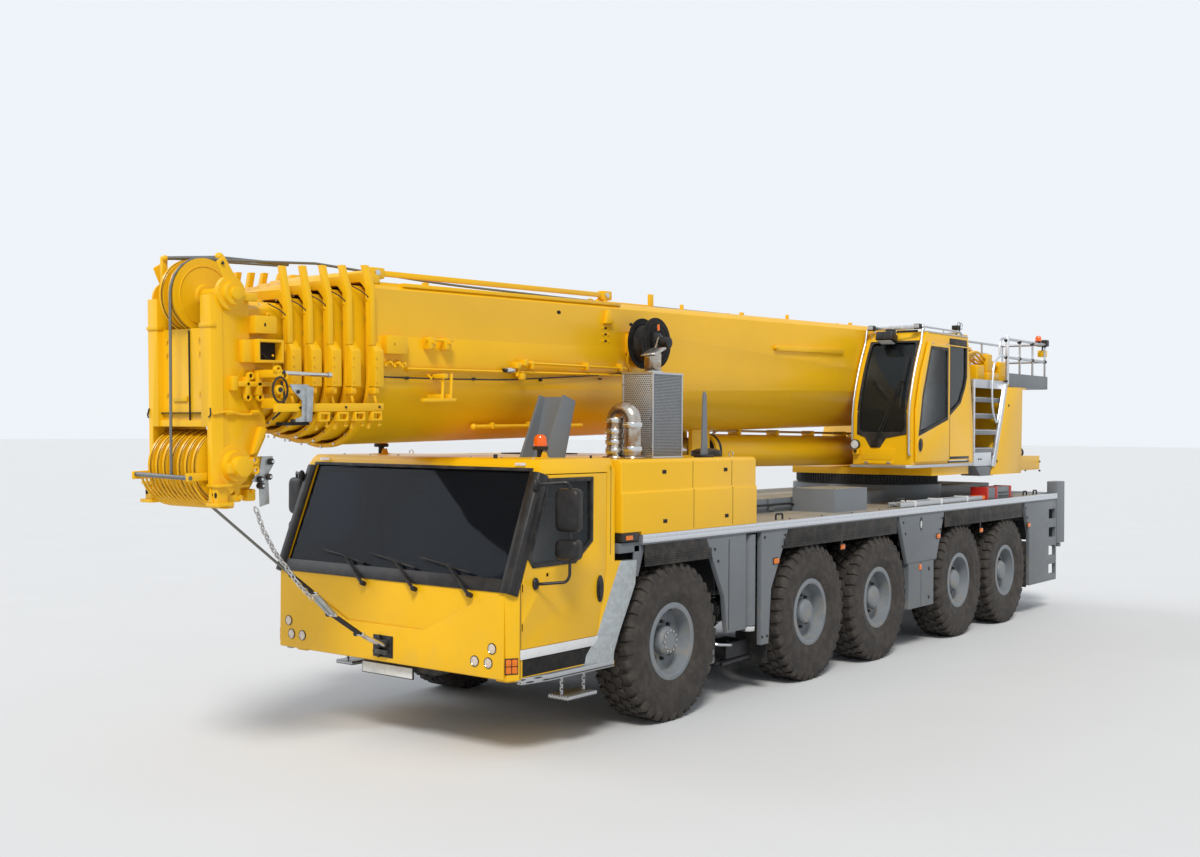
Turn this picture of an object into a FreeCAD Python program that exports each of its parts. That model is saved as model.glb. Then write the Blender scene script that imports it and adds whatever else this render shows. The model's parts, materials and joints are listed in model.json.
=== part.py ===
"""A five-axle mobile crane: carrier, outriggers, slewing superstructure and telescopic boom.

The crane stands on its tyres. +Z is up, the cab faces -Y, and +X is the crane's left side.
The origin is on the ground, below the middle of the whole length. All sizes are millimetres.
"""
import FreeCAD, Part
import math
import os

import Sketcher
from FreeCAD import Placement, Rotation, Vector

# Driving dimensions

# A station is a distance behind the first axle. A height is measured from the ground.
SIZES = [
    # carrier, whole
    ("first_axle_y", -3127.96),
    ("overall_width", 3000),
    ("fit_gap", 0.3),
    ("running_gap", 8),
    # axles and wheels
    ("axle_gap_front", 2650),
    ("axle_gap_second", 1650),
    ("axle_gap_middle", 2400),
    ("axle_gap_rear", 1650),
    ("tyre_diameter", 1485),
    ("tyre_width", 445),
    ("tyre_tread_width", 390),
    ("tyre_bulge_radius", 560),
    ("tyre_inset", 10),
    ("rim_seat_radius", 320),
    ("rim_flange_radius", 362),
    ("rim_width", 370),
    ("rim_wall", 14),
    ("dish_depth", 150),
    ("hub_radius", 132),
    ("spindle_radius", 60),
    ("kingpin_offset", 1130),
    ("kingpin_radius", 32),
    ("yoke_inner_height", 250),
    ("yoke_arm", 60),
    ("beam_radius", 75),
    ("strut_radius", 48),
    ("strut_offset", 525),
    # frame
    ("frame_half_width", 450),
    ("frame_bottom", 1000),
    ("frame_top", 1640),
    ("frame_rear_station", 10745),
    ("neck_front_station", -2100),
    ("neck_bottom", 600),
    ("neck_top", 860),
    ("tow_height", 830),
    ("tow_half_width", 70),
    ("tow_half_height", 62),
    ("tow_reach", 55),
    ("tow_pin_setback", 40),
    ("tow_pin_radius", 20),
    ("tow_slot_height", 46),
    ("raised_half_width", 660),
    ("raised_front_station", 1700),
    ("raised_rear_station", 9740),
    ("raised_top", 1990),
    # deck
    ("deck_bottom", 1680),
    ("deck_top", 1770),
    ("deck_front_station", -560),
    ("deck_rear_station", 10040),
    ("deck_strip_rear_station", 10370),
    ("deck_strip_width", 60),
    ("skirt_bottom", 1478),
    ("skirt_thickness", 14),
    ("skirt_slant_length", 330),
    ("skirt_slant_height", 602),
    ("side_plate_inset", 60),
    ("side_plate_thickness", 50),
    ("side_plate_shoulder", 1080),
    ("side_plate_bottom", 720),
    ("side_plate_foot", 520),
    ("side_plate_jack_gap", 150),
    ("side_box_depth", 550),
    ("rear_plate_bottom", 450),
    ("rear_plate_gap", 182),
    ("foothold_height", 150),
    ("foothold_pitch", 280),
    ("deck_box_height", 270),
    # outriggers
    ("jack_front_station", 1390),
    ("jack_rear_station", 10550),
    ("outrigger_pitch", 330),
    ("beam_width", 270),
    ("beam_height", 380),
    ("beam_bottom", 1100),
    ("rear_beam_lift", 260),
    ("beam_stroke", 2200),
    ("tunnel_wall", 22),
    ("jack_offset", 1418),
    ("jack_tube_radius", 78),
    ("jack_rod_radius", 52),
    ("jack_tube_bottom", 740),
    ("jack_tube_top", 1660),
    ("jack_foot_radius", 76),
    ("jack_foot_height", 50),
    ("jack_stroke", 600),
    ("jack_front_rod", 750),
    ("jack_rear_rod", 910),
    ("jack_column_half", 80),
    ("jack_column_length", 340),
    # driver's cab
    ("cab_half_width", 1450),
    ("cab_front_station", -2285),
    ("cab_rear_station", -905),
    ("cab_bottom", 690),
    ("cab_sill_rear_station", -1150),
    ("cab_brow_station", -1895),
    ("cab_waist", 1410),
    ("cab_brow_radius", 75),
    ("cab_roof", 2465),
    ("cab_wall", 45),
    ("dash_side_gap", 8),
    ("cab_floor", 900),
    ("screen_bottom", 1440),
    ("screen_top", 2370),
    ("corner_cut_width", 65),
    ("corner_cut_length", 107),
    ("roof_edge_width", 60),
    ("roof_edge_height", 110),
    ("door_front_station", -2150),
    ("door_brow_station", -1855),
    ("door_rear_station", -1020),
    ("door_heel_station", -1144),
    ("door_bottom", 925),
    ("door_slant_height", 1560),
    ("door_knee_height", 1500),
    ("door_top", 2345),
    ("door_gap", 8),
    ("window_bottom", 1605),
    ("window_frame", 50),
    ("glass_thickness", 8),
    ("mirror_reach", 345),
    ("mirror_width", 225),
    ("mirror_depth", 90),
    ("mirror_setback", 300),
    ("mirror_arm", 28),
    ("step_front_station", -2152),
    ("step_bend_station", -1784),
    ("step_rear_station", -966),
    ("step_height", 700),
    ("step_thickness", 50),
    ("step_depth", 320),
    ("hanging_step_height", 460),
    ("arch_guard_width", 170),
    ("boom_rest_top", 3022),
    ("boom_rest_near", 700),
    ("boom_rest_far", 1000),
    # engine and its cover
    ("cover_front_station", -860),
    ("cover_rear_station", 1430),
    ("cover_front_bottom", 1800),
    ("cover_top", 2450),
    ("cover_wall", 30),
    ("cover_crease_height", 2160),
    ("cover_crease_depth", 14),
    ("cover_edge_cut", 28),
    ("engine_length", 1500),
    ("engine_width", 860),
    ("engine_height", 620),
    ("guard_half_width", 175),
    ("guard_offset", 1175),
    ("guard_front_station", -200),
    ("guard_rear_station", 290),
    ("guard_top", 3250),
    ("pipe_radius", 80),
    ("bend_radius", 98),
    ("bend_setback", 250),
    ("bend_height", 345),
    # superstructure
    ("slew_station", 6900),
    ("slew_radius", 960),
    ("slew_ring_bottom", 1998),
    ("slew_ring_top", 2150),
    ("slew_plate_top", 2230),
    ("cheek_inner", 600),
    ("cheek_thickness", 40),
    ("cheek_front_station", 7330),
    ("cheek_rear_station", 9900),
    ("side_body_front_station", 7950),
    ("side_body_lean", 600),
    ("side_body_rear_station", 9100),
    ("side_body_outer", 1400),
    ("side_body_bottom", 2110),
    ("side_body_top", 3360),
    ("platform_height", 3430),
    ("platform_front_station", 8560),
    ("platform_rear_station", 10180),
    ("platform_thickness", 60),
    ("rail_top", 4075),
    ("rail_radius", 20),
    ("post_radius", 16),
    ("winch_station", 9560),
    ("winch_height", 2760),
    ("winch_radius", 260),
    ("winch_half_length", 330),
    ("counterweight_rear_station", 10150),
    ("counterweight_base_side", 700),
    ("cab_bearer_front", 900),
    ("cab_bearer_rear", 300),
    # crane cab
    ("crane_cab_inner", 600),
    ("crane_cab_outer", 1400),
    ("crane_cab_bottom", 2270),
    ("crane_cab_top", 3990),
    ("crane_cab_front_station", 5310),
    ("crane_cab_rear_station", 7280),
    ("crane_cab_brow_station", 5760),
    ("crane_cab_tail_station", 7090),
    ("crane_cab_wall", 40),
    ("crane_screen_radius", 3000),
    ("crane_door_front_station", 5385),
    ("crane_door_rear_station", 6410),
    ("crane_door_brow_station", 5755),
    ("crane_door_travel", 780),
    ("crane_door_lap", 22),
    # luffing cylinder
    ("luff_foot_station", 6800),
    ("luff_foot_height", 2440),
    ("luff_eye_station", 2400),
    ("luff_eye_drop", 970),
    ("luff_barrel_radius", 195),
    ("luff_rod_radius", 120),
    ("luff_pin_radius", 50),
    ("luff_ear_offset", 130),
    ("luff_ear_thickness", 50),
    # boom
    ("boom_pivot_station", 9000),
    ("boom_pivot_height", 3450),
    ("boom_slope", 1.3),
    ("boom_reach", 12000),
    ("boom_tail", 450),
    ("boom_half_width", 560),
    ("boom_height", 1325),
    ("boom_above_pivot", 720),
    ("boom_wall", 12),
    ("boom_foot_doubler", 24),
    ("boom_side_step", 40),
    ("boom_height_step", 84),
    ("boom_corner", 60),
    ("collar_pitch", 165),
    ("collar_length", 70),
    ("collar_rise", 60),
    ("collar_ear_rise", 120),
    ("collar_ear_lean", 70),
    ("collar_ear_length", 48),
    ("collar_box_reach", 85),
    ("collar_roller_radius", 34),
    ("section_tail_step", 130),
    ("pad_length", 240),
    ("boom_pin_radius", 70),
    # boom head
    ("head_ahead", 2045),
    ("head_plate", 30),
    ("head_column", 120),
    ("head_face_setback", 45),
    ("head_sheave_setback", 130),
    ("head_drop", 1270),
    ("head_foot_drop", 285),
    ("sheave_radius", 280),
    ("lower_sheave_radius", 268),
    ("sheave_width", 60),
    ("sheave_groove", 22),
    ("sheave_pitch", 90),
]

TELE_SECTIONS = 5
SIDES = (("left", 1), ("right", -1))

doc = FreeCAD.newDocument("MobileCrane")
sheet = doc.addObject("Spreadsheet::Sheet", "Sizes")
nodes = {}


# Lengths that carry their sheet expression

class Length:
    """A value in millimetres with the sheet expression that gives it."""

    def __init__(self, value, text):
        self.value = float(value)
        self.text = text

    def __add__(self, other):
        return Length(self.value + number(other), f"({self.text} + {text_of(other)})")

    def __radd__(self, other):
        return Length(number(other) + self.value, f"({text_of(other)} + {self.text})")

    def __sub__(self, other):
        return Length(self.value - number(other), f"({self.text} - {text_of(other)})")

    def __rsub__(self, other):
        return Length(number(other) - self.value, f"({text_of(other)} - {self.text})")

    def __mul__(self, other):
        return Length(self.value * number(other), f"({self.text} * {text_of(other)})")

    def __rmul__(self, other):
        return Length(number(other) * self.value, f"({text_of(other)} * {self.text})")

    def __truediv__(self, other):
        return Length(self.value / number(other), f"({self.text} / {text_of(other)})")

    def __neg__(self):
        return Length(-self.value, f"(-{self.text})")


def number(length):
    """The plain value of a Length or a number."""
    return length.value if isinstance(length, Length) else float(length)


def text_of(length):
    """The sheet expression of a Length or a number."""
    return length.text if isinstance(length, Length) else f"({float(length):.6f})"


class Sheet:
    """The driving dimensions by name, each as a Length."""

    def __init__(self, rows):
        for row, (name, value) in enumerate(rows, start=1):
            sheet.set(f"A{row}", name)
            sheet.set(f"B{row}", str(value))
            sheet.setAlias(f"B{row}", name)
            setattr(self, name, Length(value, f"Sizes.{name}"))


S = Sheet(SIZES)
doc.recompute()


def bind(thing, prop, length):
    """Tie one property of an object to the sheet."""
    thing.setExpression(prop, text_of(length))


def place(thing, x=0, y=0, z=0, rotation=None):
    """Set an object's place, with its coordinates tied to the sheet."""
    thing.Placement = Placement(Vector(number(x), number(y), number(z)), rotation or Rotation())
    bind(thing, "Placement.Base.x", x)
    bind(thing, "Placement.Base.y", y)
    bind(thing, "Placement.Base.z", z)
    return thing


def span(side, near, far):
    """The low and high x of a stretch that lies between two offsets on one side."""
    if side > 0:
        return near, far
    return -far, -near


def station(distance):
    """The y of a place that lies a given distance behind the first axle."""
    return S.first_axle_y + distance


# Shape builders

def box(name, x, y, z):
    """A block between two x, two y and two z values."""
    block = doc.addObject("Part::Box", name)
    bind(block, "Length", x[1] - x[0])
    bind(block, "Width", y[1] - y[0])
    bind(block, "Height", z[1] - z[0])
    return place(block, x[0], y[0], z[0])


AXIS_TURN = {
    "X": Rotation(Vector(0, 1, 0), 90),
    "Y": Rotation(Vector(1, 0, 0), -90),
    "Z": Rotation(),
}


def cylinder(name, axis, radius, start, end, across):
    """A round bar along one axis; across gives its other two coordinates in x, y, z order."""
    bar = doc.addObject("Part::Cylinder", name)
    bind(bar, "Radius", radius)
    bind(bar, "Height", end - start)
    first, second = across
    corner = {"X": (start, first, second), "Y": (first, start, second), "Z": (first, second, start)}[axis]
    return place(bar, *corner, rotation=AXIS_TURN[axis])


def arc(x, y, radius, turn=1):
    """An outline entry: a minor arc to x, y, anticlockwise for turn 1 and clockwise for -1."""
    return (x, y, radius, turn)


def edge_between(start, entry):
    """The starting geometry of one outline edge, and which of its ends comes first."""
    first = Vector(number(start[0]), number(start[1]), 0)
    last = Vector(number(entry[0]), number(entry[1]), 0)
    if len(entry) == 2:
        return Part.LineSegment(first, last), 1
    radius = number(entry[2])
    turn = entry[3]
    middle = (first + last) * 0.5
    chord = last - first
    rise = math.sqrt(max(radius ** 2 - chord.Length ** 2 / 4, 0.0))
    normal = Vector(-chord.y, chord.x, 0).normalize()
    centre = middle + normal * rise * turn
    begin, finish = (first, last) if turn > 0 else (last, first)
    start_angle = math.atan2(begin.y - centre.y, begin.x - centre.x)
    end_angle = math.atan2(finish.y - centre.y, finish.x - centre.x)
    circle = Part.Circle(centre, Vector(0, 0, 1), radius)
    return Part.ArcOfCircle(circle, start_angle, end_angle), 1 if turn > 0 else 2


def add_outline(sketch, entries):
    """Draw one closed outline whose corners and radii are tied to the sheet."""
    edges = []
    for index, entry in enumerate(entries):
        geometry, head = edge_between(entries[index - 1][:2], entry)
        edges.append((sketch.addGeometry(geometry, False), head))
    for index, entry in enumerate(entries):
        edge, head = edges[index]
        following, following_head = edges[(index + 1) % len(entries)]
        tail = 3 - head
        sketch.addConstraint(Sketcher.Constraint("Coincident", edge, tail, following, following_head))
        for kind, length in (("DistanceX", entry[0]), ("DistanceY", entry[1])):
            held = sketch.addConstraint(Sketcher.Constraint(kind, edge, tail, number(length)))
            sketch.setExpression(f"Constraints[{held}]", text_of(length))
        if len(entry) == 4:
            held = sketch.addConstraint(Sketcher.Constraint("Radius", edge, number(entry[2])))
            sketch.setExpression(f"Constraints[{held}]", text_of(entry[2]))


def add_circle(sketch, x, y, radius):
    """Draw one circle whose centre and radius are tied to the sheet."""
    circle = sketch.addGeometry(
        Part.Circle(Vector(number(x), number(y), 0), Vector(0, 0, 1), number(radius)), False)
    rules = (("DistanceX", x), ("DistanceY", y))
    for kind, length in rules:
        held = sketch.addConstraint(Sketcher.Constraint(kind, circle, 3, number(length)))
        sketch.setExpression(f"Constraints[{held}]", text_of(length))
    held = sketch.addConstraint(Sketcher.Constraint("Radius", circle, number(radius)))
    sketch.setExpression(f"Constraints[{held}]", text_of(radius))


def sketch_on(body, plane, outlines, offset=0, circles=()):
    """A sketch on one of a body's own planes, moved along the plane's normal."""
    sketch = body.newObject("Sketcher::SketchObject", body.Name + "_sketch")
    support = [feature for feature in body.Origin.OriginFeatures if feature.Role == plane][0]
    sketch.AttachmentSupport = (support, [""])
    sketch.MapMode = "FlatFace"
    sketch.AttachmentOffset = Placement(Vector(0, 0, number(offset)), Rotation())
    bind(sketch, "AttachmentOffset.Base.z", offset)
    for entries in outlines:
        add_outline(sketch, entries)
    for x, y, radius in circles:
        add_circle(sketch, x, y, radius)
    return sketch


def prism(name, plane, outlines, start, end, circles=()):
    """A body padded from an outline; further outlines and circles inside it are openings.

    A YZ_Plane outline gives (y, z) and runs along x, an XZ_Plane outline gives (x, z) and
    runs along y, and an XY_Plane outline gives (x, y) and runs along z.
    """
    body = doc.addObject("PartDesign::Body", name)
    backwards = plane == "XZ_Plane"
    sketch = sketch_on(body, plane, outlines, -start if backwards else start, circles)
    pad = body.newObject("PartDesign::Pad", name + "_pad")
    pad.Profile = sketch
    bind(pad, "Length", end - start)
    pad.Reversed = backwards
    body.Tip = pad
    return body


def turned(name, outline):
    """A body revolved about the x axis from an outline of (x, radius) points."""
    body = doc.addObject("PartDesign::Body", name)
    sketch = sketch_on(body, "XZ_Plane", [outline])
    revolution = body.newObject("PartDesign::Revolution", name + "_turn")
    revolution.Profile = sketch
    revolution.ReferenceAxis = (sketch, ["H_Axis"])
    revolution.Angle = 360.0
    body.Tip = revolution
    return body


def fuse(name, shapes):
    """One object joined from several."""
    joined = doc.addObject("Part::MultiFuse", name)
    joined.Shapes = shapes
    joined.Refine = True
    return joined


def cut(name, base, tools):
    """One object with the room of others taken out of it."""
    for index, tool in enumerate(tools):
        result = doc.addObject("Part::Cut", f"{name}_{index}" if index < len(tools) - 1 else name)
        result.Base = base
        result.Tool = tool
        base = result
    return base


def common(name, shapes):
    """The room that several objects share."""
    shared = doc.addObject("Part::MultiCommon", name)
    shared.Shapes = shapes
    return shared


def apart(name, shapes):
    """Several solids that do not touch, kept as one object."""
    group = doc.addObject("Part::Compound", name)
    group.Links = shapes
    return group


def node(name, thing):
    """Register a finished sub-part under its name."""
    thing.Label = name
    nodes[name] = thing
    return thing


# Places that several sub-parts share

AXLE_GAPS = [S.axle_gap_front, S.axle_gap_second, S.axle_gap_middle, S.axle_gap_rear]
AXLES = [Length(0, "0")]
for gap in AXLE_GAPS:
    AXLES.append(AXLES[-1] + gap)
STEERED = (1, 2, 4, 5)
axle_height = S.tyre_diameter / 2
half_width = S.overall_width / 2
tyre_centre = half_width - S.tyre_inset - S.tyre_width / 2
luff_eye_height = S.boom_pivot_height - S.luff_eye_drop
head_front_reach = S.boom_pivot_station - S.cab_front_station + S.head_ahead


# Wheels, knuckles and axles

def tyre(axle, side_name, side):
    """One tyre: a ring with straight beads, bulging sides and a flat tread."""
    bead = S.rim_width / 2 - S.rim_wall
    bulge = S.tyre_width / 2
    tread = S.tyre_tread_width / 2
    outer = S.tyre_diameter / 2
    inner = S.rim_seat_radius + S.fit_gap
    flange = S.rim_flange_radius + 2
    half = [(bead, inner), (bead, flange), (bulge, S.tyre_bulge_radius), (tread, outer)]
    mirrored = [(-x, radius) for x, radius in reversed(half)]
    ring = turned(f"tyre_{axle}_{side_name}_ring", half + mirrored)
    return place(ring, side * tyre_centre, station(AXLES[axle - 1]), axle_height)


def rim(axle, side_name, side):
    """One rim: flanged barrel, deep dish, hub and hub cap, with a blind bore for the spindle."""
    edge = S.rim_width / 2
    lip = edge - S.rim_wall + 2
    seat = S.rim_seat_radius
    barrel = seat - S.rim_wall
    disc = edge - S.dish_depth
    bore = S.spindle_radius + S.fit_gap
    half_section = [
        (edge - 85, 0), (edge - 35, 0), (edge - 35, S.hub_radius - 22), (edge - 60, S.hub_radius),
        (disc + 14, S.hub_radius + 6), (disc + 14, S.hub_radius + 70), (disc + 2, barrel - 20),
        (disc + 2, barrel), (edge, barrel), (edge, S.rim_flange_radius), (lip, S.rim_flange_radius),
        (lip, seat), (-lip, seat), (-lip, S.rim_flange_radius), (-edge, S.rim_flange_radius),
        (-edge, barrel), (disc - 14, barrel), (disc - 14, barrel - 20), (disc, S.hub_radius + 70),
        (disc - 15, S.hub_radius), (-10, S.hub_radius), (-10, bore), (edge - 85, bore),
    ]
    wheel = turned(f"rim_{axle}_{side_name}_disc", [(side * x, radius) for x, radius in half_section])
    return place(wheel, side * tyre_centre, station(AXLES[axle - 1]), axle_height)


def knuckle(axle, side_name, side):
    """One steering knuckle: a yoke about the kingpin, the wheel spindle and the steering arm."""
    name = f"knuckle_{axle}_{side_name}"
    pin = S.kingpin_offset
    y = station(AXLES[axle - 1])
    reach = S.yoke_inner_height / 2
    face = tyre_centre - 10 - S.running_gap
    parts = []
    for place_name, low in (("upper", reach), ("lower", -reach - S.yoke_arm)):
        parts.append(box(f"{name}_{place_name}", span(side, pin - 70, face - 20), (y - 80, y + 80),
                         (axle_height + low, axle_height + low + S.yoke_arm)))
    parts.append(box(f"{name}_back", span(side, face - 50, face - 15), (y - 95, y + 95),
                     (axle_height - reach - S.yoke_arm, axle_height + reach + S.yoke_arm)))
    parts.append(cylinder(f"{name}_drum", "X", S.hub_radius + 45, *span(side, face - 20, face),
                          (y, axle_height)))
    parts.append(cylinder(f"{name}_spindle", "X", S.spindle_radius,
                          *span(side, face - 2, tyre_centre + S.rim_width / 2 - 87), (y, axle_height)))
    parts.append(cylinder(f"{name}_kingpin", "Z", S.kingpin_radius, axle_height - reach - 5,
                          axle_height + reach + 5, (side * pin, y)))
    arm_y = (y + 60, y + 270) if axle < 3 else (y - 270, y - 60)
    parts.append(box(f"{name}_arm", span(side, pin - 170, pin - 50), arm_y,
                     (axle_height - reach - S.yoke_arm + 10, axle_height - reach - 10)))
    return fuse(name, parts)


def axle_beams():
    """The five axle beams with their kingpin eyes, suspension struts and frame brackets."""
    shapes = []
    for axle, distance in enumerate(AXLES, start=1):
        y = station(distance)
        eye = S.yoke_inner_height / 2 - 5
        reach = S.kingpin_offset if axle in STEERED else tyre_centre + S.rim_width / 2 - 87
        name = f"axle_{axle}"
        radius = S.beam_radius if axle in STEERED else S.spindle_radius
        parts = [cylinder(f"{name}_bar", "X", radius, -reach, reach, (y, axle_height))]
        if axle not in STEERED:
            parts.append(cylinder(f"{name}_tube", "X", S.beam_radius + 20, -tyre_centre + 20,
                                  tyre_centre - 20, (y, axle_height)))
        parts.append(cylinder(f"{name}_case", "X", S.beam_radius * 2, -190, 190, (y, axle_height)))
        bores = []
        for side_name, side in SIDES:
            if axle in STEERED:
                pin = side * S.kingpin_offset
                parts.append(cylinder(f"{name}_eye_{side_name}", "Z", S.kingpin_radius + 30,
                                      axle_height - eye, axle_height + eye, (pin, y)))
                bores.append(cylinder(f"{name}_bore_{side_name}", "Z", S.kingpin_radius + S.fit_gap,
                                      axle_height - eye - 10, axle_height + eye + 10, (pin, y)))
            strut_x = side * S.strut_offset
            parts.append(cylinder(f"{name}_strut_{side_name}", "Z", S.strut_radius, axle_height,
                                  S.frame_top - 200, (strut_x, y)))
            parts.append(box(f"{name}_bracket_{side_name}",
                             span(side, S.frame_half_width + S.fit_gap, S.strut_offset + 70),
                             (y - 90, y + 90), (S.frame_top - 300, S.frame_top - 160)))
        beam = fuse(f"{name}_beam", parts)
        shapes.append(cut(f"{name}_bored", beam, bores) if bores else beam)
    return apart("axle_beams", shapes)


# Carrier frame, deck and outriggers

# Each row: the end, the jack's station, the beams' lift and the jack rod's length.
OUTRIGGERS = (
    ("front", S.jack_front_station, Length(0, "0"), S.jack_front_rod),
    ("rear", S.jack_rear_station, S.rear_beam_lift, S.jack_rear_rod),
)


def outrigger_rows(jack_station):
    """The y of the left and the right beam of one pair, side by side in their box."""
    return {"left": station(jack_station), "right": station(jack_station - S.outrigger_pitch)}


def chassis_frame():
    """The frame box with its neck, raised centre, outrigger boxes, side panels and slew ring seat."""
    base = S.frame_half_width
    side_view = [
        (station(S.neck_front_station), S.neck_bottom), (station(-1000), S.neck_bottom),
        (station(-560), S.frame_bottom), (station(S.frame_rear_station), S.frame_bottom),
        (station(S.frame_rear_station), S.frame_top), (station(-820), S.frame_top),
        (station(-820), S.neck_top), (station(S.neck_front_station), S.neck_top),
    ]
    parts = [prism("frame_box", "YZ_Plane", [side_view], -base, base)]
    raised = S.raised_half_width
    raised_plan = [
        (raised, station(S.raised_front_station)), (raised, station(S.raised_rear_station)),
        (-raised, station(S.raised_rear_station)), (-raised, station(S.raised_front_station)),
    ]
    parts.append(prism("frame_raised", "XY_Plane", [raised_plan], S.frame_top - 20, S.raised_top - 60))
    parts.append(cylinder("frame_ring_seat", "Z", S.slew_radius + 60, S.deck_top + 2,
                          S.slew_ring_bottom - S.fit_gap, (Length(0, "0"), station(S.slew_station))))
    tunnels = []
    for end, jack_station, lift, _rod in OUTRIGGERS:
        rows = outrigger_rows(jack_station)
        low = S.beam_bottom + lift - S.fit_gap
        high = S.beam_bottom + lift + S.beam_height + S.running_gap
        wide = S.beam_width / 2 + S.running_gap
        reach = S.jack_offset - S.jack_tube_radius - 12
        parts.append(box(f"outrigger_box_{end}", (-reach, reach),
                         (rows["right"] - wide - S.tunnel_wall, rows["left"] + wide + S.tunnel_wall),
                         (low - S.tunnel_wall, high + S.tunnel_wall)))
        for side_name, side in SIDES:
            y = rows[side_name]
            near = reach + 20
            tunnels.append(box(f"tunnel_{end}_{side_name}", span(side, -near, near),
                               (y - wide, y + wide), (low, high)))
    plate_half = S.jack_offset - S.jack_column_half - 20
    parts.append(box("frame_rear_plate", (-plate_half, plate_half),
                     (station(S.frame_rear_station) - 32, station(S.frame_rear_station)),
                     (S.frame_bottom, S.frame_top)))
    jaw_front = station(S.cab_front_station) - S.tow_reach
    parts.append(box("tow_jaw", (-S.tow_half_width, S.tow_half_width),
                     (jaw_front, station(S.neck_front_station) + 20),
                     (S.tow_height - S.tow_half_height, S.tow_height + S.tow_half_height)))
    frame = fuse("frame_solid", parts)
    pin_y = jaw_front + S.tow_pin_setback
    slot = box("tow_slot", (-S.tow_half_width - 1, S.tow_half_width + 1), (jaw_front - 1, pin_y + 45),
               (S.tow_height - S.tow_slot_height / 2, S.tow_height + S.tow_slot_height / 2))
    pin_hole = cylinder("tow_pin_hole", "Z", S.tow_pin_radius, S.tow_height - S.tow_half_height - 1,
                        S.tow_height + S.tow_half_height + 1, (Length(0, "0"), pin_y))
    return cut("chassis_frame", frame, tunnels + [slot, pin_hole])


def outrigger_beam(end, side_name, side, jack_station, lift):
    """One outrigger beam: a box tube with the jack's outer tube at its end."""
    name = f"outrigger_beam_{end}_{side_name}"
    y = outrigger_rows(jack_station)[side_name]
    low = S.beam_bottom + lift
    wall = 14
    half = S.beam_width / 2
    tail = -S.jack_offset + S.jack_tube_radius + 30
    head = S.jack_offset - S.jack_tube_radius + 20
    skin = box(f"{name}_skin", span(side, tail, head), (y - half, y + half), (low, low + S.beam_height))
    room = box(f"{name}_room", span(side, tail - 1, head - 120), (y - half + wall, y + half - wall),
               (low + wall, low + S.beam_height - wall))
    arm = cut(f"{name}_arm", skin, [room])
    x = side * S.jack_offset
    tube_low = S.jack_tube_bottom + lift
    tube_high = S.jack_tube_top + lift
    if end == "front":
        tube = cylinder(f"{name}_tube", "Z", S.jack_tube_radius, tube_low, tube_high, (x, y))
    else:
        tube = box(f"{name}_column", (x - S.jack_column_half, x + S.jack_column_half),
                   (y - S.jack_column_length / 2, y + S.jack_column_length / 2),
                   (tube_low, tube_high + 30))
    solid = fuse(f"{name}_solid", [arm, tube])
    bore = cylinder(f"{name}_bore", "Z", S.jack_rod_radius + S.fit_gap, tube_low - 1, tube_high - 30,
                    (x, y))
    return cut(name, solid, [bore])


def outrigger_jack(end, side_name, side, jack_station, lift, rod_length):
    """One jack rod with its round foot, which slides down out of the beam's tube."""
    name = f"outrigger_jack_{end}_{side_name}"
    y = outrigger_rows(jack_station)[side_name]
    x = side * S.jack_offset
    low = S.jack_tube_bottom + lift
    rod = cylinder(f"{name}_rod", "Z", S.jack_rod_radius, low - 20, low - 20 + rod_length, (x, y))
    foot = cylinder(f"{name}_foot", "Z", S.jack_foot_radius, low - 10 - S.jack_foot_height, low - 10,
                    (x, y))
    return fuse(name, [rod, foot])


def jack_plates(side):
    """The side plates before and behind the front jack, as stations and heights."""
    first = AXLES[0]
    second = AXLES[1]
    top = S.deck_bottom - S.fit_gap
    shoulder = S.side_plate_shoulder
    low = S.side_plate_bottom
    foot = S.side_plate_foot
    jack = S.jack_front_station if side > 0 else S.jack_front_station - S.outrigger_pitch
    ahead = jack - S.side_plate_jack_gap
    behind = jack + S.side_plate_jack_gap
    tail = [(second - 960, foot), (second - 910, shoulder), (second - 560, top), (behind, top)]
    if side > 0:
        before = [(first + 510, top), (first + 840, shoulder), (first + 890, low), (ahead, low), (ahead, top)]
        return [before, [(behind, foot)] + tail]
    before = [(first + 510, top), (first + 840, shoulder), (ahead, shoulder), (ahead, top)]
    return [before, [(behind, low), (second - 1150, low), (second - 1150, foot)] + tail]


def side_plates(side_name, side):
    """The plates between the wheels on one side, with the side box and the footholds at the rear."""
    near = half_width - S.side_plate_inset
    reach = span(side, near, near + S.side_plate_thickness)
    top = S.deck_bottom - S.fit_gap
    third = AXLES[2]
    fourth = AXLES[3]
    fifth = AXLES[4]
    shoulder = S.side_plate_shoulder
    views = [[view] for view in jack_plates(side)]
    views.append([[(third + 480, top), (third + 720, shoulder), (fourth - 820, shoulder),
                   (fourth - 570, top)]])
    jack = S.jack_rear_station if side > 0 else S.jack_rear_station - S.outrigger_pitch
    rear = jack - S.rear_plate_gap
    low = S.rear_plate_bottom
    rear_view = [(fifth + 650, top), (fifth + 860, 1200), (fifth + 860, low), (rear, low), (rear, top)]
    holes = []
    for count in range(4):
        sill = low + 100 + count * S.foothold_pitch
        ledge = sill + S.foothold_height
        holes.append([(rear - 330, sill), (rear - 40, sill), (rear - 40, ledge), (rear - 330, ledge)])
    views.append([rear_view] + holes)
    parts = []
    for index, view in enumerate(views):
        outlines = [[(station(distance), height) for distance, height in loop] for loop in view]
        parts.append(prism(f"side_plate_{side_name}_{index}", "YZ_Plane", outlines, *reach))
    outer = near + S.side_plate_thickness
    side_box = box(f"side_box_{side_name}", span(side, outer - S.side_box_depth, outer),
                   (station(third + 760), station(fourth - 900)), (S.side_plate_foot, shoulder + 2))
    rear_plate = parts.pop()
    middle_plate = parts.pop()
    return parts + [fuse(f"boxed_plate_{side_name}", [middle_plate, side_box]), rear_plate]


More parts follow.
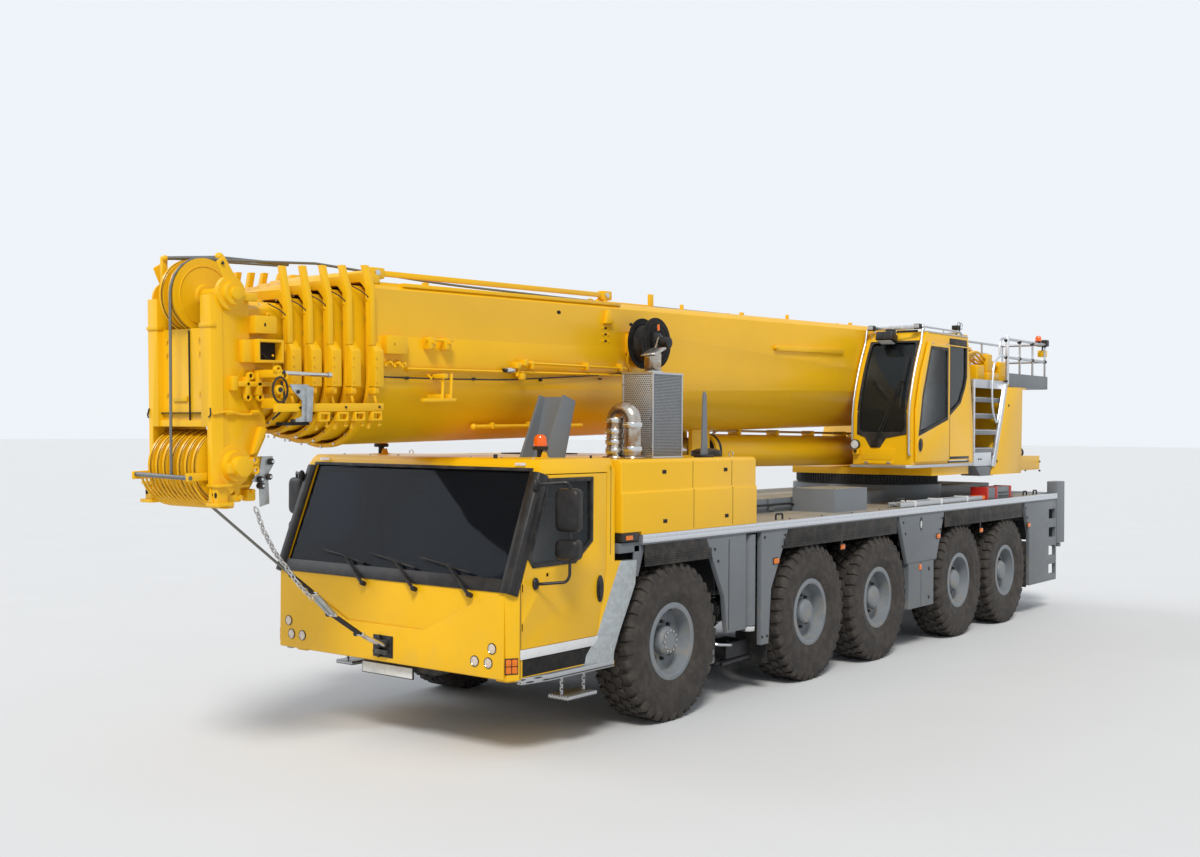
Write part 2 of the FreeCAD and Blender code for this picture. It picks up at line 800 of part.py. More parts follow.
def deck():
    """The deck plates with their edge beams, rubber skirts, side plates, side boxes and deck box."""
    front = station(S.deck_front_station)
    rear = station(S.deck_rear_station)
    inner = S.raised_half_width + S.fit_gap
    parts = []
    plan = [(half_width, front), (half_width, rear), (-half_width, rear), (-half_width, front)]
    room_front = station(S.raised_front_station) - S.fit_gap
    room_rear = station(S.raised_rear_station) + S.fit_gap
    room = [(inner, room_front), (inner, room_rear), (-inner, room_rear), (-inner, room_front)]
    engine_half = S.engine_width / 2 + 20
    engine_front = station(S.deck_front_station + 20)
    engine_rear = engine_front + S.engine_length + 40
    engine_room = [(engine_half, engine_front), (engine_half, engine_rear),
                   (-engine_half, engine_rear), (-engine_half, engine_front)]
    plate = prism("deck_plate", "XY_Plane", [plan, room, engine_room], S.deck_bottom, S.deck_top)
    parts.append(plate)
    edge = half_width - 6
    skirt_inner = edge - S.skirt_thickness
    drop = S.deck_bottom - S.skirt_bottom
    first, second, third, fourth, fifth = AXLES
    slant = drop * (number(S.skirt_slant_length) / number(S.skirt_slant_height))
    runs = [
        ("first", S.deck_front_station + 60, S.deck_front_station + 60, first + 508, first + 508 + slant),
        ("second", second - 558 - slant, second - 558, third + 420, third + 420),
        ("third", fourth - 560, fourth - 560, fifth + 560, fifth + 560),
    ]
    plates = []
    for side_name, side in SIDES:
        for run_name, low_begin, high_begin, high_finish, low_finish in runs:
            view = [
                (station(low_begin), S.skirt_bottom), (station(low_finish), S.skirt_bottom),
                (station(high_finish), S.deck_bottom + 2), (station(high_begin), S.deck_bottom + 2),
            ]
            parts.append(prism(f"skirt_{run_name}_{side_name}", "YZ_Plane", [view],
                               *span(side, skirt_inner, edge)))
        plates += side_plates(side_name, side)
    parts.append(box("deck_strip_rear", (half_width - S.deck_strip_width, half_width),
                     (rear - 5, station(S.deck_strip_rear_station)), (S.deck_bottom, S.deck_top)))
    parts.append(box("deck_box", (S.raised_half_width + 40, half_width - 250),
                     (station(AXLES[2] - 730), station(AXLES[2] + 100)),
                     (S.deck_top - 2, S.deck_top + S.deck_box_height)))
    return apart("deck", [fuse("deck_body", parts)] + plates)


# Driver's cab

def cab_side_view(inset):
    """The cab's outline from the side, moved inwards by the wall's thickness."""
    front = station(S.cab_front_station) + inset
    rear = station(S.cab_rear_station) - inset
    bottom = S.cab_bottom + inset
    roof = S.cab_roof - inset
    brow = station(S.cab_brow_station) + inset
    low_rear = station(S.cab_sill_rear_station) - inset
    return [
        (front + 20, bottom), (low_rear, bottom), (rear, S.cab_waist), (rear, roof),
        (brow + 60, roof), arc(brow, roof - 60, S.cab_brow_radius), (front, S.cab_waist),
    ]


def cab_plan(inset):
    """The cab's outline from above, with cut front corners, moved inwards by the wall."""
    across = S.corner_cut_width
    along = S.corner_cut_length
    slant = math.hypot(number(across), number(along))
    wide = S.cab_half_width - inset
    front = station(S.cab_front_station) + inset
    rear = station(S.cab_rear_station) + 50
    fold = S.cab_half_width - across - inset * ((slant - number(across)) / number(along))
    end = station(S.cab_front_station) + along + inset * ((slant - number(along)) / number(across))
    return [(wide, end), (wide, rear), (-wide, rear), (-wide, end), (-fold, front), (fold, front)]


def cab_front_view(inset):
    """The cab's outline from the front, with cut roof edges, moved inwards by the wall."""
    across = S.roof_edge_width
    down = S.roof_edge_height
    slant = math.hypot(number(across), number(down))
    wide = S.cab_half_width - inset
    low = S.cab_bottom - 50
    top = S.cab_roof - inset
    fold = S.cab_half_width - across - inset * ((slant - number(across)) / number(down))
    shoulder = S.cab_roof - down - inset * ((slant - number(down)) / number(across))
    return [(wide, low), (wide, shoulder), (fold, top), (-fold, top), (-wide, shoulder), (-wide, low)]


def cab_block(name, inset):
    """The cab's solid form, cut from its side, its plan and its front outlines."""
    wide = S.cab_half_width - inset
    views = [
        prism(f"{name}_side", "YZ_Plane", [cab_side_view(inset)], -wide, wide),
        prism(f"{name}_plan", "XY_Plane", [cab_plan(inset)], S.cab_bottom - 60, S.cab_roof + 60),
        prism(f"{name}_front", "XZ_Plane", [cab_front_view(inset)], station(S.cab_front_station) - 60,
              station(S.cab_rear_station) + 60),
    ]
    return common(name, views)


def door_view(gap):
    """The door's outline from the side: a slanting front edge above and a slanting heel below."""
    front = station(S.door_front_station) + gap
    heel = station(S.door_heel_station) - gap
    rear = station(S.door_rear_station) - gap
    brow = station(S.door_brow_station) + gap
    low = S.door_bottom + gap
    high = S.door_top - gap
    return [(front, low), (heel, low), (rear, S.door_knee_height), (rear, high), (brow, high),
            (front, S.door_slant_height)]


def cab_steps(side_name, side):
    """The step under one door, the guard over the wheel behind it and the hanging step."""
    outer = half_width
    inner = half_width - S.step_depth
    front = station(S.step_front_station)
    rear = station(S.step_rear_station)
    low = S.step_height - S.step_thickness
    tread = [(side * inner, front), (side * (outer - 200), front),
             (side * outer, station(S.step_bend_station)), (side * outer, rear), (side * inner, rear)]
    parts = [prism(f"step_{side_name}", "XY_Plane", [tread], low, S.step_height)]
    heel = station(S.door_heel_station) + 15
    knee = station(S.door_rear_station) + 15
    guard = [(heel - 160, S.step_height - 2), (rear, S.step_height - 2), (rear - 17, 1225),
             (rear + 159, 1554), (knee, 1554), (knee, S.door_knee_height), (heel, S.door_bottom)]
    parts.append(prism(f"arch_guard_{side_name}", "YZ_Plane", [guard],
                       *span(side, outer - S.arch_guard_width, outer)))
    hang = S.hanging_step_height
    parts.append(box(f"hanging_step_{side_name}", span(side, outer - 270, outer - 40),
                     (heel - 411, heel - 31), (hang - 35, hang)))
    for rod_name, y in (("front", heel - 380), ("rear", heel - 80)):
        parts.append(box(f"hanging_rod_{rod_name}_{side_name}", span(side, outer - 170, outer - 150),
                         (y, y + 20), (hang - 5, low + 5)))
    return parts


def boom_rest():
    """The rest that stands on the cab's roof beside the lowered boom."""
    base = S.cab_roof - 5
    rear = station(S.cab_rear_station)
    top = S.boom_rest_top
    view = [(rear - 425, base), (rear - 145, base), (rear, top - 50), (rear - 160, top)]
    parts = []
    for plate_name, x in (("near", S.boom_rest_near), ("far", S.boom_rest_far - 25)):
        parts.append(prism(f"boom_rest_{plate_name}", "YZ_Plane", [view], x, x + 25))
    parts.append(prism("boom_rest_web", "YZ_Plane",
                       [[(rear - 260, base), (rear - 230, base), (rear - 75, top - 25), (rear - 105, top - 15)]],
                       S.boom_rest_near + 5, S.boom_rest_far - 5))
    return parts


def driver_cab_shell():
    """The driver's cab: a hollow shell with its openings, floor, steps and the boom rest."""
    wide = S.cab_half_width
    wall = S.cab_wall
    skin = cab_block("cab_skin", Length(0, "0"))
    room = cab_block("cab_room", wall)
    tools = [room]
    screen_half = wide - 120
    front = station(S.cab_front_station)
    tools.append(box("cab_screen_opening", (-screen_half, screen_half), (front - 50, front + 600),
                     (S.screen_bottom, S.screen_top)))
    for side_name, side in SIDES:
        tools.append(prism(f"cab_door_opening_{side_name}", "YZ_Plane", [door_view(Length(0, "0"))],
                           *span(side, wide - wall - 5, wide + 5)))
    neck = S.frame_half_width + S.fit_gap
    tools.append(box("cab_neck_opening", (-neck, neck),
                     (station(S.neck_front_station) - S.fit_gap, station(S.cab_rear_station)),
                     (S.cab_bottom - 10, S.neck_top + S.fit_gap)))
    jaw = S.tow_half_width + S.fit_gap
    tools.append(box("cab_jaw_opening", (-jaw, jaw), (front - 60, station(S.neck_front_station) + 30),
                     (S.tow_height - S.tow_half_height - S.fit_gap, S.cab_floor - 2)))
    shell = cut("cab_shell_open", skin, tools)
    floor = box("cab_floor", (-wide + wall - 2, wide - wall + 2),
                (station(S.cab_front_station) + wall - 2 + S.corner_cut_length,
                 station(S.cab_sill_rear_station)),
                (S.cab_floor, S.cab_floor + 30))
    floor_front = box("cab_floor_front", (-wide + wall + S.corner_cut_width, wide - wall - S.corner_cut_width),
                      (station(S.cab_front_station) + wall - 2,
                       station(S.cab_front_station) + wall + S.corner_cut_length),
                      (S.cab_floor, S.cab_floor + 30))
    parts = [shell, floor, floor_front] + boom_rest()
    for side_name, side in SIDES:
        parts += cab_steps(side_name, side)
    return fuse("driver_cab_shell", parts)


def driver_door(side_name, side):
    """One cab door with its window glass and its mirrors."""
    name = f"driver_door_{side_name}"
    wide = S.cab_half_width
    gap = S.door_gap
    front = station(S.door_front_station) + gap
    rear = station(S.door_rear_station) - gap
    brow = station(S.door_brow_station) + gap
    low = S.door_bottom + gap
    high = S.door_top - gap
    frame = S.window_frame
    bottom = S.window_bottom
    lean = (brow - front) * (number(frame) / number(S.door_top - S.door_slant_height))

    def window_view(spread):
        """The window's outline, made larger by a spread."""
        return [
            (front + frame + 85 - spread, bottom - spread), (rear - 440 + spread, bottom - spread),
            (rear - frame - 165 + spread, bottom + 165 - spread), (rear - frame - 165 + spread, high - frame + spread),
            (brow + frame + 5 - lean - spread, high - frame + spread), (front + frame + 43 - spread, bottom + 55),
        ]

    panel = prism(f"{name}_panel", "YZ_Plane", [door_view(gap), window_view(0)],
                  *span(side, wide - S.cab_wall, wide))
    pane_face = wide - S.cab_wall / 2
    pane = prism(f"{name}_pane", "YZ_Plane", [window_view(5)],
                 *span(side, pane_face - S.glass_thickness, pane_face))
    far = wide + S.mirror_reach
    mirror_x = span(side, far - S.mirror_width, far)
    y = front + S.mirror_setback
    arm = S.mirror_arm
    parts = [panel, pane]
    for arm_name, height in (("upper", high - 75), ("lower", bottom - 105)):
        parts.append(box(f"{name}_arm_{arm_name}", span(side, wide - 2, far - 80), (y, y + arm),
                         (height, height + arm)))
    parts.append(box(f"{name}_mirror_post", span(side, far - 80 - arm, far - 80), (y, y + arm),
                     (bottom - 105, high - 75 + arm)))
    deep = (y - S.mirror_depth / 2, y + S.mirror_depth / 2)
    parts.append(box(f"{name}_mirror", mirror_x, deep, (bottom + 275, bottom + 630)))
    parts.append(box(f"{name}_mirror_wide", mirror_x, deep, (bottom + 45, bottom + 215)))
    for hinge_name, height in (("low", low + 150), ("high", S.door_slant_height - 160)):
        parts.append(box(f"{name}_hinge_{hinge_name}", span(side, wide - S.cab_wall, wide - 15),
                         (front - gap + S.fit_gap, front + 5), (height, height + 60)))
        parts.append(cylinder(f"{name}_hinge_pin_{hinge_name}", "Z", gap - 1, height, height + 60,
                              (side * wide, front)))
    return fuse(name, parts)


def driver_cab_glass():
    """The windscreen, which fills its opening and follows the cab's sloping front."""
    wide = S.cab_half_width - 120 - S.fit_gap
    inset = (S.cab_wall - S.glass_thickness) / 2
    outside = prism("cab_glass_outside", "YZ_Plane", [cab_side_view(inset)], -wide, wide)
    inside = prism("cab_glass_inside", "YZ_Plane", [cab_side_view(inset + S.glass_thickness)],
                   -wide - 5, wide + 5)
    layer = cut("cab_glass_layer", outside, [inside])
    front = station(S.cab_front_station)
    opening = box("cab_glass_opening", (-wide, wide), (front - 50, front + 600),
                  (S.screen_bottom + S.fit_gap, S.screen_top - S.fit_gap))
    return common("driver_cab_glass", [layer, opening])


def driver_cab_interior():
    """Two seats, the dashboard and the steering wheel on the cab's floor."""
    floor = S.cab_floor + 30 + S.fit_gap
    rear = station(S.cab_sill_rear_station)
    parts = []
    for side_name, side in SIDES:
        middle = side * 700
        parts.append(box(f"seat_base_{side_name}", (middle - 180, middle + 180), (rear - 430, rear - 60),
                         (floor, floor + 260)))
        parts.append(box(f"seat_pad_{side_name}", (middle - 250, middle + 250), (rear - 520, rear - 20),
                         (floor + 255, floor + 400)))
        parts.append(box(f"seat_back_{side_name}", (middle - 240, middle + 240), (rear - 110, rear + 10),
                         (floor + 390, floor + 1150)))
    seats = fuse("seats", parts)
    inset = S.cab_wall + S.fit_gap
    front = station(S.cab_front_station) + inset
    wide = S.cab_half_width - inset - S.dash_side_gap
    dash_view = [
        (front + 6, floor + 300), (front + 230, floor + 300), (front + 350, floor + 480),
        (front + 230, floor + 540), (front + 20, floor + 500), (front + 1, floor + 460),
    ]
    dash_form = prism("dashboard_form", "YZ_Plane", [dash_view], -wide, wide)
    dash_plan = prism("dashboard_plan", "XY_Plane", [cab_plan(inset)], floor, floor + 600)
    dash = common("dashboard", [dash_form, dash_plan])
    column = box("steering_column", (700 + Length(-30, "-30"), Length(730, "730")),
                 (front + 210, front + 360), (floor + 400, floor + 640))
    return apart("driver_cab_interior", [seats, fuse("dash_and_column", [dash, column])])


# Engine, its cover and the exhaust

def engine_block():
    """The engine as one plain block on the frame."""
    front = station(S.deck_front_station + 40)
    base = S.frame_top + S.fit_gap
    wide = S.engine_width / 2
    return box("engine_block", (-wide, wide), (front, front + S.engine_length),
               (base, base + S.engine_height))


def engine_cover():
    """The engine cover: a hollow hood across the carrier's whole width, open below."""
    front = station(S.cover_front_station)
    rear = station(S.cover_rear_station)
    deck_front = station(S.deck_front_station)
    base = S.deck_top + S.fit_gap
    wall = S.cover_wall
    outer = [
        (deck_front, base), (rear, base), (rear, S.cover_top), (front, S.cover_top),
        (front, S.cover_front_bottom), (deck_front, S.cover_front_bottom),
    ]
    side_form = prism("cover_side_form", "YZ_Plane", [outer], -half_width, half_width)
    crease = S.cover_crease_height
    upper = half_width - S.cover_crease_depth
    edge = S.cover_edge_cut
    half_view = [(half_width, base - 1), (half_width, crease - 12), (upper, crease + 4),
                 (upper, S.cover_top - edge), (upper - edge, S.cover_top + 1)]
    across = half_view + [(-x, z) for x, z in reversed(half_view)]
    front_form = prism("cover_front_form", "XZ_Plane", [across], front - 10, rear + 10)
    skin = common("cover_skin", [side_form, front_form])
    inner = [
        (deck_front + wall, base - 1), (rear - wall, base - 1), (rear - wall, S.cover_top - wall),
        (front + wall, S.cover_top - wall), (front + wall, S.cover_front_bottom + wall),
        (deck_front + wall, S.cover_front_bottom + wall),
    ]
    room = prism("cover_room", "YZ_Plane", [inner], -half_width + wall, half_width - wall)
    return cut("engine_cover", skin, [room])


def half_ring(name, centre, bend, radius):
    """The upper half of a ring that stands across the crane."""
    ring = doc.addObject("Part::Torus", name)
    bind(ring, "Radius1", bend)
    bind(ring, "Radius2", radius)
    ring.Angle3 = 180
    return place(ring, *centre, rotation=Rotation(Vector(1, 0, 0), 90))


def exhaust_stack():
    """The exhaust guard, its pipes with their bend, the rain flap and the vent hood on the cover."""
    base = S.cover_top + S.fit_gap
    x = (S.guard_offset - S.guard_half_width, S.guard_offset + S.guard_half_width)
    y = (station(S.guard_front_station), station(S.guard_rear_station))
    sheet_wall = 4
    guard_skin = box("guard_skin", x, y, (base, S.guard_top))
    guard_room = box("guard_room", (x[0] + sheet_wall, x[1] - sheet_wall),
                     (y[0] + sheet_wall, y[1] - sheet_wall), (base - 1, S.guard_top + 1))
    guard = cut("guard", guard_skin, [guard_room])
    middle = (y[0] + y[1]) / 2
    riser = cylinder("exhaust_riser", "Z", S.pipe_radius, base, S.guard_top + 190, (S.guard_offset, middle))
    flap = prism("exhaust_flap", "YZ_Plane",
                 [[(middle - 95, S.guard_top + 170), (middle - 75, S.guard_top + 162),
                   (middle + 105, S.guard_top + 235), (middle + 95, S.guard_top + 252)]],
                 S.guard_offset - 85, S.guard_offset + 85)
    pipe = fuse("exhaust_pipe", [riser, flap])
    bend_y = y[0] - S.bend_setback
    top = base + S.bend_height
    legs = [
        cylinder(f"bend_leg_{leg_name}", "Z", S.pipe_radius, base, top,
                 (S.guard_offset + 30 + turn * S.bend_radius, bend_y))
        for leg_name, turn in (("inner", -1), ("outer", 1))
    ]
    beads = [
        cylinder(f"bend_bead_{bead_name}", "Z", S.pipe_radius + 8, base + rise, base + rise + 16,
                 (S.guard_offset + 30 - S.bend_radius, bend_y))
        for bead_name, rise in (("low", 90), ("middle", 180), ("high", 270))
    ]
    arch = half_ring("bend_arch", (S.guard_offset + 30, bend_y, top), S.bend_radius, S.pipe_radius)
    bend = fuse("exhaust_bend", legs + beads + [arch])
    hood = cylinder("vent_hood", "Z", Length(150, "150"), base, base + 60,
                    (Length(1100, "1100"), station(1100)))
    return apart("exhaust_stack", [guard, pipe, bend, hood])


# Superstructure

def turntable():
    """The slewing frame: ring, base plate, cheeks with the boom pin, side bodies and platforms."""
    zero = Length(0, "0")
    pivot_y = station(S.boom_pivot_station)
    parts = [
        cylinder("slew_ring", "Z", S.slew_radius, S.slew_ring_bottom, S.slew_ring_top,
                 (zero, station(S.slew_station))),
        box("slew_plate", (-S.cheek_inner - S.cheek_thickness, S.cheek_inner + S.cheek_thickness),
            (station(S.slew_station) - S.slew_radius, station(S.counterweight_rear_station)),
            (S.slew_ring_top - 10, S.slew_plate_top)),
    ]
    cheek_view = [
        (station(S.cheek_front_station), S.slew_plate_top - 5),
        (station(S.cheek_rear_station), S.slew_plate_top - 5),
        (station(S.cheek_rear_station), S.slew_plate_top + 500),
        (pivot_y + 300, S.boom_pivot_height + 60), (pivot_y + 120, S.boom_pivot_height + 230),
        (pivot_y - 160, S.boom_pivot_height + 230), (pivot_y - 900, S.slew_plate_top + 650),
        (station(S.cheek_front_station), S.slew_plate_top + 250),
    ]
    for side_name, side in SIDES:
        parts.append(prism(f"cheek_{side_name}", "YZ_Plane", [cheek_view],
                           *span(side, S.cheek_inner, S.cheek_inner + S.cheek_thickness)))
        low_front = station(S.side_body_front_station)
        rear = station(S.side_body_rear_station)
        side_view = [(low_front, S.side_body_bottom), (rear, S.side_body_bottom),
                     (rear + 40, S.side_body_top), (low_front + S.side_body_lean, S.side_body_top)]
        parts.append(prism(f"side_body_{side_name}", "YZ_Plane", [side_view],
                           *span(side, S.cheek_inner + S.cheek_thickness - 2, S.side_body_outer)))
        lug_x = span(side, S.luff_barrel_radius - 60, S.luff_barrel_radius)
        parts.append(box(f"luff_lug_{side_name}", lug_x,
                         (station(S.luff_foot_station) - 130, station(S.luff_foot_station) + 130),
                         (S.slew_plate_top - 5, S.luff_foot_height + 110)))
    parts.append(cylinder("boom_pin", "X", S.boom_pin_radius, -S.cheek_inner - 10, S.cheek_inner + 10,
                          (pivot_y, S.boom_pivot_height)))
    parts.append(cylinder("luff_foot_pin", "X", S.luff_pin_radius, -S.luff_barrel_radius + 20,
                          S.luff_barrel_radius - 20, (station(S.luff_foot_station), S.luff_foot_height)))
    parts.append(box("cab_bearer", (S.cheek_inner, S.crane_cab_outer - 30),
                     (station(S.slew_station) - S.cab_bearer_front,
                      station(S.slew_station) + S.cab_bearer_rear),
                     (S.slew_ring_top - 10, S.crane_cab_bottom - S.fit_gap)))
    base_reach = S.cheek_inner + S.counterweight_base_side
    parts.append(box("counterweight_base", (-base_reach, base_reach),
                     (station(S.side_body_rear_station) - 2, station(S.counterweight_rear_station)),
                     (S.slew_ring_top - 10, S.slew_plate_top + 120)))
    parts += platform()
    return fuse("turntable", parts)


def platform():
    """The walkway over the left side body, with its toe board, posts and handrails."""
    near = S.cheek_inner + S.cheek_thickness - 2
    far = S.side_body_outer
    ends = (station(S.platform_front_station), station(S.platform_rear_station))
    floor = S.platform_height
    parts = [
        box("platform_floor", (near, far), ends, (floor - S.platform_thickness, floor)),
        box("platform_stays", (near, far), (station(S.side_body_rear_station) - 300, ends[1] - 900),
            (S.side_body_top - 20, floor - 2)),
        box("platform_toe_board", (far - 12, far), ends, (floor - 2, floor + 130)),
        box("platform_rear_toe_board", (near, far), (ends[1] - 12, ends[1]), (floor - 2, floor + 130)),
    ]
    rail = S.rail_radius
    post = S.post_radius
    rail_x = far - rail - 12
    run = ends[1] - ends[0]
    for count in range(4):
        y = ends[0] + rail + (run - 2 * rail) * (count / 3)
        parts.append(cylinder(f"platform_post_{count}", "Z", post, floor - 2, S.rail_top - rail, (rail_x, y)))
    parts.append(cylinder("platform_post_inner", "Z", post, floor - 2, S.rail_top - rail,
                          (near + 60, ends[1] - rail)))
    for rail_name, height in (("top", S.rail_top - rail), ("middle", floor + 360)):
        parts.append(cylinder(f"platform_rail_{rail_name}", "Y", rail, ends[0] + rail / 2, ends[1] - rail / 2,
                              (rail_x, height)))
        parts.append(cylinder(f"platform_rear_rail_{rail_name}", "X", rail, near + 60, rail_x + rail / 2,
                              (ends[1] - rail, height)))
    return parts


def winch_drum():
    """The hoist winch drum between the cheeks, on its own short shaft."""
    half = S.winch_half_length
    axis = (station(S.winch_station), S.winch_height)
    parts = [
        cylinder("winch_core", "X", S.winch_radius - 60, -half, half, axis),
        cylinder("winch_shaft", "X", S.boom_pin_radius - 10, -S.cheek_inner + S.fit_gap,
                 S.cheek_inner - S.fit_gap, axis),
    ]
    for side_name, side in SIDES:
        parts.append(cylinder(f"winch_flange_{side_name}", "X", S.winch_radius + 30,
                              *span(side, half - 25, half), axis))
    return fuse("winch_drum", parts)


# Crane cab

def crane_cab_view(inset):
    """The crane cab's outline from the side, moved inwards by the wall's thickness."""
    front = station(S.crane_cab_front_station) + inset
    rear = station(S.crane_cab_rear_station) - inset
    low = S.crane_cab_bottom + inset
    high = S.crane_cab_top - inset
    brow = station(S.crane_cab_brow_station) + inset
    tail = station(S.crane_cab_tail_station) - inset
    return [
        (front, low), (rear, low), (rear, low + 500), (tail, high), (brow, high),
        arc(front, low + 700, S.crane_screen_radius - inset),
    ]


def crane_door_view(inset):
    """The sliding door's outline from the side, which follows the curved front pillar."""
    front = station(S.crane_door_front_station) + inset
    rear = station(S.crane_door_rear_station) - inset
    brow = station(S.crane_door_brow_station) + inset
    low = S.crane_cab_bottom + 60 + inset
    high = S.crane_cab_top - 130 - inset
    return [(front, low), (rear, low), (rear, high), (brow, high), (front + 140, high - 440),
            (front, low + 660)]


def quarter_view(inset):
    """The rear quarter window's outline from the side, with a rising lower edge."""
    front = station(S.crane_door_rear_station) + 55 + inset
    rear = station(S.crane_cab_tail_station) - 35 - inset
    high = S.crane_cab_top - 120 - inset
    return [(front, high - 955 + inset * 2), (front + 380 - inset, high - 770 + inset),
            (rear - 60, high - 560 + inset), (rear, high - 420), (rear, high), (front, high)]


def crane_cab_shell():
    """The crane cab: a hollow shell with a curved windscreen, a side doorway and a rear window."""
    inner = S.crane_cab_inner
    outer = S.crane_cab_outer
    wall = S.crane_cab_wall
    skin = prism("crane_cab_skin", "YZ_Plane", [crane_cab_view(0)], inner, outer)
    room = prism("crane_cab_room", "YZ_Plane", [crane_cab_view(wall)], inner + wall, outer - wall)
    front = station(S.crane_cab_front_station)
    low = S.crane_cab_bottom
    screen = box("crane_screen_opening", (inner + 70, outer - 70), (front - 50, front + 430),
                 (low + 420, S.crane_cab_top - 120))
    through = (outer - wall - 5, outer + 5)
    doorway = prism("crane_doorway", "YZ_Plane", [crane_door_view(S.crane_door_lap)], *through)
    quarter = prism("crane_quarter_opening", "YZ_Plane", [quarter_view(Length(0, "0"))], *through)
    shell = cut("crane_shell_open", skin, [room, screen, doorway, quarter])
    rails = []
    rail_ends = (station(S.crane_door_brow_station) + 15,
                 station(S.crane_door_rear_station) + S.crane_door_travel + 10)
    for rail_name, height in (("low", low + 65), ("high", S.crane_cab_top - 148)):
        rails.append(box(f"crane_door_rail_{rail_name}", (outer - 1, outer + S.running_gap - S.fit_gap),
                         rail_ends, (height, height + 14)))
    return fuse("crane_cab_shell", [shell] + rails)


def crane_cab_door():
    """The sliding door of the crane cab, with the pane in its tall window."""
    outer = S.crane_cab_outer + S.running_gap
    front = station(S.crane_door_front_station)
    rear = station(S.crane_door_rear_station)
    low = S.crane_cab_bottom + 60
    high = S.crane_cab_top - 130

    def window_view(spread):
        """The window's outline, made larger by a spread."""
        return [(front + 60 - spread, low + 330 - spread), (rear - 62 + spread, low + 545 - spread),
                (rear - 62 + spread, high - 58 + spread), (front + 425 - spread, high - 58 + spread),
                (front + 170 - spread, low + 830)]

    panel = prism("crane_door_panel", "YZ_Plane", [crane_door_view(Length(0, "0")), window_view(0)],
                  outer, outer + 30)
    pane = prism("crane_door_pane", "YZ_Plane", [window_view(5)], outer + 8, outer + 8 + S.glass_thickness)
    return fuse("crane_cab_door", [panel, pane])


def crane_cab_glass():
    """The crane cab's curved windscreen and its rear quarter pane, which fill their openings."""
    inner = S.crane_cab_inner + 70 + S.fit_gap
    outer = S.crane_cab_outer - 70 - S.fit_gap
    inset = (S.crane_cab_wall - S.glass_thickness) / 2
    outside = prism("crane_glass_outside", "YZ_Plane", [crane_cab_view(inset)], inner, outer)
    inside = prism("crane_glass_inside", "YZ_Plane", [crane_cab_view(inset + S.glass_thickness)],
                   inner - 5, outer + 5)
    layer = cut("crane_glass_layer", outside, [inside])
    front = station(S.crane_cab_front_station)
    opening = box("crane_glass_opening", (inner, outer), (front - 50, front + 430),
                  (S.crane_cab_bottom + 420 + S.fit_gap, S.crane_cab_top - 120 - S.fit_gap))
    screen = common("crane_screen", [layer, opening])
    face = S.crane_cab_outer - inset
    quarter = prism("crane_quarter_pane", "YZ_Plane", [quarter_view(S.fit_gap)],
                    face - S.glass_thickness, face)
    return apart("crane_cab_glass", [screen, quarter])


# Luffing cylinder

def luff_frame():
    """The length of the closed cylinder and its angle above the horizontal, seen from the side."""
    run = number(S.luff_foot_station) - number(S.luff_eye_station)
    rise = number(luff_eye_height) - number(S.luff_foot_height)
    return math.hypot(run, rise), math.degrees(math.atan2(rise, run))


def luff_barrel():
    """The luffing cylinder's barrel with its foot eye."""
    closed, slope = luff_frame()
    zero = Length(0, "0")
    skin = cylinder("luff_tube", "Y", S.luff_barrel_radius, Length(300 - closed, str(300 - closed)),
                    Length(-240, "-240"), (zero, zero))
    foot = cylinder("luff_foot_eye", "X", S.luff_pin_radius + 60, Length(-110, "-110"),
                    Length(110, "110"), (zero, zero))
    neck = box("luff_foot_neck", (Length(-100, "-100"), Length(100, "100")),
               (Length(-260, "-260"), Length(0, "0")), (Length(-90, "-90"), Length(90, "90")))
    solid = fuse("luff_barrel_solid", [skin, foot, neck])
    bore = cylinder("luff_barrel_bore", "Y", S.luff_rod_radius + S.fit_gap,
                    Length(299 - closed, str(299 - closed)), Length(-320, "-320"), (zero, zero))
    eye = cylinder("luff_foot_bore", "X", S.luff_pin_radius + S.fit_gap, Length(-120, "-120"),
                   Length(120, "120"), (zero, zero))
    barrel = cut("luff_barrel", solid, [bore, eye])
    return place(barrel, 0, station(S.luff_foot_station), S.luff_foot_height,
                 Rotation(Vector(1, 0, 0), -slope))


def luff_rod():
    """The luffing cylinder's rod with its eye, under the boom's bracket."""
    closed, slope = luff_frame()
    zero = Length(0, "0")
    bar = cylinder("luff_rod_bar", "Y", S.luff_rod_radius, Length(-closed, str(-closed)),
                   Length(-330, "-330"), (zero, zero))
    eye = cylinder("luff_rod_eye", "X", S.luff_rod_radius + 30, Length(-90, "-90"), Length(90, "90"),
                   (Length(-closed, str(-closed)), zero))
    pin = cylinder("luff_rod_pin", "X", S.luff_pin_radius, S.fit_gap - S.luff_ear_offset,
                   S.luff_ear_offset - S.fit_gap, (Length(-closed, str(-closed)), zero))
    rod = fuse("luff_rod", [bar, eye, pin])
    return place(rod, 0, station(S.luff_foot_station), S.luff_foot_height,
                 Rotation(Vector(1, 0, 0), -slope))


# Boom

def boom_outline(half, bottom, top, corner):
    """The boom's cross-section: flat top, upright sides and a round lower half."""
    return [
        arc(half, bottom + half, half), (half, top - corner), (half - corner, top),
        (-half + corner, top), (-half, top - corner), (-half, bottom + half),
        arc(Length(0, "0"), bottom, half),
    ]


def section_sizes(index):
    """The half width, bottom and top of one boom section, counted from the base section."""
    half = S.boom_half_width - S.boom_side_step * index
    top = S.boom_above_pivot - S.boom_height_step * index / 2
    bottom = S.boom_above_pivot - S.boom_height + S.boom_height_step * index / 2
    return half, bottom, top


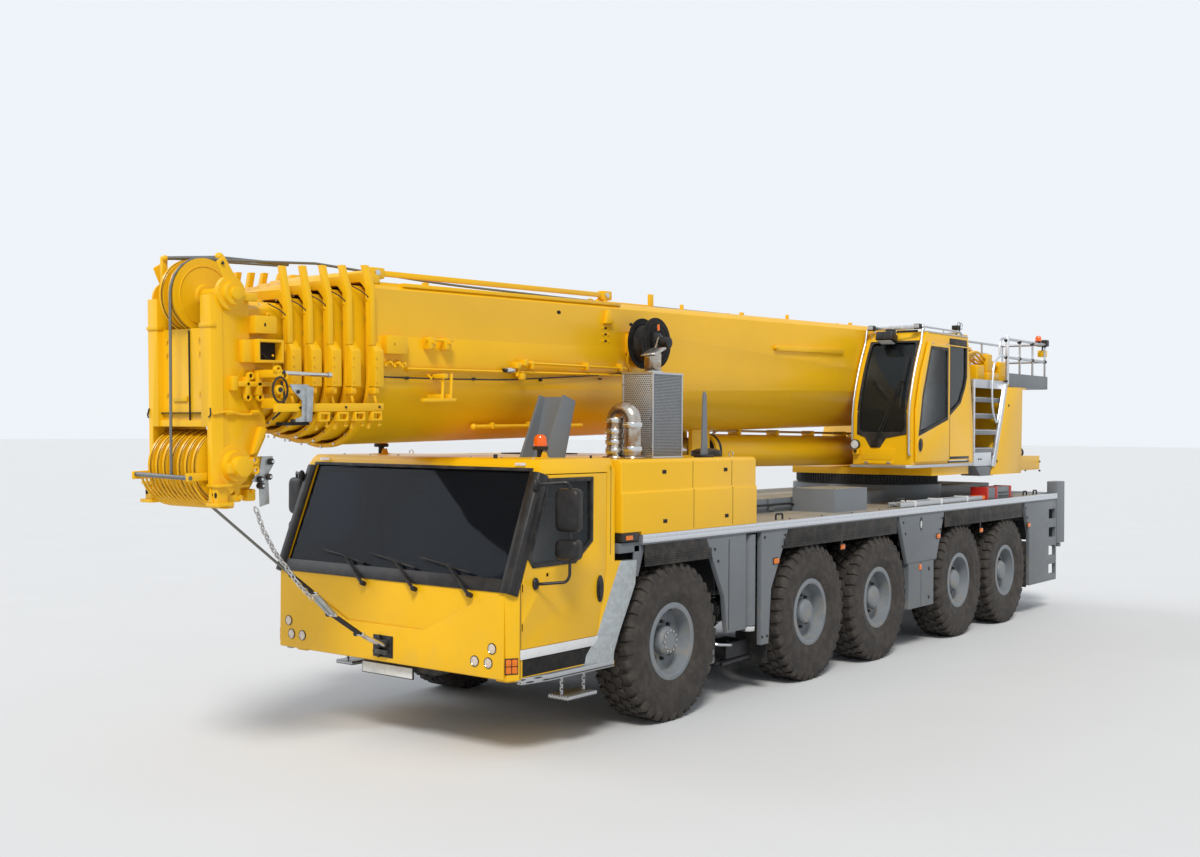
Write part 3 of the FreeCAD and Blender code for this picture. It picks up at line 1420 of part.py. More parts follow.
def boom_tube(name, index, rear, front):
    """One hollow boom section between two places along the boom."""
    half, bottom, top = section_sizes(index)
    wall = S.boom_wall
    outer = boom_outline(half, bottom, top, S.boom_corner)
    inner = boom_outline(half - wall, bottom + wall, top - wall, S.boom_corner)
    return prism(name, "XZ_Plane", [outer, inner], front, rear)


def collar(name, index, front):
    """The collar round a section's front end: its ring, ears, side boxes and top roller."""
    half, bottom, top = section_sizes(index)
    wall = S.boom_wall
    rise = S.collar_rise
    outer = boom_outline(half + 14, bottom - 20, top + rise, S.boom_corner)
    inner = boom_outline(half - wall, bottom + wall, top - wall, S.boom_corner)
    parts = [prism(f"{name}_ring", "XZ_Plane", [outer, inner], front, front + S.collar_length)]
    tip = S.boom_above_pivot + S.collar_ear_rise - 12 * index
    lean = S.collar_ear_lean
    knee = Length(200, "200")
    foot = Length(-130, "-130")
    for side_name, side in SIDES:
        bend = top - S.boom_corner - 10
        ear = [(side * (half + 2), knee), (side * (half + 52), knee), (side * (half + 48), bend),
               (side * (half + 48 - lean), tip), (side * (half + 2 - lean), tip), (side * (half + 2), bend)]
        parts.append(prism(f"{name}_ear_{side_name}", "XZ_Plane", [ear], front,
                           front + S.collar_ear_length))
        reach = half + S.collar_box_reach
        pocket = [(side * (half - 5), knee + 30), (side * (half + 20), knee + 30),
                  (side * reach, knee - 50), (side * reach, foot), (side * (half - 5), foot)]
        parts.append(prism(f"{name}_pocket_{side_name}", "XZ_Plane", [pocket], front + 5, front + 100))
    roller = S.collar_roller_radius
    parts.append(cylinder(f"{name}_roller", "X", roller, -half + 60, half - 60,
                          (front + S.collar_length + roller - 12, top + rise - 5)))
    return fuse(name, parts)


def on_boom(thing):
    """Place a sub-part modelled about the boom's pivot, with the boom's slope."""
    return place(thing, 0, station(S.boom_pivot_station), S.boom_pivot_height,
                 Rotation(Vector(1, 0, 0), number(S.boom_slope)))


def boom_base():
    """The boom's base section with its foot, its collar and the luffing bracket."""
    zero = Length(0, "0")
    tube = boom_tube("boom_base_tube", 0, -S.boom_tail, -S.boom_reach)
    parts = [tube, collar("boom_base_collar", 0, -S.boom_reach - 20)]
    half = S.boom_half_width
    top = S.boom_above_pivot
    bottom = S.boom_above_pivot - S.boom_height
    foot_view = [
        (-S.boom_tail - 500, bottom + half + 60), (-S.boom_tail, bottom + half - 100), (zero, -260 + zero),
        (Length(250, "250"), Length(-60, "-60")), (Length(250, "250"), Length(180, "180")),
        (Length(60, "60"), top), (-S.boom_tail - 500, top),
    ]
    bores = []
    for side_name, side in SIDES:
        parts.append(prism(f"boom_foot_{side_name}", "YZ_Plane", [foot_view],
                           *span(side, half - S.boom_wall, half + S.boom_foot_doubler)))
        parts.append(cylinder(f"boom_boss_{side_name}", "X", S.boom_pin_radius + 120,
                              *span(side, half - 130, half + S.boom_foot_doubler + 5), (zero, zero)))
    parts.append(box("boom_foot_back", (-half + 5, half - 5), (-S.boom_tail, -S.boom_tail + 40),
                     (bottom + half, top)))
    run = S.boom_pivot_station - S.luff_eye_station
    slope = math.radians(number(S.boom_slope))
    eye_y = -(math.cos(slope) * number(run) + math.sin(slope) * (number(S.boom_pivot_height) - number(luff_eye_height)))
    eye_z = math.sin(slope) * number(run) - math.cos(slope) * (number(S.boom_pivot_height) - number(luff_eye_height))
    ear_y = Length(eye_y, f"{eye_y:.4f}")
    ear_z = Length(eye_z, f"{eye_z:.4f}")
    for side_name, side in SIDES:
        parts.append(box(f"luff_ear_{side_name}",
                         span(side, S.luff_ear_offset, S.luff_ear_offset + S.luff_ear_thickness),
                         (ear_y - 180, ear_y + 180), (ear_z - 130, bottom + 26)))
    solid = fuse("boom_base_solid", parts)
    bores.append(cylinder("boom_foot_bore", "X", S.boom_pin_radius + S.fit_gap, -half - 50, half + 50,
                          (zero, zero)))
    return on_boom(cut("boom_base", solid, bores))


def slide_pads(name, index, rear):
    """The pads at a section's rear end, which slide on the inside of the next larger section."""
    half, bottom, top = section_sizes(index)
    outer_half, outer_bottom, outer_top = section_sizes(index - 1)
    reach = outer_half - S.boom_wall - S.fit_gap
    ceiling = outer_top - S.boom_wall - S.fit_gap
    ends = (rear - S.pad_length, rear)
    height = (bottom + half + 80, bottom + half + 80 + S.pad_length)
    pads = [box(f"{name}_pad_top", (-S.pad_length / 2, S.pad_length / 2), ends, (top - 5, ceiling))]
    for side_name, side in SIDES:
        pads.append(box(f"{name}_pad_{side_name}", span(side, half - 5, reach), ends, height))
    return pads


def tele_section(index):
    """One telescopic section: its tube and, apart from the last, its collar."""
    name = f"tele_{index}"
    front = -S.boom_reach - S.collar_pitch * index - 40
    rear = -S.boom_tail - 80 - S.section_tail_step * index
    if index < TELE_SECTIONS:
        tube = boom_tube(f"{name}_tube", index, rear, front)
        front_collar = collar(f"{name}_collar", index, front - 20)
        return on_boom(fuse(name, [tube, front_collar] + slide_pads(name, index, rear)))
    tube = boom_tube(f"{name}_tube", index, rear, -head_front_reach + 250)
    return on_boom(fuse(name, [tube] + slide_pads(name, index, rear) + boom_head()))


def sheave(name, radius, x, spot):
    """One rope sheave with its groove, at a place along its shaft."""
    half = S.sheave_width / 2
    floor = radius - S.sheave_groove
    wheel = turned(name, [(-half, 0), (half, 0), (half, radius), (half / 3, floor), (-half / 3, floor),
                          (-half, radius)])
    return place(wheel, x, *spot)


def boom_head():
    """The boom's head: side plates, front columns, panel, feet, sheaves and their shafts."""
    half, bottom, top = section_sizes(TELE_SECTIONS)
    front = -head_front_reach
    crown = top + 25
    upper = (front + S.head_sheave_setback, top + 40)
    lower = (upper[0] + 20, upper[1] - S.head_drop)
    low = lower[1] - S.head_foot_drop
    plate_view = [
        (front, crown), (front + 300, crown), (front + 305, crown - 305), (front + 445, bottom),
        (front + 445, bottom - 115), (front + 268, bottom - 430), (front + 34, low + 15), (front, low + 15),
    ]
    face = front - S.head_face_setback
    panel_low = lower[1] + S.lower_sheave_radius + 25
    panel_high = upper[1] - S.sheave_radius + 30
    edge = half + S.head_plate - 5
    column_near = edge - S.head_column
    parts = [box("head_panel", (-column_near - 5, column_near + 5), (front + 5, front + 30),
                 (panel_low, panel_high)),
             box("head_panel_lip", (-column_near - 5, column_near + 5), (front - 30, front + 10),
                 (panel_low, panel_low + 45))]
    for side_name, side in SIDES:
        parts.append(prism(f"head_plate_{side_name}", "YZ_Plane", [plate_view],
                           *span(side, half - 12, half - 12 + S.head_plate)))
        parts.append(box(f"head_column_{side_name}", span(side, column_near, edge), (face, front + 60),
                         (panel_low, crown)))
        parts.append(box(f"head_leg_{side_name}", span(side, edge - 52, edge), (face, front + 60),
                         (low + 140, panel_low + 5)))
        parts.append(box(f"head_foot_{side_name}", span(side, edge - 50, edge + 100),
                         (face - 20, front + 70), (low, low + 25)))
        parts.append(box(f"head_foot_neck_{side_name}", span(side, edge - 45, edge + 60),
                         (face, front + 45), (low + 20, low + 145)))
        parts.append(box(f"head_foot_cap_{side_name}", span(side, edge - 50, edge + 90),
                         (face - 15, front + 65), (low + 140, low + 160)))
        parts.append(cylinder(f"head_boss_{side_name}", "X", Length(112, "112"),
                              *span(side, half, edge + 35), lower))
    shaft = half + S.head_column
    parts.append(cylinder("head_shaft_upper", "X", Length(48, "48"), -shaft, shaft, upper))
    parts.append(cylinder("head_shaft_lower", "X", Length(75, "75"), -shaft - 30, shaft + 30, lower))
    for count in range(7):
        parts.append(sheave(f"lower_sheave_{count}", S.lower_sheave_radius, (count - 3) * S.sheave_pitch,
                            lower))
    for count, turn in enumerate((-0.6, 0.6)):
        parts.append(sheave(f"upper_sheave_{count}", S.sheave_radius, turn * S.sheave_pitch, upper))
    return parts


# Build every sub-part

for axle_number in range(1, len(AXLES) + 1):
    for side_name, side in SIDES:
        node(f"tyre_{axle_number}_{side_name}", tyre(axle_number, side_name, side))
        node(f"rim_{axle_number}_{side_name}", rim(axle_number, side_name, side))
        if axle_number in STEERED:
            node(f"knuckle_{axle_number}_{side_name}", knuckle(axle_number, side_name, side))
node("axle_beams", axle_beams())
node("chassis_frame", chassis_frame())
node("deck", deck())
for end, jack_station, lift, rod_length in OUTRIGGERS:
    for side_name, side in SIDES:
        node(f"outrigger_beam_{end}_{side_name}", outrigger_beam(end, side_name, side, jack_station, lift))
        node(f"outrigger_jack_{end}_{side_name}",
             outrigger_jack(end, side_name, side, jack_station, lift, rod_length))
node("driver_cab_shell", driver_cab_shell())
node("driver_cab_glass", driver_cab_glass())
node("driver_cab_interior", driver_cab_interior())
for side_name, side in SIDES:
    node(f"driver_door_{side_name}", driver_door(side_name, side))
node("engine_block", engine_block())
node("engine_cover", engine_cover())
node("exhaust_stack", exhaust_stack())
node("turntable", turntable())
node("winch_drum", winch_drum())
node("crane_cab_shell", crane_cab_shell())
node("crane_cab_door", crane_cab_door())
node("crane_cab_glass", crane_cab_glass())
node("luff_barrel", luff_barrel())
node("luff_rod", luff_rod())
node("boom_base", boom_base())
for section in range(1, TELE_SECTIONS + 1):
    node(f"tele_{section}", tele_section(section))
doc.recompute()

# Check the document, then write one file for each sub-part

for thing in doc.Objects:
    if "Invalid" in thing.State or "Error" in thing.State:
        raise RuntimeError(f"{thing.Name} ({thing.Label}) failed: {thing.State}")
os.makedirs("parts", exist_ok=True)
for name, thing in nodes.items():
    if thing.Shape.isNull() or not thing.Shape.isValid():
        raise RuntimeError(f"{name} has no valid shape")
    thing.Shape.exportStep(f"parts/{name}.step")
print(f"{len(nodes)} sub-parts written")
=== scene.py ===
"""The looks of a five-axle mobile crane with its boom lowered for the road.

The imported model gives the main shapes. This file dresses them with paint, glass, tyres, lamps,
rails, pipes, ropes and fittings, and sets the camera, the lamps and the floor. Everything is in
metres in the crane's own frame: +Z is up, the driver's cab faces -Y, and +X is its left side.
"""

from __future__ import annotations

import json
import logging
import math
from collections.abc import Callable, Iterable, Sequence
from dataclasses import dataclass
from enum import Enum

import bmesh
import bpy
from mathutils import Matrix, Vector

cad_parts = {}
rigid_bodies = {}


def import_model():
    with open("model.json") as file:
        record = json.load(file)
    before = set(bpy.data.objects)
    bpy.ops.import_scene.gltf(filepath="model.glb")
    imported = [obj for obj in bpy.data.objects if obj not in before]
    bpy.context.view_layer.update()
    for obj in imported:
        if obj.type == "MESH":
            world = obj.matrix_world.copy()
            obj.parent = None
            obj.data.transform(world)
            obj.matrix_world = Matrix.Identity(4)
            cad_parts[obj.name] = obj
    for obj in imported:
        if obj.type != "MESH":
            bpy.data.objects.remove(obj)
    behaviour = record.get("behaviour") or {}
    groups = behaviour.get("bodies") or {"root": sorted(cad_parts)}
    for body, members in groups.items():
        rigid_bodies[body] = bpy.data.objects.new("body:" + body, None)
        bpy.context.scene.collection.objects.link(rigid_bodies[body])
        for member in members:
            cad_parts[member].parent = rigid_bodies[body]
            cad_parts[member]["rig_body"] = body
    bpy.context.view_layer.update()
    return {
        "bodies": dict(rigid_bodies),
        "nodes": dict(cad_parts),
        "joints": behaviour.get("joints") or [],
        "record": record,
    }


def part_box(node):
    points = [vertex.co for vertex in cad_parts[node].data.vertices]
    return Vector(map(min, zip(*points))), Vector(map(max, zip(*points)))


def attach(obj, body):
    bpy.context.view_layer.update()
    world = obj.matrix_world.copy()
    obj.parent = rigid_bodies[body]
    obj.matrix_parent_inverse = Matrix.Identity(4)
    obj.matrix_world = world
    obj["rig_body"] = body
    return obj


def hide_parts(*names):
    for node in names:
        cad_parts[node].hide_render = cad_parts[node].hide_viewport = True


log = logging.getLogger("crane")

Point = tuple[float, float, float]
Flat = tuple[float, float]
Colour = tuple[float, float, float]
Chooser = Callable[[Vector, Vector], int]
Placer = Callable[[float, float, float], Point]
Table = Sequence[tuple]

FIRST_AXLE_Y = -3.12796
SIDES = (("left", 1.0), ("right", -1.0))


def station(distance: float) -> float:
    """The y of a place that lies a distance behind the first axle."""
    return FIRST_AXLE_Y + distance


def plain(x: float, y: float, z: float) -> Point:
    """A point by its own coordinates."""
    return x, y, z


def at(x: float, distance: float, height: float) -> Point:
    """A point by its distance behind the first axle."""
    return x, station(distance), height


def paint_colour(red: int, green: int, blue: int) -> Colour:
    """A linear colour from the screen values of a swatch.

    Args:
        red: Screen value, 0 to 255.
        green: Screen value, 0 to 255.
        blue: Screen value, 0 to 255.

    Returns:
        The same colour in linear values.
    """
    levels = []
    for value in (red, green, blue):
        share = value / 255.0
        levels.append(share / 12.92 if share <= 0.04045 else ((share + 0.055) / 1.055) ** 2.4)
    return levels[0], levels[1], levels[2]


class Axis(Enum):
    """A direction of the crane's frame."""

    X = "x"
    Y = "y"
    Z = "z"

    def turn(self) -> Matrix:
        """The rotation that lays an upright shape along this direction.

        Returns:
            The rotation.
        """
        if self is Axis.X:
            return Matrix.Rotation(math.pi / 2, 4, "Y")
        if self is Axis.Y:
            return Matrix.Rotation(-math.pi / 2, 4, "X")
        return Matrix.Identity(4)


# Finishes


def add_node(tree: bpy.types.NodeTree, kind: str, settings: dict[str, object],
             values: dict[str | int, Wire | float | Sequence[float]]) -> bpy.types.Node:
    """Add a node to a tree.

    Args:
        tree: The node tree.
        kind: The node's type.
        settings: Its properties, which are set first.
        values: What its sockets are given, by their names or places.

    Returns:
        The node.
    """
    node = tree.nodes.new(kind)
    for name, value in settings.items():
        setattr(node, name, value)
    for name, value in values.items():
        feed(tree, value, node.inputs[name])
    return node


class Wire:
    """One value in a node tree, which joins others by plain arithmetic."""

    def __init__(self, tree: bpy.types.NodeTree, socket: bpy.types.NodeSocket) -> None:
        """Hold a socket of a tree."""
        self.tree = tree
        self.socket = socket

    def join(self, operation: str, *others: Wire | float) -> Wire:
        """Join this value to others with one Math node.

        Args:
            operation: The Math node's operation.
            others: The node's second and third values.

        Returns:
            The result.
        """
        values = dict(enumerate((self, *others)))
        node = add_node(self.tree, "ShaderNodeMath", {"operation": operation}, values)
        return Wire(self.tree, node.outputs[0])

    def __add__(self, other: Wire | float) -> Wire:
        """The sum of two values."""
        return self.join("ADD", other)

    def __radd__(self, other: float) -> Wire:
        """The sum of a number and this value."""
        return self.join("ADD", other)

    def __sub__(self, other: Wire | float) -> Wire:
        """The difference of two values."""
        return self.join("SUBTRACT", other)

    def __rsub__(self, other: float) -> Wire:
        """A number less this value."""
        return self.join("MULTIPLY_ADD", -1.0, other)

    def __mul__(self, other: Wire | float) -> Wire:
        """The product of two values."""
        return self.join("MULTIPLY", other)

    def __rmul__(self, other: float) -> Wire:
        """The product of a number and this value."""
        return self.join("MULTIPLY", other)

    def __truediv__(self, other: Wire | float) -> Wire:
        """The quotient of two values."""
        return self.join("DIVIDE", other)

    def fraction(self) -> Wire:
        """The part after the point."""
        return self.join("FRACT")

    def between(self, low: float, high: float) -> Wire:
        """A smooth rise from 0 to 1.

        Args:
            low: Where it leaves 0.
            high: Where it reaches 1.

        Returns:
            The risen value.
        """
        node = add_node(self.tree, "ShaderNodeMapRange", {"interpolation_type": "SMOOTHSTEP"},
                        {"Value": self, "From Min": low, "From Max": high})
        return Wire(self.tree, node.outputs["Result"])

    def paint(self, low: Wire | Colour, high: Wire | Colour) -> Wire:
        """A colour between two others.

        Args:
            low: The colour where this value is 0.
            high: The colour where this value is 1.

        Returns:
            The mixed colour.
        """
        node = add_node(self.tree, "ShaderNodeMix", {"data_type": "RGBA"}, {"Factor": self, 6: low, 7: high})
        return Wire(self.tree, node.outputs[2])


def feed(tree: bpy.types.NodeTree, value: Wire | float | Sequence[float],
         socket: bpy.types.NodeSocket) -> None:
    """Give a socket its value, by a link or as a number.

    Args:
        tree: The tree that the socket is in.
        value: A wire, a number, or a colour of three numbers.
        socket: The socket that takes it.
    """
    if isinstance(value, Wire):
        tree.links.new(value.socket, socket)
    elif isinstance(value, (int, float)):
        socket.default_value = value
    elif len(value) == 3 and len(socket.default_value) == 4:
        socket.default_value = (*value, 1.0)
    else:
        socket.default_value = value


class Graph:
    """The node tree of one material, with its shader and its textures in metres."""

    def __init__(self, name: str) -> None:
        """Make the material and keep its shader.

        Args:
            name: The material's name.
        """
        self.material = bpy.data.materials.new(name)
        self.material.use_nodes = True
        self.tree = self.material.node_tree
        self.shader = self.tree.nodes["Principled BSDF"]
        places = add_node(self.tree, "ShaderNodeTexCoord", {}, {})
        self.place = Wire(self.tree, places.outputs["Object"])

    def mapped(self, stretch: Point = (1, 1, 1)) -> Wire:
        """The place on the piece, stretched along each direction."""
        node = add_node(self.tree, "ShaderNodeMapping", {}, {"Vector": self.place, "Scale": stretch})
        return Wire(self.tree, node.outputs["Vector"])

    def part_of(self, vector: Wire, axis: Axis) -> Wire:
        """One coordinate of a place."""
        node = add_node(self.tree, "ShaderNodeSeparateXYZ", {}, {0: vector})
        return Wire(self.tree, node.outputs[axis.value.upper()])

    def height(self) -> Wire:
        """The height above the ground."""
        return self.part_of(self.mapped(), Axis.Z)

    def noise(self, scale: float, detail: float = 4.0, stretch: Point = (1, 1, 1),
              rough: float = 0.55) -> Wire:
        """A cloudy value from 0 to 1.

        Args:
            scale: How fine the clouds are, per metre.
            detail: How many finer layers are added.
            stretch: A stretch of the place first.
            rough: How strong the finer layers are.

        Returns:
            The value.
        """
        values = {"Scale": scale, "Detail": detail, "Roughness": rough, "Vector": self.mapped(stretch)}
        node = add_node(self.tree, "ShaderNodeTexNoise", {}, values)
        return Wire(self.tree, node.outputs["Fac"])

    def cells(self, scale: float) -> Wire:
        """A value by random cells, such as the spangle of zinc."""
        node = add_node(self.tree, "ShaderNodeTexVoronoi", {}, {"Scale": scale, "Vector": self.mapped()})
        return Wire(self.tree, node.outputs["Distance"])

    def bump(self, height: Wire, distance: float, strength: float = 1.0) -> None:
        """Raise the surface by a height value.

        Args:
            height: The value that is the relief.
            distance: The relief in metres.
            strength: How much of it shows.
        """
        values = {"Strength": strength, "Distance": distance, "Height": height}
        last = self.shader.inputs["Normal"]
        if last.links:
            values["Normal"] = Wire(self.tree, last.links[0].from_socket)
        self.tree.links.new(add_node(self.tree, "ShaderNodeBump", {}, values).outputs["Normal"], last)

    def set(self, **values: Wire | float | Sequence[float]) -> None:
        """Set the shader's sockets by their names, with _ for a space."""
        for name, value in values.items():
            feed(self.tree, value, self.shader.inputs[name.replace("_", " ")])


MADE: dict[str, bpy.types.Material] = {}


class Finish:
    """A surface finish, whose material is made once and then shared."""

    name: str
    slot: str

    def draw(self, graph: Graph) -> None:
        """Set up the material's nodes."""
        raise NotImplementedError

    def material(self) -> bpy.types.Material:
        """The finish's material.

        Returns:
            The material.
        """
        if self.name not in MADE:
            graph = Graph(self.name)
            self.draw(graph)
            MADE[self.name] = graph.material
        return MADE[self.name]


@dataclass(frozen=True)
class Paint(Finish):
    """Sprayed paint with a faint orange peel, road dust low down and small scuffs."""

    name: str
    slot: str
    colour: Colour
    dust: Colour = (0.30, 0.26, 0.20)
    dust_share: float = 0.35
    roughness: float = 0.34
    coat: float = 0.12
    shade: float = 0.90

    def draw(self, graph: Graph) -> None:
        """Set up the paint's nodes.

        Args:
            graph: The material's node tree.
        """
        deep = tuple(part * self.shade for part in self.colour)
        cloud = graph.noise(0.9, 5.0).between(0.35, 0.65)
        base = cloud.paint(deep, self.colour)
        low = graph.height().between(1.5, 0.5)
        film = graph.noise(6.0, 8.0, rough=0.7).between(0.45, 0.72)
        dusty = (low * film * self.dust_share) + film * (self.dust_share * 0.12)
        scuffs = graph.noise(55.0, 3.0, stretch=(1, 1, 0.25)).between(0.74, 0.80) * 0.25
        graph.set(Base_Color=(dusty + scuffs).paint(base, self.dust), Metallic=0.0,
                  Roughness=dusty * 0.6 + graph.noise(14.0, 3.0) * 0.08 + (self.roughness - 0.04),
                  Coat_Weight=self.coat, Coat_Roughness=0.12, IOR=1.33)
        graph.bump(graph.noise(260.0, 2.0), 0.0004, 0.35)
        graph.bump(graph.noise(1.6, 2.0), 0.004, 0.25)


@dataclass(frozen=True)
class Metal(Finish):
    """Bare metal: brushed, rolled or zinc-dipped, with a spangle when it is zinc."""

    name: str
    slot: str
    colour: Colour
    roughness: float = 0.35
    brush: Point = (1.0, 1.0, 40.0)
    spangle: float = 0.0
    tint: Colour | None = None

    def draw(self, graph: Graph) -> None:
        """Set up the metal's nodes.

        Args:
            graph: The material's node tree.
        """
        streak = graph.noise(18.0, 5.0, stretch=self.brush)
        dull = tuple(part * 0.72 for part in self.colour)
        base = streak.between(0.25, 0.75).paint(dull, self.colour)
        if self.tint is not None:
            heat = graph.noise(7.0, 4.0).between(0.40, 0.62)
            base = (heat * 0.75).paint(base, self.tint)
        if self.spangle > 0.0:
            zinc = graph.cells(70.0).between(0.0, 0.7)
            base = (zinc * self.spangle).paint(base, tuple(part * 0.55 for part in self.colour))
        graph.set(Base_Color=base, Metallic=0.92,
                  Roughness=streak * 0.18 + (self.roughness - 0.09))
        graph.bump(streak, 0.0004, 0.4)


@dataclass(frozen=True)
class Rubber(Finish):
    """Dull rubber or moulded plastic with fine grain and dust in its hollows."""

    name: str
    slot: str
    colour: Colour
    dust: Colour = (0.16, 0.13, 0.10)
    dust_share: float = 0.5
    roughness: float = 0.72
    grain: float = 220.0

    def draw(self, graph: Graph) -> None:
        """Set up the rubber's nodes.

        Args:
            graph: The material's node tree.
        """
        film = graph.noise(9.0, 8.0, rough=0.68).between(0.38, 0.70)
        graph.set(Base_Color=(film * self.dust_share).paint(self.colour, self.dust),
                  Roughness=graph.noise(30.0, 3.0) * 0.14 + (self.roughness - 0.07),
                  Specular_IOR_Level=0.35)
        graph.bump(graph.noise(self.grain, 3.0), 0.0005, 0.25)


@dataclass(frozen=True)
class Pane(Finish):
    """Tinted glass with a faint film of dust."""

    name: str
    slot: str = "glass"
    colour: Colour = (0.10, 0.125, 0.14)
    roughness: float = 0.02
    clear: float = 0.9
    shine: float = 0.42
    index: float = 1.30

    def draw(self, graph: Graph) -> None:
        """Set up the glass's nodes.

        Args:
            graph: The material's node tree.
        """
        film = graph.noise(5.0, 6.0).between(0.4, 0.8) * 0.05
        graph.set(Base_Color=self.colour, Roughness=film + self.roughness,
                  Transmission_Weight=self.clear, IOR=self.index, Specular_IOR_Level=self.shine)


@dataclass(frozen=True)
class Lens(Finish):
    """A coloured or clear lamp lens with moulded ribs."""

    name: str
    colour: Colour
    slot: str = "glass"
    clear: float = 0.35
    ribs: float = 160.0

    def draw(self, graph: Graph) -> None:
        """Set up the lens's nodes.

        Args:
            graph: The material's node tree.
        """
        ribs = graph.part_of(graph.mapped((self.ribs, 1, 1)), Axis.X).join("SINE")
        rows = graph.part_of(graph.mapped((1, 1, self.ribs)), Axis.Z).join("SINE")
        graph.set(Base_Color=graph.noise(20.0).paint(tuple(part * 0.8 for part in self.colour), self.colour),
                  Roughness=0.12, Transmission_Weight=self.clear, IOR=1.5,
                  Emission_Color=self.colour, Emission_Strength=0.12)
        graph.bump(ribs + rows, 0.0015, 0.5)


@dataclass(frozen=True)
class Perforated(Finish):
    """Thin sheet metal with staggered round holes, near-black where they are: painted shade."""

    name: str
    slot: str
    colour: Colour
    pitch: float = 0.022
    hole: float = 0.34
    across: Axis = Axis.X

    def draw(self, graph: Graph) -> None:
        """Set up the sheet's nodes.

        Args:
            graph: The material's node tree.
        """
        place = graph.mapped()
        run = graph.part_of(place, self.across) / self.pitch
        rise = graph.part_of(place, Axis.Z) / (self.pitch * 0.866)
        row = rise.join("FLOOR")
        shift = (row * 0.5).fraction()
        first = (run + shift).fraction() - 0.5
        second = rise.fraction() - 0.5
        gap = (first * first + second * second).join("SQRT")
        solid = gap.between(self.hole - 0.06, self.hole + 0.06)
        metal = graph.noise(12.0, 5.0).paint(tuple(part * 0.8 for part in self.colour), self.colour)
        # Near-black in the holes: painted shade for what lies behind the sheet.
        graph.set(Base_Color=solid.paint((0.012, 0.012, 0.012), metal), Metallic=solid * 0.85,
                  Roughness=graph.noise(40.0) * 0.2 + 0.32)
        graph.bump(solid, 0.002, 0.8)


@dataclass(frozen=True)
class TreadPlate(Finish):
    """Walking plate with raised bars that lie alternately across each other, worn and dusty."""

    name: str
    slot: str
    colour: Colour
    pitch: float = 0.034

    def draw(self, graph: Graph) -> None:
        """Set up the plate's nodes.

        Args:
            graph: The material's node tree.
        """
        place = graph.mapped()
        first = graph.part_of(place, Axis.X) / self.pitch
        second = graph.part_of(place, Axis.Y) / self.pitch
        parity = ((first.join("FLOOR") + second.join("FLOOR")) * 0.5).fraction() * 2.0
        run = first.fraction() - 0.5
        rise = second.fraction() - 0.5
        falling = (run + rise) * 0.7071
        rising = (run - rise) * 0.7071
        long_way = falling + (rising - falling) * parity
        short_way = rising + (falling - rising) * parity
        oval = long_way * long_way * 7.0 + short_way * short_way * 60.0
        bar = oval.between(1.0, 0.55)
        film = graph.noise(3.0, 8.0, rough=0.7).between(0.3, 0.75)
        dark = tuple(part * 0.6 for part in self.colour)
        graph.set(Base_Color=(film * 0.7 + bar * 0.3).paint(dark, self.colour), Metallic=0.25,
                  Roughness=film * 0.2 + 0.5)
        graph.bump(bar, 0.003, 0.9)


YELLOW = Paint("crane yellow paint", "body_yellow", paint_colour(240, 185, 18), dust_share=0.10, shade=0.95)
GREY = Paint("frame grey paint", "frame_grey", paint_colour(112, 117, 122), roughness=0.5, coat=0.1)
RIM_GREY = Paint("rim grey paint", "rim_grey", paint_colour(122, 128, 134), roughness=0.45, coat=0.1,
                 dust_share=0.6)
# Dark paint for axles and other dark parts; on the frame's low inner faces it is painted shade.
DARK = Paint("dark paint and painted frame shade", "frame_grey", paint_colour(52, 54, 56), roughness=0.6, coat=0.0,
             dust_share=0.5)
WHITE = Paint("white stripe", "body_yellow", paint_colour(222, 224, 226), roughness=0.4, dust_share=0.25)
RED = Paint("red stripe", "body_yellow", paint_colour(178, 40, 32), roughness=0.4, dust_share=0.2)
TYRE = Rubber("tyre rubber", "tyre", paint_colour(50, 46, 43), dust=paint_colour(92, 84, 76), dust_share=0.4)
RUBBER = Rubber("black rubber", "interior", paint_colour(30, 30, 31), dust_share=0.3, roughness=0.6)
PLASTIC = Rubber("black moulded plastic", "interior", paint_colour(24, 24, 26), dust_share=0.12,
                 roughness=0.42, grain=420.0)
SEAT = Rubber("seat cloth", "interior", paint_colour(58, 60, 66), dust_share=0.1, roughness=0.9,
              grain=500.0)
IRON = Rubber("engine casting", "engine_iron", paint_colour(70, 70, 68), dust_share=0.4)
STEEL = Metal("polished rod steel", "jack_steel", (0.72, 0.72, 0.72), roughness=0.18)
ZINC = Metal("dipped zinc", "frame_grey", paint_colour(196, 201, 202), roughness=0.5,
             brush=(1, 1, 1), spangle=0.35)
ALLOY = Metal("brushed light alloy", "stainless", paint_colour(205, 207, 210), roughness=0.36)
STAINLESS = Metal("stainless pipe", "stainless", paint_colour(196, 190, 180), roughness=0.24,
                  brush=(1, 1, 6), tint=paint_colour(148, 112, 72))
ROPE = Metal("wire rope", "jack_steel", paint_colour(136, 136, 132), roughness=0.5, brush=(30, 30, 30))
HOLED = Perforated("perforated guard front", "stainless", paint_colour(196, 198, 200))
HOLED_SIDE = Perforated("perforated guard side", "stainless", paint_colour(172, 174, 176), pitch=0.016,
                        hole=0.40, across=Axis.Y)
DECKING = TreadPlate("walking plate", "frame_grey", paint_colour(176, 170, 156))
CAB_GLASS = Pane("cab glass")
SCREEN_GLASS = Pane("screen glass", colour=(0.045, 0.065, 0.10), shine=0.3, index=1.17)
CLEAR = Lens("clear lens", (0.85, 0.87, 0.88), clear=0.6)
AMBER = Lens("amber lens", paint_colour(255, 132, 12))
RED_LENS = Lens("red lens", paint_colour(196, 20, 16))
TRIM = Rubber("cab lining", "interior", paint_colour(74, 76, 78), dust_share=0.1, roughness=0.7, grain=300.0)
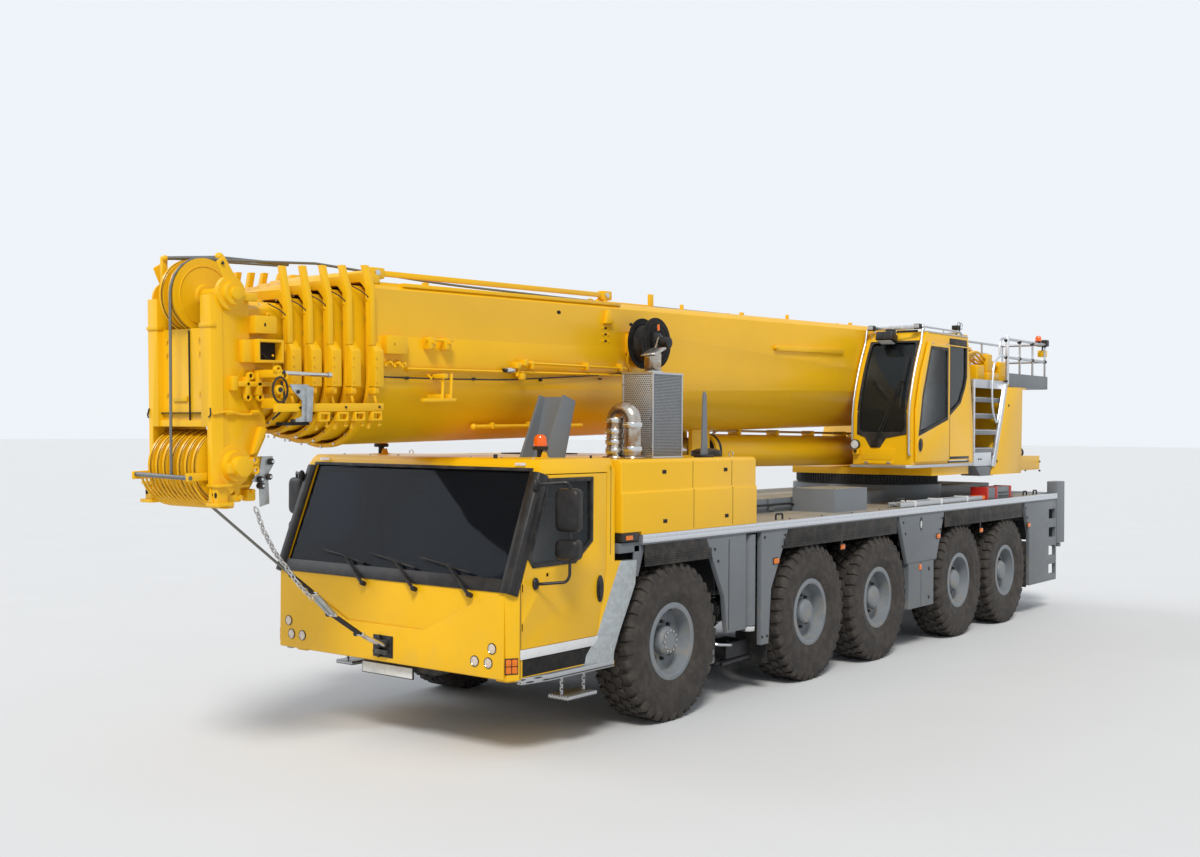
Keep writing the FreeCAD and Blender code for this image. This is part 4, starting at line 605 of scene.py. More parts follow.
# Near-black for black parts and seams; it is also painted shade over the step well under each driver's door,
# in the gaps at the boom collars and in the boom's side holes.
SHADE = Rubber("black parts and painted shade", "interior", paint_colour(16, 16, 17), dust_share=0.1, roughness=0.8)
CHROME = Metal("lamp reflector", "stainless", (0.86, 0.87, 0.88), roughness=0.08)
STEEL_DARK = Metal("forged steel", "jack_steel", paint_colour(70, 70, 72), roughness=0.5,
                   brush=(1, 1, 1))
STEP_ALLOY = Perforated("perforated step", "stainless", paint_colour(188, 191, 194), pitch=0.03, hole=0.26)
BLANK = Paint("blank plate", "body_yellow", paint_colour(226, 226, 222), roughness=0.4, dust_share=0.3)
BEACON = Lens("beacon dome", paint_colour(255, 112, 16), clear=0.3, ribs=90.0)
WHITE_RAIL = Metal("pale alloy rail", "stainless", paint_colour(224, 227, 232), roughness=0.4,
                   brush=(1, 14, 1))
# A darker copy of the yellow for the sheave grooves: painted shade.
GROOVE_SHADE = Paint("sheave groove painted shade", "body_yellow", paint_colour(120, 84, 20), dust_share=0.1)


# Shapes


class Shape:
    """One piece under construction: plates, bars, pipes and turned forms joined in one mesh."""

    def __init__(self, name: str, finishes: Sequence[Finish]) -> None:
        """Start an empty piece.

        Args:
            name: The piece's name.
            finishes: Its finishes, which the calls below name by their place in this list.
        """
        self.name = name
        self.finishes = list(finishes)
        self.mesh = bpy.data.meshes.new(name)
        self.whole = bmesh.new()

    def add(self, part: bmesh.types.BMesh, finish: int = 0, move: Matrix | None = None) -> None:
        """Join a finished bmesh to the piece.

        Args:
            part: The bmesh, which is used up.
            finish: The place of its finish in the list, or -1 to keep what the faces have.
            move: A last transform.
        """
        if move is not None:
            bmesh.ops.transform(part, matrix=move, verts=part.verts)
        bmesh.ops.recalc_face_normals(part, faces=part.faces)
        if finish >= 0:
            for face in part.faces:
                face.material_index = finish
        scratch = bpy.data.meshes.new("scratch")
        part.to_mesh(scratch)
        part.free()
        self.whole.from_mesh(scratch)
        bpy.data.meshes.remove(scratch)

    def mirror(self) -> None:
        """Add the mirror image of all that the piece has so far, on the crane's other side."""
        self.add(mirrored(self.whole.copy()), -1)

    def over(self, side: float) -> Shape:
        """The piece as it is, or its mirror image where the side is less than 0.

        Args:
            side: 1 on the left, -1 on the right.

        Returns:
            The piece.
        """
        if side < 0.0:
            mirrored(self.whole)
        return self

    def blocks(self, rows: Table, place: Placer = plain) -> None:
        """Add a block for each row: two corners, then what else block() takes.

        Args:
            rows: The rows.
            place: What makes a point of three numbers.
        """
        for low, high, *rest in rows:
            self.block(place(*low), place(*high), *rest)

    def rods(self, rows: Table, place: Placer = plain) -> None:
        """Add a bar for each row: two ends, then what else rod() takes.

        Args:
            rows: The rows.
            place: What makes a point of three numbers.
        """
        for start, end, *rest in rows:
            self.rod(place(*start), place(*end), *rest)

    def domes(self, rows: Table, place: Placer = plain) -> None:
        """Add a ball for each row: its middle, then what else dome() takes.

        Args:
            rows: The rows.
            place: What makes a point of three numbers.
        """
        for centre, *rest in rows:
            self.dome(place(*centre), *rest)

    def pipes(self, rows: Table, place: Placer = plain) -> None:
        """Add a pipe for each row: its corners, then what else pipe() takes.

        Args:
            rows: The rows.
            place: What makes a point of three numbers.
        """
        for route, *rest in rows:
            self.pipe([place(*corner) for corner in route], *rest)

    def plates(self, rows: Table, axis: Axis, line: Callable[[Sequence[Flat]], list[Flat]] = list) -> None:
        """Add a plate for each row: its outline, then what else plate() takes after the axis.

        Args:
            rows: The rows.
            axis: The direction of the thickness.
            line: What makes the outline of a row's corners.
        """
        for outline, *rest in rows:
            self.plate(line(outline), axis, *rest)

    def block(self, low: Sequence[float], high: Sequence[float], finish: int = 0, bevel: float = 0.0,
              segments: int = 2, move: Matrix | None = None) -> None:
        """Add a block with softened edges.

        Args:
            low: One corner.
            high: The opposite corner.
            finish: The place of its finish.
            bevel: The width of its edges' rounding.
            segments: How many strips round each edge.
            move: A last transform.
        """
        self.add(block_form(low, high, bevel, segments), finish, move)

    def rod(self, start: Sequence[float], end: Sequence[float], radius: float, finish: int = 0,
            sides: int = 16, bevel: float = 0.0, tip: float | None = None) -> None:
        """Add a round bar between two points.

        Args:
            start: The middle of one end.
            end: The middle of the other end.
            radius: Its radius.
            finish: The place of its finish.
            sides: How many sides it has.
            bevel: The rounding of its end edges.
            tip: The radius at the end, where it tapers.
        """
        first = Vector(start)
        run = Vector(end) - first
        part = bmesh.new()
        bmesh.ops.create_cone(part, cap_ends=True, segments=sides, radius1=radius,
                              radius2=radius if tip is None else tip, depth=run.length)
        if bevel > 0.0:
            rims = [edge for edge in part.edges if any(len(face.verts) > 4 for face in edge.link_faces)]
            soften(part, rims, bevel, 2)
        turn = run.to_track_quat("Z", "Y").to_matrix().to_4x4()
        self.add(part, finish, Matrix.Translation(first + run / 2) @ turn)

    def plate(self, outline: Sequence[Flat], axis: Axis, start: float, end: float, finish: int = 0,
              bevel: float = 0.0, holes: Sequence[Sequence[Flat]] = (), segments: int = 2,
              move: Matrix | None = None) -> None:
        """Add a flat outline given a thickness along one direction.

        Args:
            outline: The corners, as (y, z), (x, z) or (x, y) in the plane across the axis.
            axis: The direction of the thickness.
            start: Where it begins along the axis.
            end: Where it ends.
            finish: The place of its finish.
            bevel: The width of its edges' rounding.
            holes: Outlines cut out of it.
            segments: How many strips round each edge.
            move: A last transform.
        """
        self.add(plate_form(outline, axis, start, end, bevel, holes, segments), finish, move)

    def rim(self, outline: Sequence[Flat], width: float, axis: Axis, start: float, end: float,
            finish: int = 0, bevel: float = 0.0) -> None:
        """Add a frame of even width round an outline.

        Args:
            outline: The opening's corners.
            width: The frame's width.
            axis: The direction of its thickness.
            start: Where it begins along the axis.
            end: Where it ends.
            finish: The place of its finish.
            bevel: The width of its edges' rounding.
        """
        self.plate(grown(outline, width), axis, start, end, finish, bevel, holes=[list(outline)])

    def wreath(self, part: bmesh.types.BMesh, count: int, finish: int = 0,
               move: Matrix | None = None) -> None:
        """Add a form that repeats round the X axis.

        Args:
            part: The form at its first place.
            count: How many of it go round.
            finish: The place of its finish.
            move: A last transform.
        """
        first = part.verts[:] + part.edges[:] + part.faces[:]
        for index in range(1, count):
            twin = bmesh.ops.duplicate(part, geom=first)
            spots = [item for item in twin["geom"] if isinstance(item, bmesh.types.BMVert)]
            bmesh.ops.rotate(part, cent=(0, 0, 0), verts=spots,
                             matrix=Matrix.Rotation(math.tau * index / count, 3, "X"))
        self.add(part, finish, move)

    def bolts(self, spots: Iterable[Sequence[float]], axis: Axis, radius: float = 0.011,
              height: float = 0.012, finish: int = 0) -> None:
        """Add hexagonal bolt heads.

        Args:
            spots: The middles of their seats.
            axis: The direction that they stand along.
            radius: Their half width.
            height: How far they stand out; less than 0 for the other way.
            finish: The place of their finish.
        """
        for spot in spots:
            end = Vector(spot) + Vector(laid((0.0, 0.0), axis, height))
            self.rod(spot, end, radius, finish, sides=6)

    def lathe(self, profile: Sequence[Flat], axis: Axis, centre: Sequence[float], finish: int = 0,
              steps: int = 32, flip: float = 1.0, closed: bool = True) -> None:
        """Add a form turned about an axis.

        Args:
            profile: The points of its section, as (along the axis, radius).
            axis: The axis's direction.
            centre: A point on the axis, which the section's first coordinate is measured from.
            finish: The place of its finish.
            steps: How many steps make a full turn.
            flip: -1 to turn its section end for end along the axis.
            closed: Whether the section's last point joins its first.
        """
        part = turned_form([(along * flip, radius) for along, radius in profile], steps, closed)
        self.add(part, finish, Matrix.Translation(Vector(centre)) @ axis.turn())

    def dome(self, centre: Sequence[float], radius: float, finish: int = 0,
             fineness: int = 16, stretch: Point = (1, 1, 1)) -> None:
        """Add a ball or a flattened ball.

        Args:
            centre: Its middle.
            radius: Its radius before it is stretched.
            finish: The place of its finish.
            fineness: How many steps go round it.
            stretch: The stretch along each direction.
        """
        part = bmesh.new()
        bmesh.ops.create_uvsphere(part, u_segments=fineness, v_segments=fineness // 2 + 2, radius=radius)
        bmesh.ops.scale(part, vec=stretch, verts=part.verts)
        self.add(part, finish, Matrix.Translation(Vector(centre)))

    def pipe(self, route: Sequence[Sequence[float]], radius: float, finish: int = 0, sides: int = 8,
             bend: float = 0.0) -> None:
        """Add a round pipe along a route with rounded bends.

        Args:
            route: The corners that it follows.
            radius: The pipe's radius.
            finish: The place of its finish.
            sides: How many sides it has.
            bend: The radius of its bends.
        """
        curve = bpy.data.curves.new("route", "CURVE")
        curve.dimensions = "3D"
        curve.bevel_depth = radius
        curve.bevel_resolution = max(0, sides // 4 - 1)
        curve.use_fill_caps = True
        line = curve.splines.new("POLY")
        spots = bent(route, bend)
        line.points.add(len(spots) - 1)
        for spot, place in zip(line.points, spots):
            spot.co = (*place, 1.0)
        holder = bpy.data.objects.new("route", curve)
        shaped = bpy.data.meshes.new_from_object(holder)
        part = bmesh.new()
        part.from_mesh(shaped)
        bmesh.ops.remove_doubles(part, verts=part.verts, dist=1e-6)
        bpy.data.objects.remove(holder)
        bpy.data.curves.remove(curve)
        bpy.data.meshes.remove(shaped)
        self.add(part, finish)

    def finish(self, body: str, replaces: Sequence[str] = (), smooth: float = 32.0,
               move: Matrix | None = None) -> bpy.types.Object:
        """Make the piece an object that rides on a body.

        Args:
            body: The body that carries it.
            replaces: The nodes that it stands for.
            smooth: The angle in degrees past which an edge stays sharp.
            move: A transform of the whole piece first.

        Returns:
            The object.
        """
        if move is not None:
            bmesh.ops.transform(self.whole, matrix=move, verts=self.whole.verts)
        self.whole.to_mesh(self.mesh)
        self.whole.free()
        piece = bpy.data.objects.new(self.name, self.mesh)
        bpy.context.scene.collection.objects.link(piece)
        for finish in self.finishes:
            self.mesh.materials.append(finish.material())
        self.mesh.shade_smooth()
        self.mesh.set_sharp_from_angle(angle=math.radians(smooth))
        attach(piece, body)
        if replaces:
            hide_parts(*replaces)
        log.info("%s: %d faces on %s", self.name, len(self.mesh.polygons), body)
        return piece


def block_form(low: Sequence[float], high: Sequence[float], bevel: float = 0.0,
               segments: int = 2) -> bmesh.types.BMesh:
    """A block between two corners, with softened edges.

    Args:
        low: One corner.
        high: The opposite corner.
        bevel: The width of its edges' rounding.
        segments: How many strips round each edge.

    Returns:
        The form.
    """
    part = bmesh.new()
    bmesh.ops.create_cube(part, size=1.0)
    size = Vector([abs(b - a) for a, b in zip(low, high)])
    middle = Vector([(a + b) / 2 for a, b in zip(low, high)])
    bmesh.ops.scale(part, vec=size, verts=part.verts)
    bmesh.ops.translate(part, vec=middle, verts=part.verts)
    if bevel > 0.0:
        soften(part, part.edges, min(bevel, min(size) * 0.45), segments)
    return part


def plate_form(outline: Sequence[Flat], axis: Axis, start: float, end: float, bevel: float = 0.0,
               holes: Sequence[Sequence[Flat]] = (), segments: int = 2) -> bmesh.types.BMesh:
    """A flat outline given a thickness along one direction, with softened edges and holes.

    Args:
        outline: The outline's corners.
        axis: The direction of the thickness.
        start: Where it begins along the axis.
        end: Where it ends.
        bevel: The width of its edges' rounding.
        holes: Outlines cut out of it.
        segments: How many strips round each edge.

    Returns:
        The form.
    """
    part = bmesh.new()
    rims = []
    for loop in (outline, *holes):
        spots = [part.verts.new(laid(spot, axis, start)) for spot in loop]
        rims += [part.edges.new((spots[i - 1], spots[i])) for i in range(len(spots))]
    if holes:
        bmesh.ops.triangle_fill(part, edges=rims, use_beauty=True, use_dissolve=False)
        bmesh.ops.dissolve_limit(part, angle_limit=0.01, verts=part.verts, edges=part.edges, delimit=set())
    else:
        bmesh.ops.contextual_create(part, geom=rims)
    grown = bmesh.ops.extrude_face_region(part, geom=part.faces[:])
    moved = [item for item in grown["geom"] if isinstance(item, bmesh.types.BMVert)]
    bmesh.ops.translate(part, vec=Vector(laid((0, 0), axis, end - start)), verts=moved)
    if bevel > 0.0:
        sharp = [edge for edge in part.edges if edge.is_manifold and edge.calc_face_angle(0) > 0.5]
        soften(part, sharp, bevel, segments)
    return part


def turned_form(profile: Sequence[Flat], steps: int = 32, closed: bool = True) -> bmesh.types.BMesh:
    """A form turned about the Z axis, from a section given as (along the axis, radius).

    Args:
        profile: The section's points.
        steps: How many steps it has.
        closed: Whether the last point joins the first.

    Returns:
        The form.
    """
    part = bmesh.new()
    spots = [part.verts.new((max(radius, 0.0), 0.0, along)) for along, radius in profile]
    for first, second in zip(spots, spots[1:]):
        part.edges.new((first, second))
    if closed:
        part.edges.new((spots[-1], spots[0]))
    bmesh.ops.spin(part, geom=part.verts[:] + part.edges[:], cent=(0, 0, 0), axis=(0, 0, 1),
                   angle=math.tau, steps=steps, use_merge=True, use_duplicate=False)
    bmesh.ops.remove_doubles(part, verts=part.verts, dist=1e-5)
    return part


def ring_form(radius: float, thickness: float, points: int, steps: int) -> bmesh.types.BMesh:
    """A round bar bent to a ring about the Z axis.

    Args:
        radius: The ring's radius to the middle of the bar.
        thickness: The bar's own radius.
        points: How many points go round the bar.
        steps: How many steps go round the ring.

    Returns:
        The form.
    """
    angles = [math.tau * i / points for i in range(points)]
    return turned_form([(thickness * math.sin(a), radius + thickness * math.cos(a)) for a in angles], steps)


def stacked_form(loops: Sequence[Sequence[Point]]) -> bmesh.types.BMesh:
    """A closed form through rings of equally many points.

    Args:
        loops: The rings, from one end to the other.

    Returns:
        The form.
    """
    part = bmesh.new()
    rims = []
    for loop in loops:
        spots = [part.verts.new(spot) for spot in loop]
        rims.append([part.edges.new((spots[i - 1], spots[i])) for i in range(len(spots))])
    for first, second in zip(rims, rims[1:]):
        bmesh.ops.bridge_loops(part, edges=first + second)
    for rim in (rims[0], rims[-1]):
        bmesh.ops.contextual_create(part, geom=rim)
    bmesh.ops.recalc_face_normals(part, faces=part.faces)
    return part


def laid(spot: Flat, axis: Axis, along: float) -> Point:
    """A flat spot put in the plane across an axis.

    Args:
        spot: The flat spot.
        axis: The direction of the thickness.
        along: Its place along the axis.

    Returns:
        The point.
    """
    if axis is Axis.X:
        return along, spot[0], spot[1]
    if axis is Axis.Y:
        return spot[0], along, spot[1]
    return spot[0], spot[1], along


def soften(part: bmesh.types.BMesh, edges: Iterable[bmesh.types.BMEdge], width: float,
           segments: int = 2) -> None:
    """Round some edges of a bmesh.

    Args:
        part: The bmesh.
        edges: Its edges to round.
        width: The rounding's width.
        segments: How many strips it has.
    """
    bmesh.ops.bevel(part, geom=list(edges), offset=width, offset_type="OFFSET", affect="EDGES",
                    segments=segments, profile=0.5, material=-1, clamp_overlap=True)


def bent(route: Sequence[Sequence[float]], bend: float, steps: int = 5) -> list[Vector]:
    """A rigid pipe's route with its corners rounded.

    Args:
        route: The corners.
        bend: The reach of each bend along its two runs.
        steps: How many steps make a bend.

    Returns:
        The points of the rounded route.
    """
    corners = [Vector(spot) for spot in route]
    if bend <= 0.0 or len(corners) < 3:
        return corners
    spots = [corners[0]]
    for before, corner, after in zip(corners, corners[1:], corners[2:]):
        back = before - corner
        on = after - corner
        reach = min(bend, back.length * 0.49, on.length * 0.49)
        start = corner + back.normalized() * reach
        end = corner + on.normalized() * reach
        for step in range(steps + 1):
            share = step / steps
            first = start.lerp(corner, share)
            second = corner.lerp(end, share)
            spots.append(first.lerp(second, share))
    spots.append(corners[-1])
    return spots


def oval(centre: Flat, half: Flat, steps: int = 24) -> list[Flat]:
    """An oval outline about a centre."""
    return [(centre[0] + half[0] * math.cos(math.tau * i / steps),
             centre[1] + half[1] * math.sin(math.tau * i / steps)) for i in range(steps)]


def soft_box(low: Flat, high: Flat, radius: float, steps: int = 4) -> list[Flat]:
    """A rectangle outline with round corners, anticlockwise.

    Args:
        low: One corner.
        high: The opposite corner.
        radius: The corners' radius.
        steps: How many steps it has.

    Returns:
        The outline.
    """
    spots = []
    corners = (((high[0] - radius, low[1] + radius), -90), ((high[0] - radius, high[1] - radius), 0),
               ((low[0] + radius, high[1] - radius), 90), ((low[0] + radius, low[1] + radius), 180))
    for (x, y), begin in corners:
        for step in range(steps + 1):
            angle = math.radians(begin + 90 * step / steps)
            spots.append((x + radius * math.cos(angle), y + radius * math.sin(angle)))
    return spots


@dataclass
class PackedCopy:
    """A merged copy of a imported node, with softened edges and its own finish on each region."""

    node: str
    finishes: Sequence[Finish]
    chooser: Chooser | None = None
    bevel: float = 0.006
    sharp: float = 0.5
    segments: int = 2

    def build(self, frame: dict) -> bpy.types.Object:
        """Make the copy and let it stand for its node.


        Returns:
            The new piece.
        """
        source = frame["nodes"][self.node]
        part = bmesh.new()
        part.from_mesh(source.data)
        bmesh.ops.remove_doubles(part, verts=part.verts, dist=2e-5)
        bmesh.ops.dissolve_limit(part, angle_limit=math.radians(0.6), verts=part.verts,
                                 edges=part.edges, delimit=set())
        if self.bevel > 0.0:
            edges = [edge for edge in part.edges
                     if edge.is_manifold and edge.calc_face_angle(0) > self.sharp]
            soften(part, edges, self.bevel, self.segments)
        if self.chooser is not None:
            left_out = []
            for face in part.faces:
                choice = self.chooser(face.calc_center_median(), face.normal)
                face.material_index = max(choice, 0)
                if choice < 0:
                    left_out.append(face)
            bmesh.ops.delete(part, geom=left_out, context="FACES")
        mesh = bpy.data.meshes.new(self.node + "_dress")
        part.to_mesh(mesh)
        part.free()
        piece = bpy.data.objects.new(self.node + "_dress", mesh)
        bpy.context.scene.collection.objects.link(piece)
        for finish in self.finishes:
            mesh.materials.append(finish.material())
        mesh.shade_smooth()
        mesh.set_sharp_from_angle(angle=math.radians(30))
        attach(piece, source["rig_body"])
        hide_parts(self.node)
        log.info("%s: %d faces", piece.name, len(mesh.polygons))
        return piece


def paint_node(frame: dict, node: str, finish: Finish) -> None:
    """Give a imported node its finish.

    Args:
        node: The node's name.
        finish: Its finish.
    """
    thing = frame["nodes"][node]
    for place in thing.material_slots:
        place.material = finish.material()
    if not thing.material_slots:
        thing.data.materials.append(finish.material())


def side_line(points: Sequence[Flat]) -> list[Flat]:
    """A side outline in the crane's frame, from distances behind the first axle and heights."""
    return [(station(distance), height) for distance, height in points]


def grown(outline: Sequence[Flat], width: float) -> list[Flat]:
    """An outline moved outwards by a width; inwards where it is less than 0.

    Args:
        outline: The outline's corners.
        width: How far it moves.

    Returns:
        The outline.
    """
    count = len(outline)
    area = sum(outline[i - 1][0] * outline[i][1] - outline[i][0] * outline[i - 1][1] for i in range(count))
    turn = 1.0 if area > 0 else -1.0
    spots = []
    for index, spot in enumerate(outline):
        before = Vector(spot) - Vector(outline[index - 1])
        after = Vector(outline[(index + 1) % count]) - Vector(spot)
        first = Vector((before.y, -before.x)).normalized() * turn
        second = Vector((after.y, -after.x)).normalized() * turn
        middle = first + second
        reach = middle * (2.0 * width / max(middle.dot(middle), 0.5))
        spots.append((spot[0] + reach.x, spot[1] + reach.y))
    return spots


def mirrored(part: bmesh.types.BMesh) -> bmesh.types.BMesh:
    """The same form on the other side of the crane's middle plane.

    Args:
        part: The form, which is changed.

    Returns:
        The form.
    """
    bmesh.ops.transform(part, matrix=Matrix.Diagonal((-1, 1, 1, 1)), verts=part.verts)
    bmesh.ops.reverse_faces(part, faces=part.faces)
    return part


# Wheels

AXLES = (0.0, 2.65, 4.30, 6.70, 8.35)
TYRE_CENTRE = 1.2675
AXLE_HEIGHT = 0.7425


@dataclass
class Wheels:
    """The ten treaded tyres, with the nuts and studs of their rims."""

    lugs: int = 36
    tyre_half: Sequence[Flat] = (
        (0.171, 0.3206), (0.172, 0.352), (0.184, 0.372), (0.199, 0.41), (0.211, 0.455), (0.2135, 0.462),
        (0.2135, 0.47), (0.212, 0.476), (0.2185, 0.52), (0.2215, 0.56), (0.2205, 0.6), (0.2165, 0.64),
        (0.2095, 0.668), (0.199, 0.694), (0.184, 0.712), (0.16, 0.719), (0.012, 0.723))
    tyre_shoulder: Sequence[Flat] = (
        (0.11, 0.7425), (0.181, 0.7425), (0.194, 0.734), (0.206, 0.703), (0.2165, 0.662), (0.204, 0.655),
        (0.17, 0.7), (0.11, 0.712))
    tyre_rib: Sequence[Flat] = (
        (0.01, 0.7425), (0.094, 0.7425), (0.094, 0.712), (0.01, 0.712))

    def build(self, frame: dict) -> None:
        """Dress every wheel.
        """
        for axle, distance in enumerate(AXLES, start=1):
            for side_name, side in SIDES:
                centre = Vector((side * TYRE_CENTRE, station(distance), AXLE_HEIGHT))
                move = Matrix.Translation(centre)
                if side < 0:
                    move = move @ Matrix.Rotation(math.pi, 4, "Z")
                tyre = f"tyre_{axle}_{side_name}"
                body = frame["nodes"][tyre]["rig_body"]
                self.tyre(f"{tyre}_tread").finish(body, [tyre], smooth=40, move=move)
                PackedCopy(f"rim_{axle}_{side_name}", [RIM_GREY], bevel=0.004).build(frame)
                self.fittings(f"rim_{axle}_{side_name}_nuts", axle == 1).finish(body, move=move)

    def tyre(self, name: str) -> Shape:
        """One tyre about its own middle: carcass, side ribs and four rows of lugs.

        Args:
            name: The piece's name.

        Returns:
            The piece.
        """
        shape = Shape(name, [TYRE])
        other = [(-x, radius) for x, radius in reversed(self.tyre_half)]
        shape.lathe([*self.tyre_half, *other], Axis.X, (0, 0, 0), steps=96)
        pitch = math.tau / self.lugs
        for side, phase in ((1.0, 0.0), (-1.0, 0.5)):
            for outline, length, skew, shift in ((self.tyre_shoulder, 0.078, 10.0, 0.0),
                                                 (self.tyre_rib, 0.088, -24.0, 0.42)):
                form = plate_form(outline, Axis.Y, -length / 2, length / 2,
                                  bevel=0.005, segments=1)
                middle = sum(spot[0] for spot in outline) / len(outline)
                skewed = (Matrix.Translation((middle, 0, 0)) @ Matrix.Rotation(math.radians(skew), 4, "Z")
                          @ Matrix.Translation((-middle, 0, 0)))
                if side < 0:
                    skewed = Matrix.Rotation(math.pi, 4, "Z") @ skewed
                turned = Matrix.Rotation(pitch * (phase + shift), 4, "X") @ skewed
                bmesh.ops.transform(form, matrix=turned, verts=form.verts)
                shape.wreath(form, self.lugs)
        return shape

    def fittings(self, name: str, driven_by_steering: bool) -> Shape:
        """The wheel nuts in the dish, the cap's step and, on the first axle, its ring of studs.

        Args:
            name: The piece's name.
            driven_by_steering: Whether the rim has a ring of studs too.

        Returns:
            The piece.
        """
        shape = Shape(name, [RIM_GREY, DARK, STEEL])
        nut = bmesh.new()
        bmesh.ops.create_cone(nut, cap_ends=True, segments=6, radius1=0.019, radius2=0.017, depth=0.034)
        bmesh.ops.transform(nut, matrix=Matrix.Translation((0.066, 0, 0.172)) @ Axis.X.turn(),
                            verts=nut.verts)
        shape.wreath(nut, 10, 1)
        shape.lathe([(0.148, 0.0), (0.1545, 0.0), (0.1545, 0.078), (0.15, 0.084), (0.148, 0.084)], Axis.X,
                    (0, 0, 0), 0, steps=48, closed=False)
        if driven_by_steering:
            stud = bmesh.new()
            bmesh.ops.create_cone(stud, cap_ends=True, segments=8, radius1=0.009, radius2=0.009, depth=0.03)
            bmesh.ops.transform(stud, matrix=Matrix.Translation((0.15, 0, 0.098)) @ Axis.X.turn(),
                                verts=stud.verts)
            shape.wreath(stud, 12, 2)
        shape.rod((0.13, 0.0, 0.285), (0.176, 0.0, 0.3), 0.005, 1, sides=8)
        return shape


# Driver's cab

CAB_SIDE = 1.45
SCREEN_FOOT = (-2.285, 1.41)
SCREEN_LEAN = math.atan2(0.39, 0.995)
SCREEN = (Matrix.Translation((0.0, station(SCREEN_FOOT[0]), SCREEN_FOOT[1]))
          @ Matrix.Rotation(-SCREEN_LEAN, 4, "X"))
DOOR_WINDOW = side_line([(-2.007, 1.605), (-1.468, 1.605), (-1.243, 1.770), (-1.243, 2.287),
                         (-1.811, 2.287), (-2.049, 1.660)])


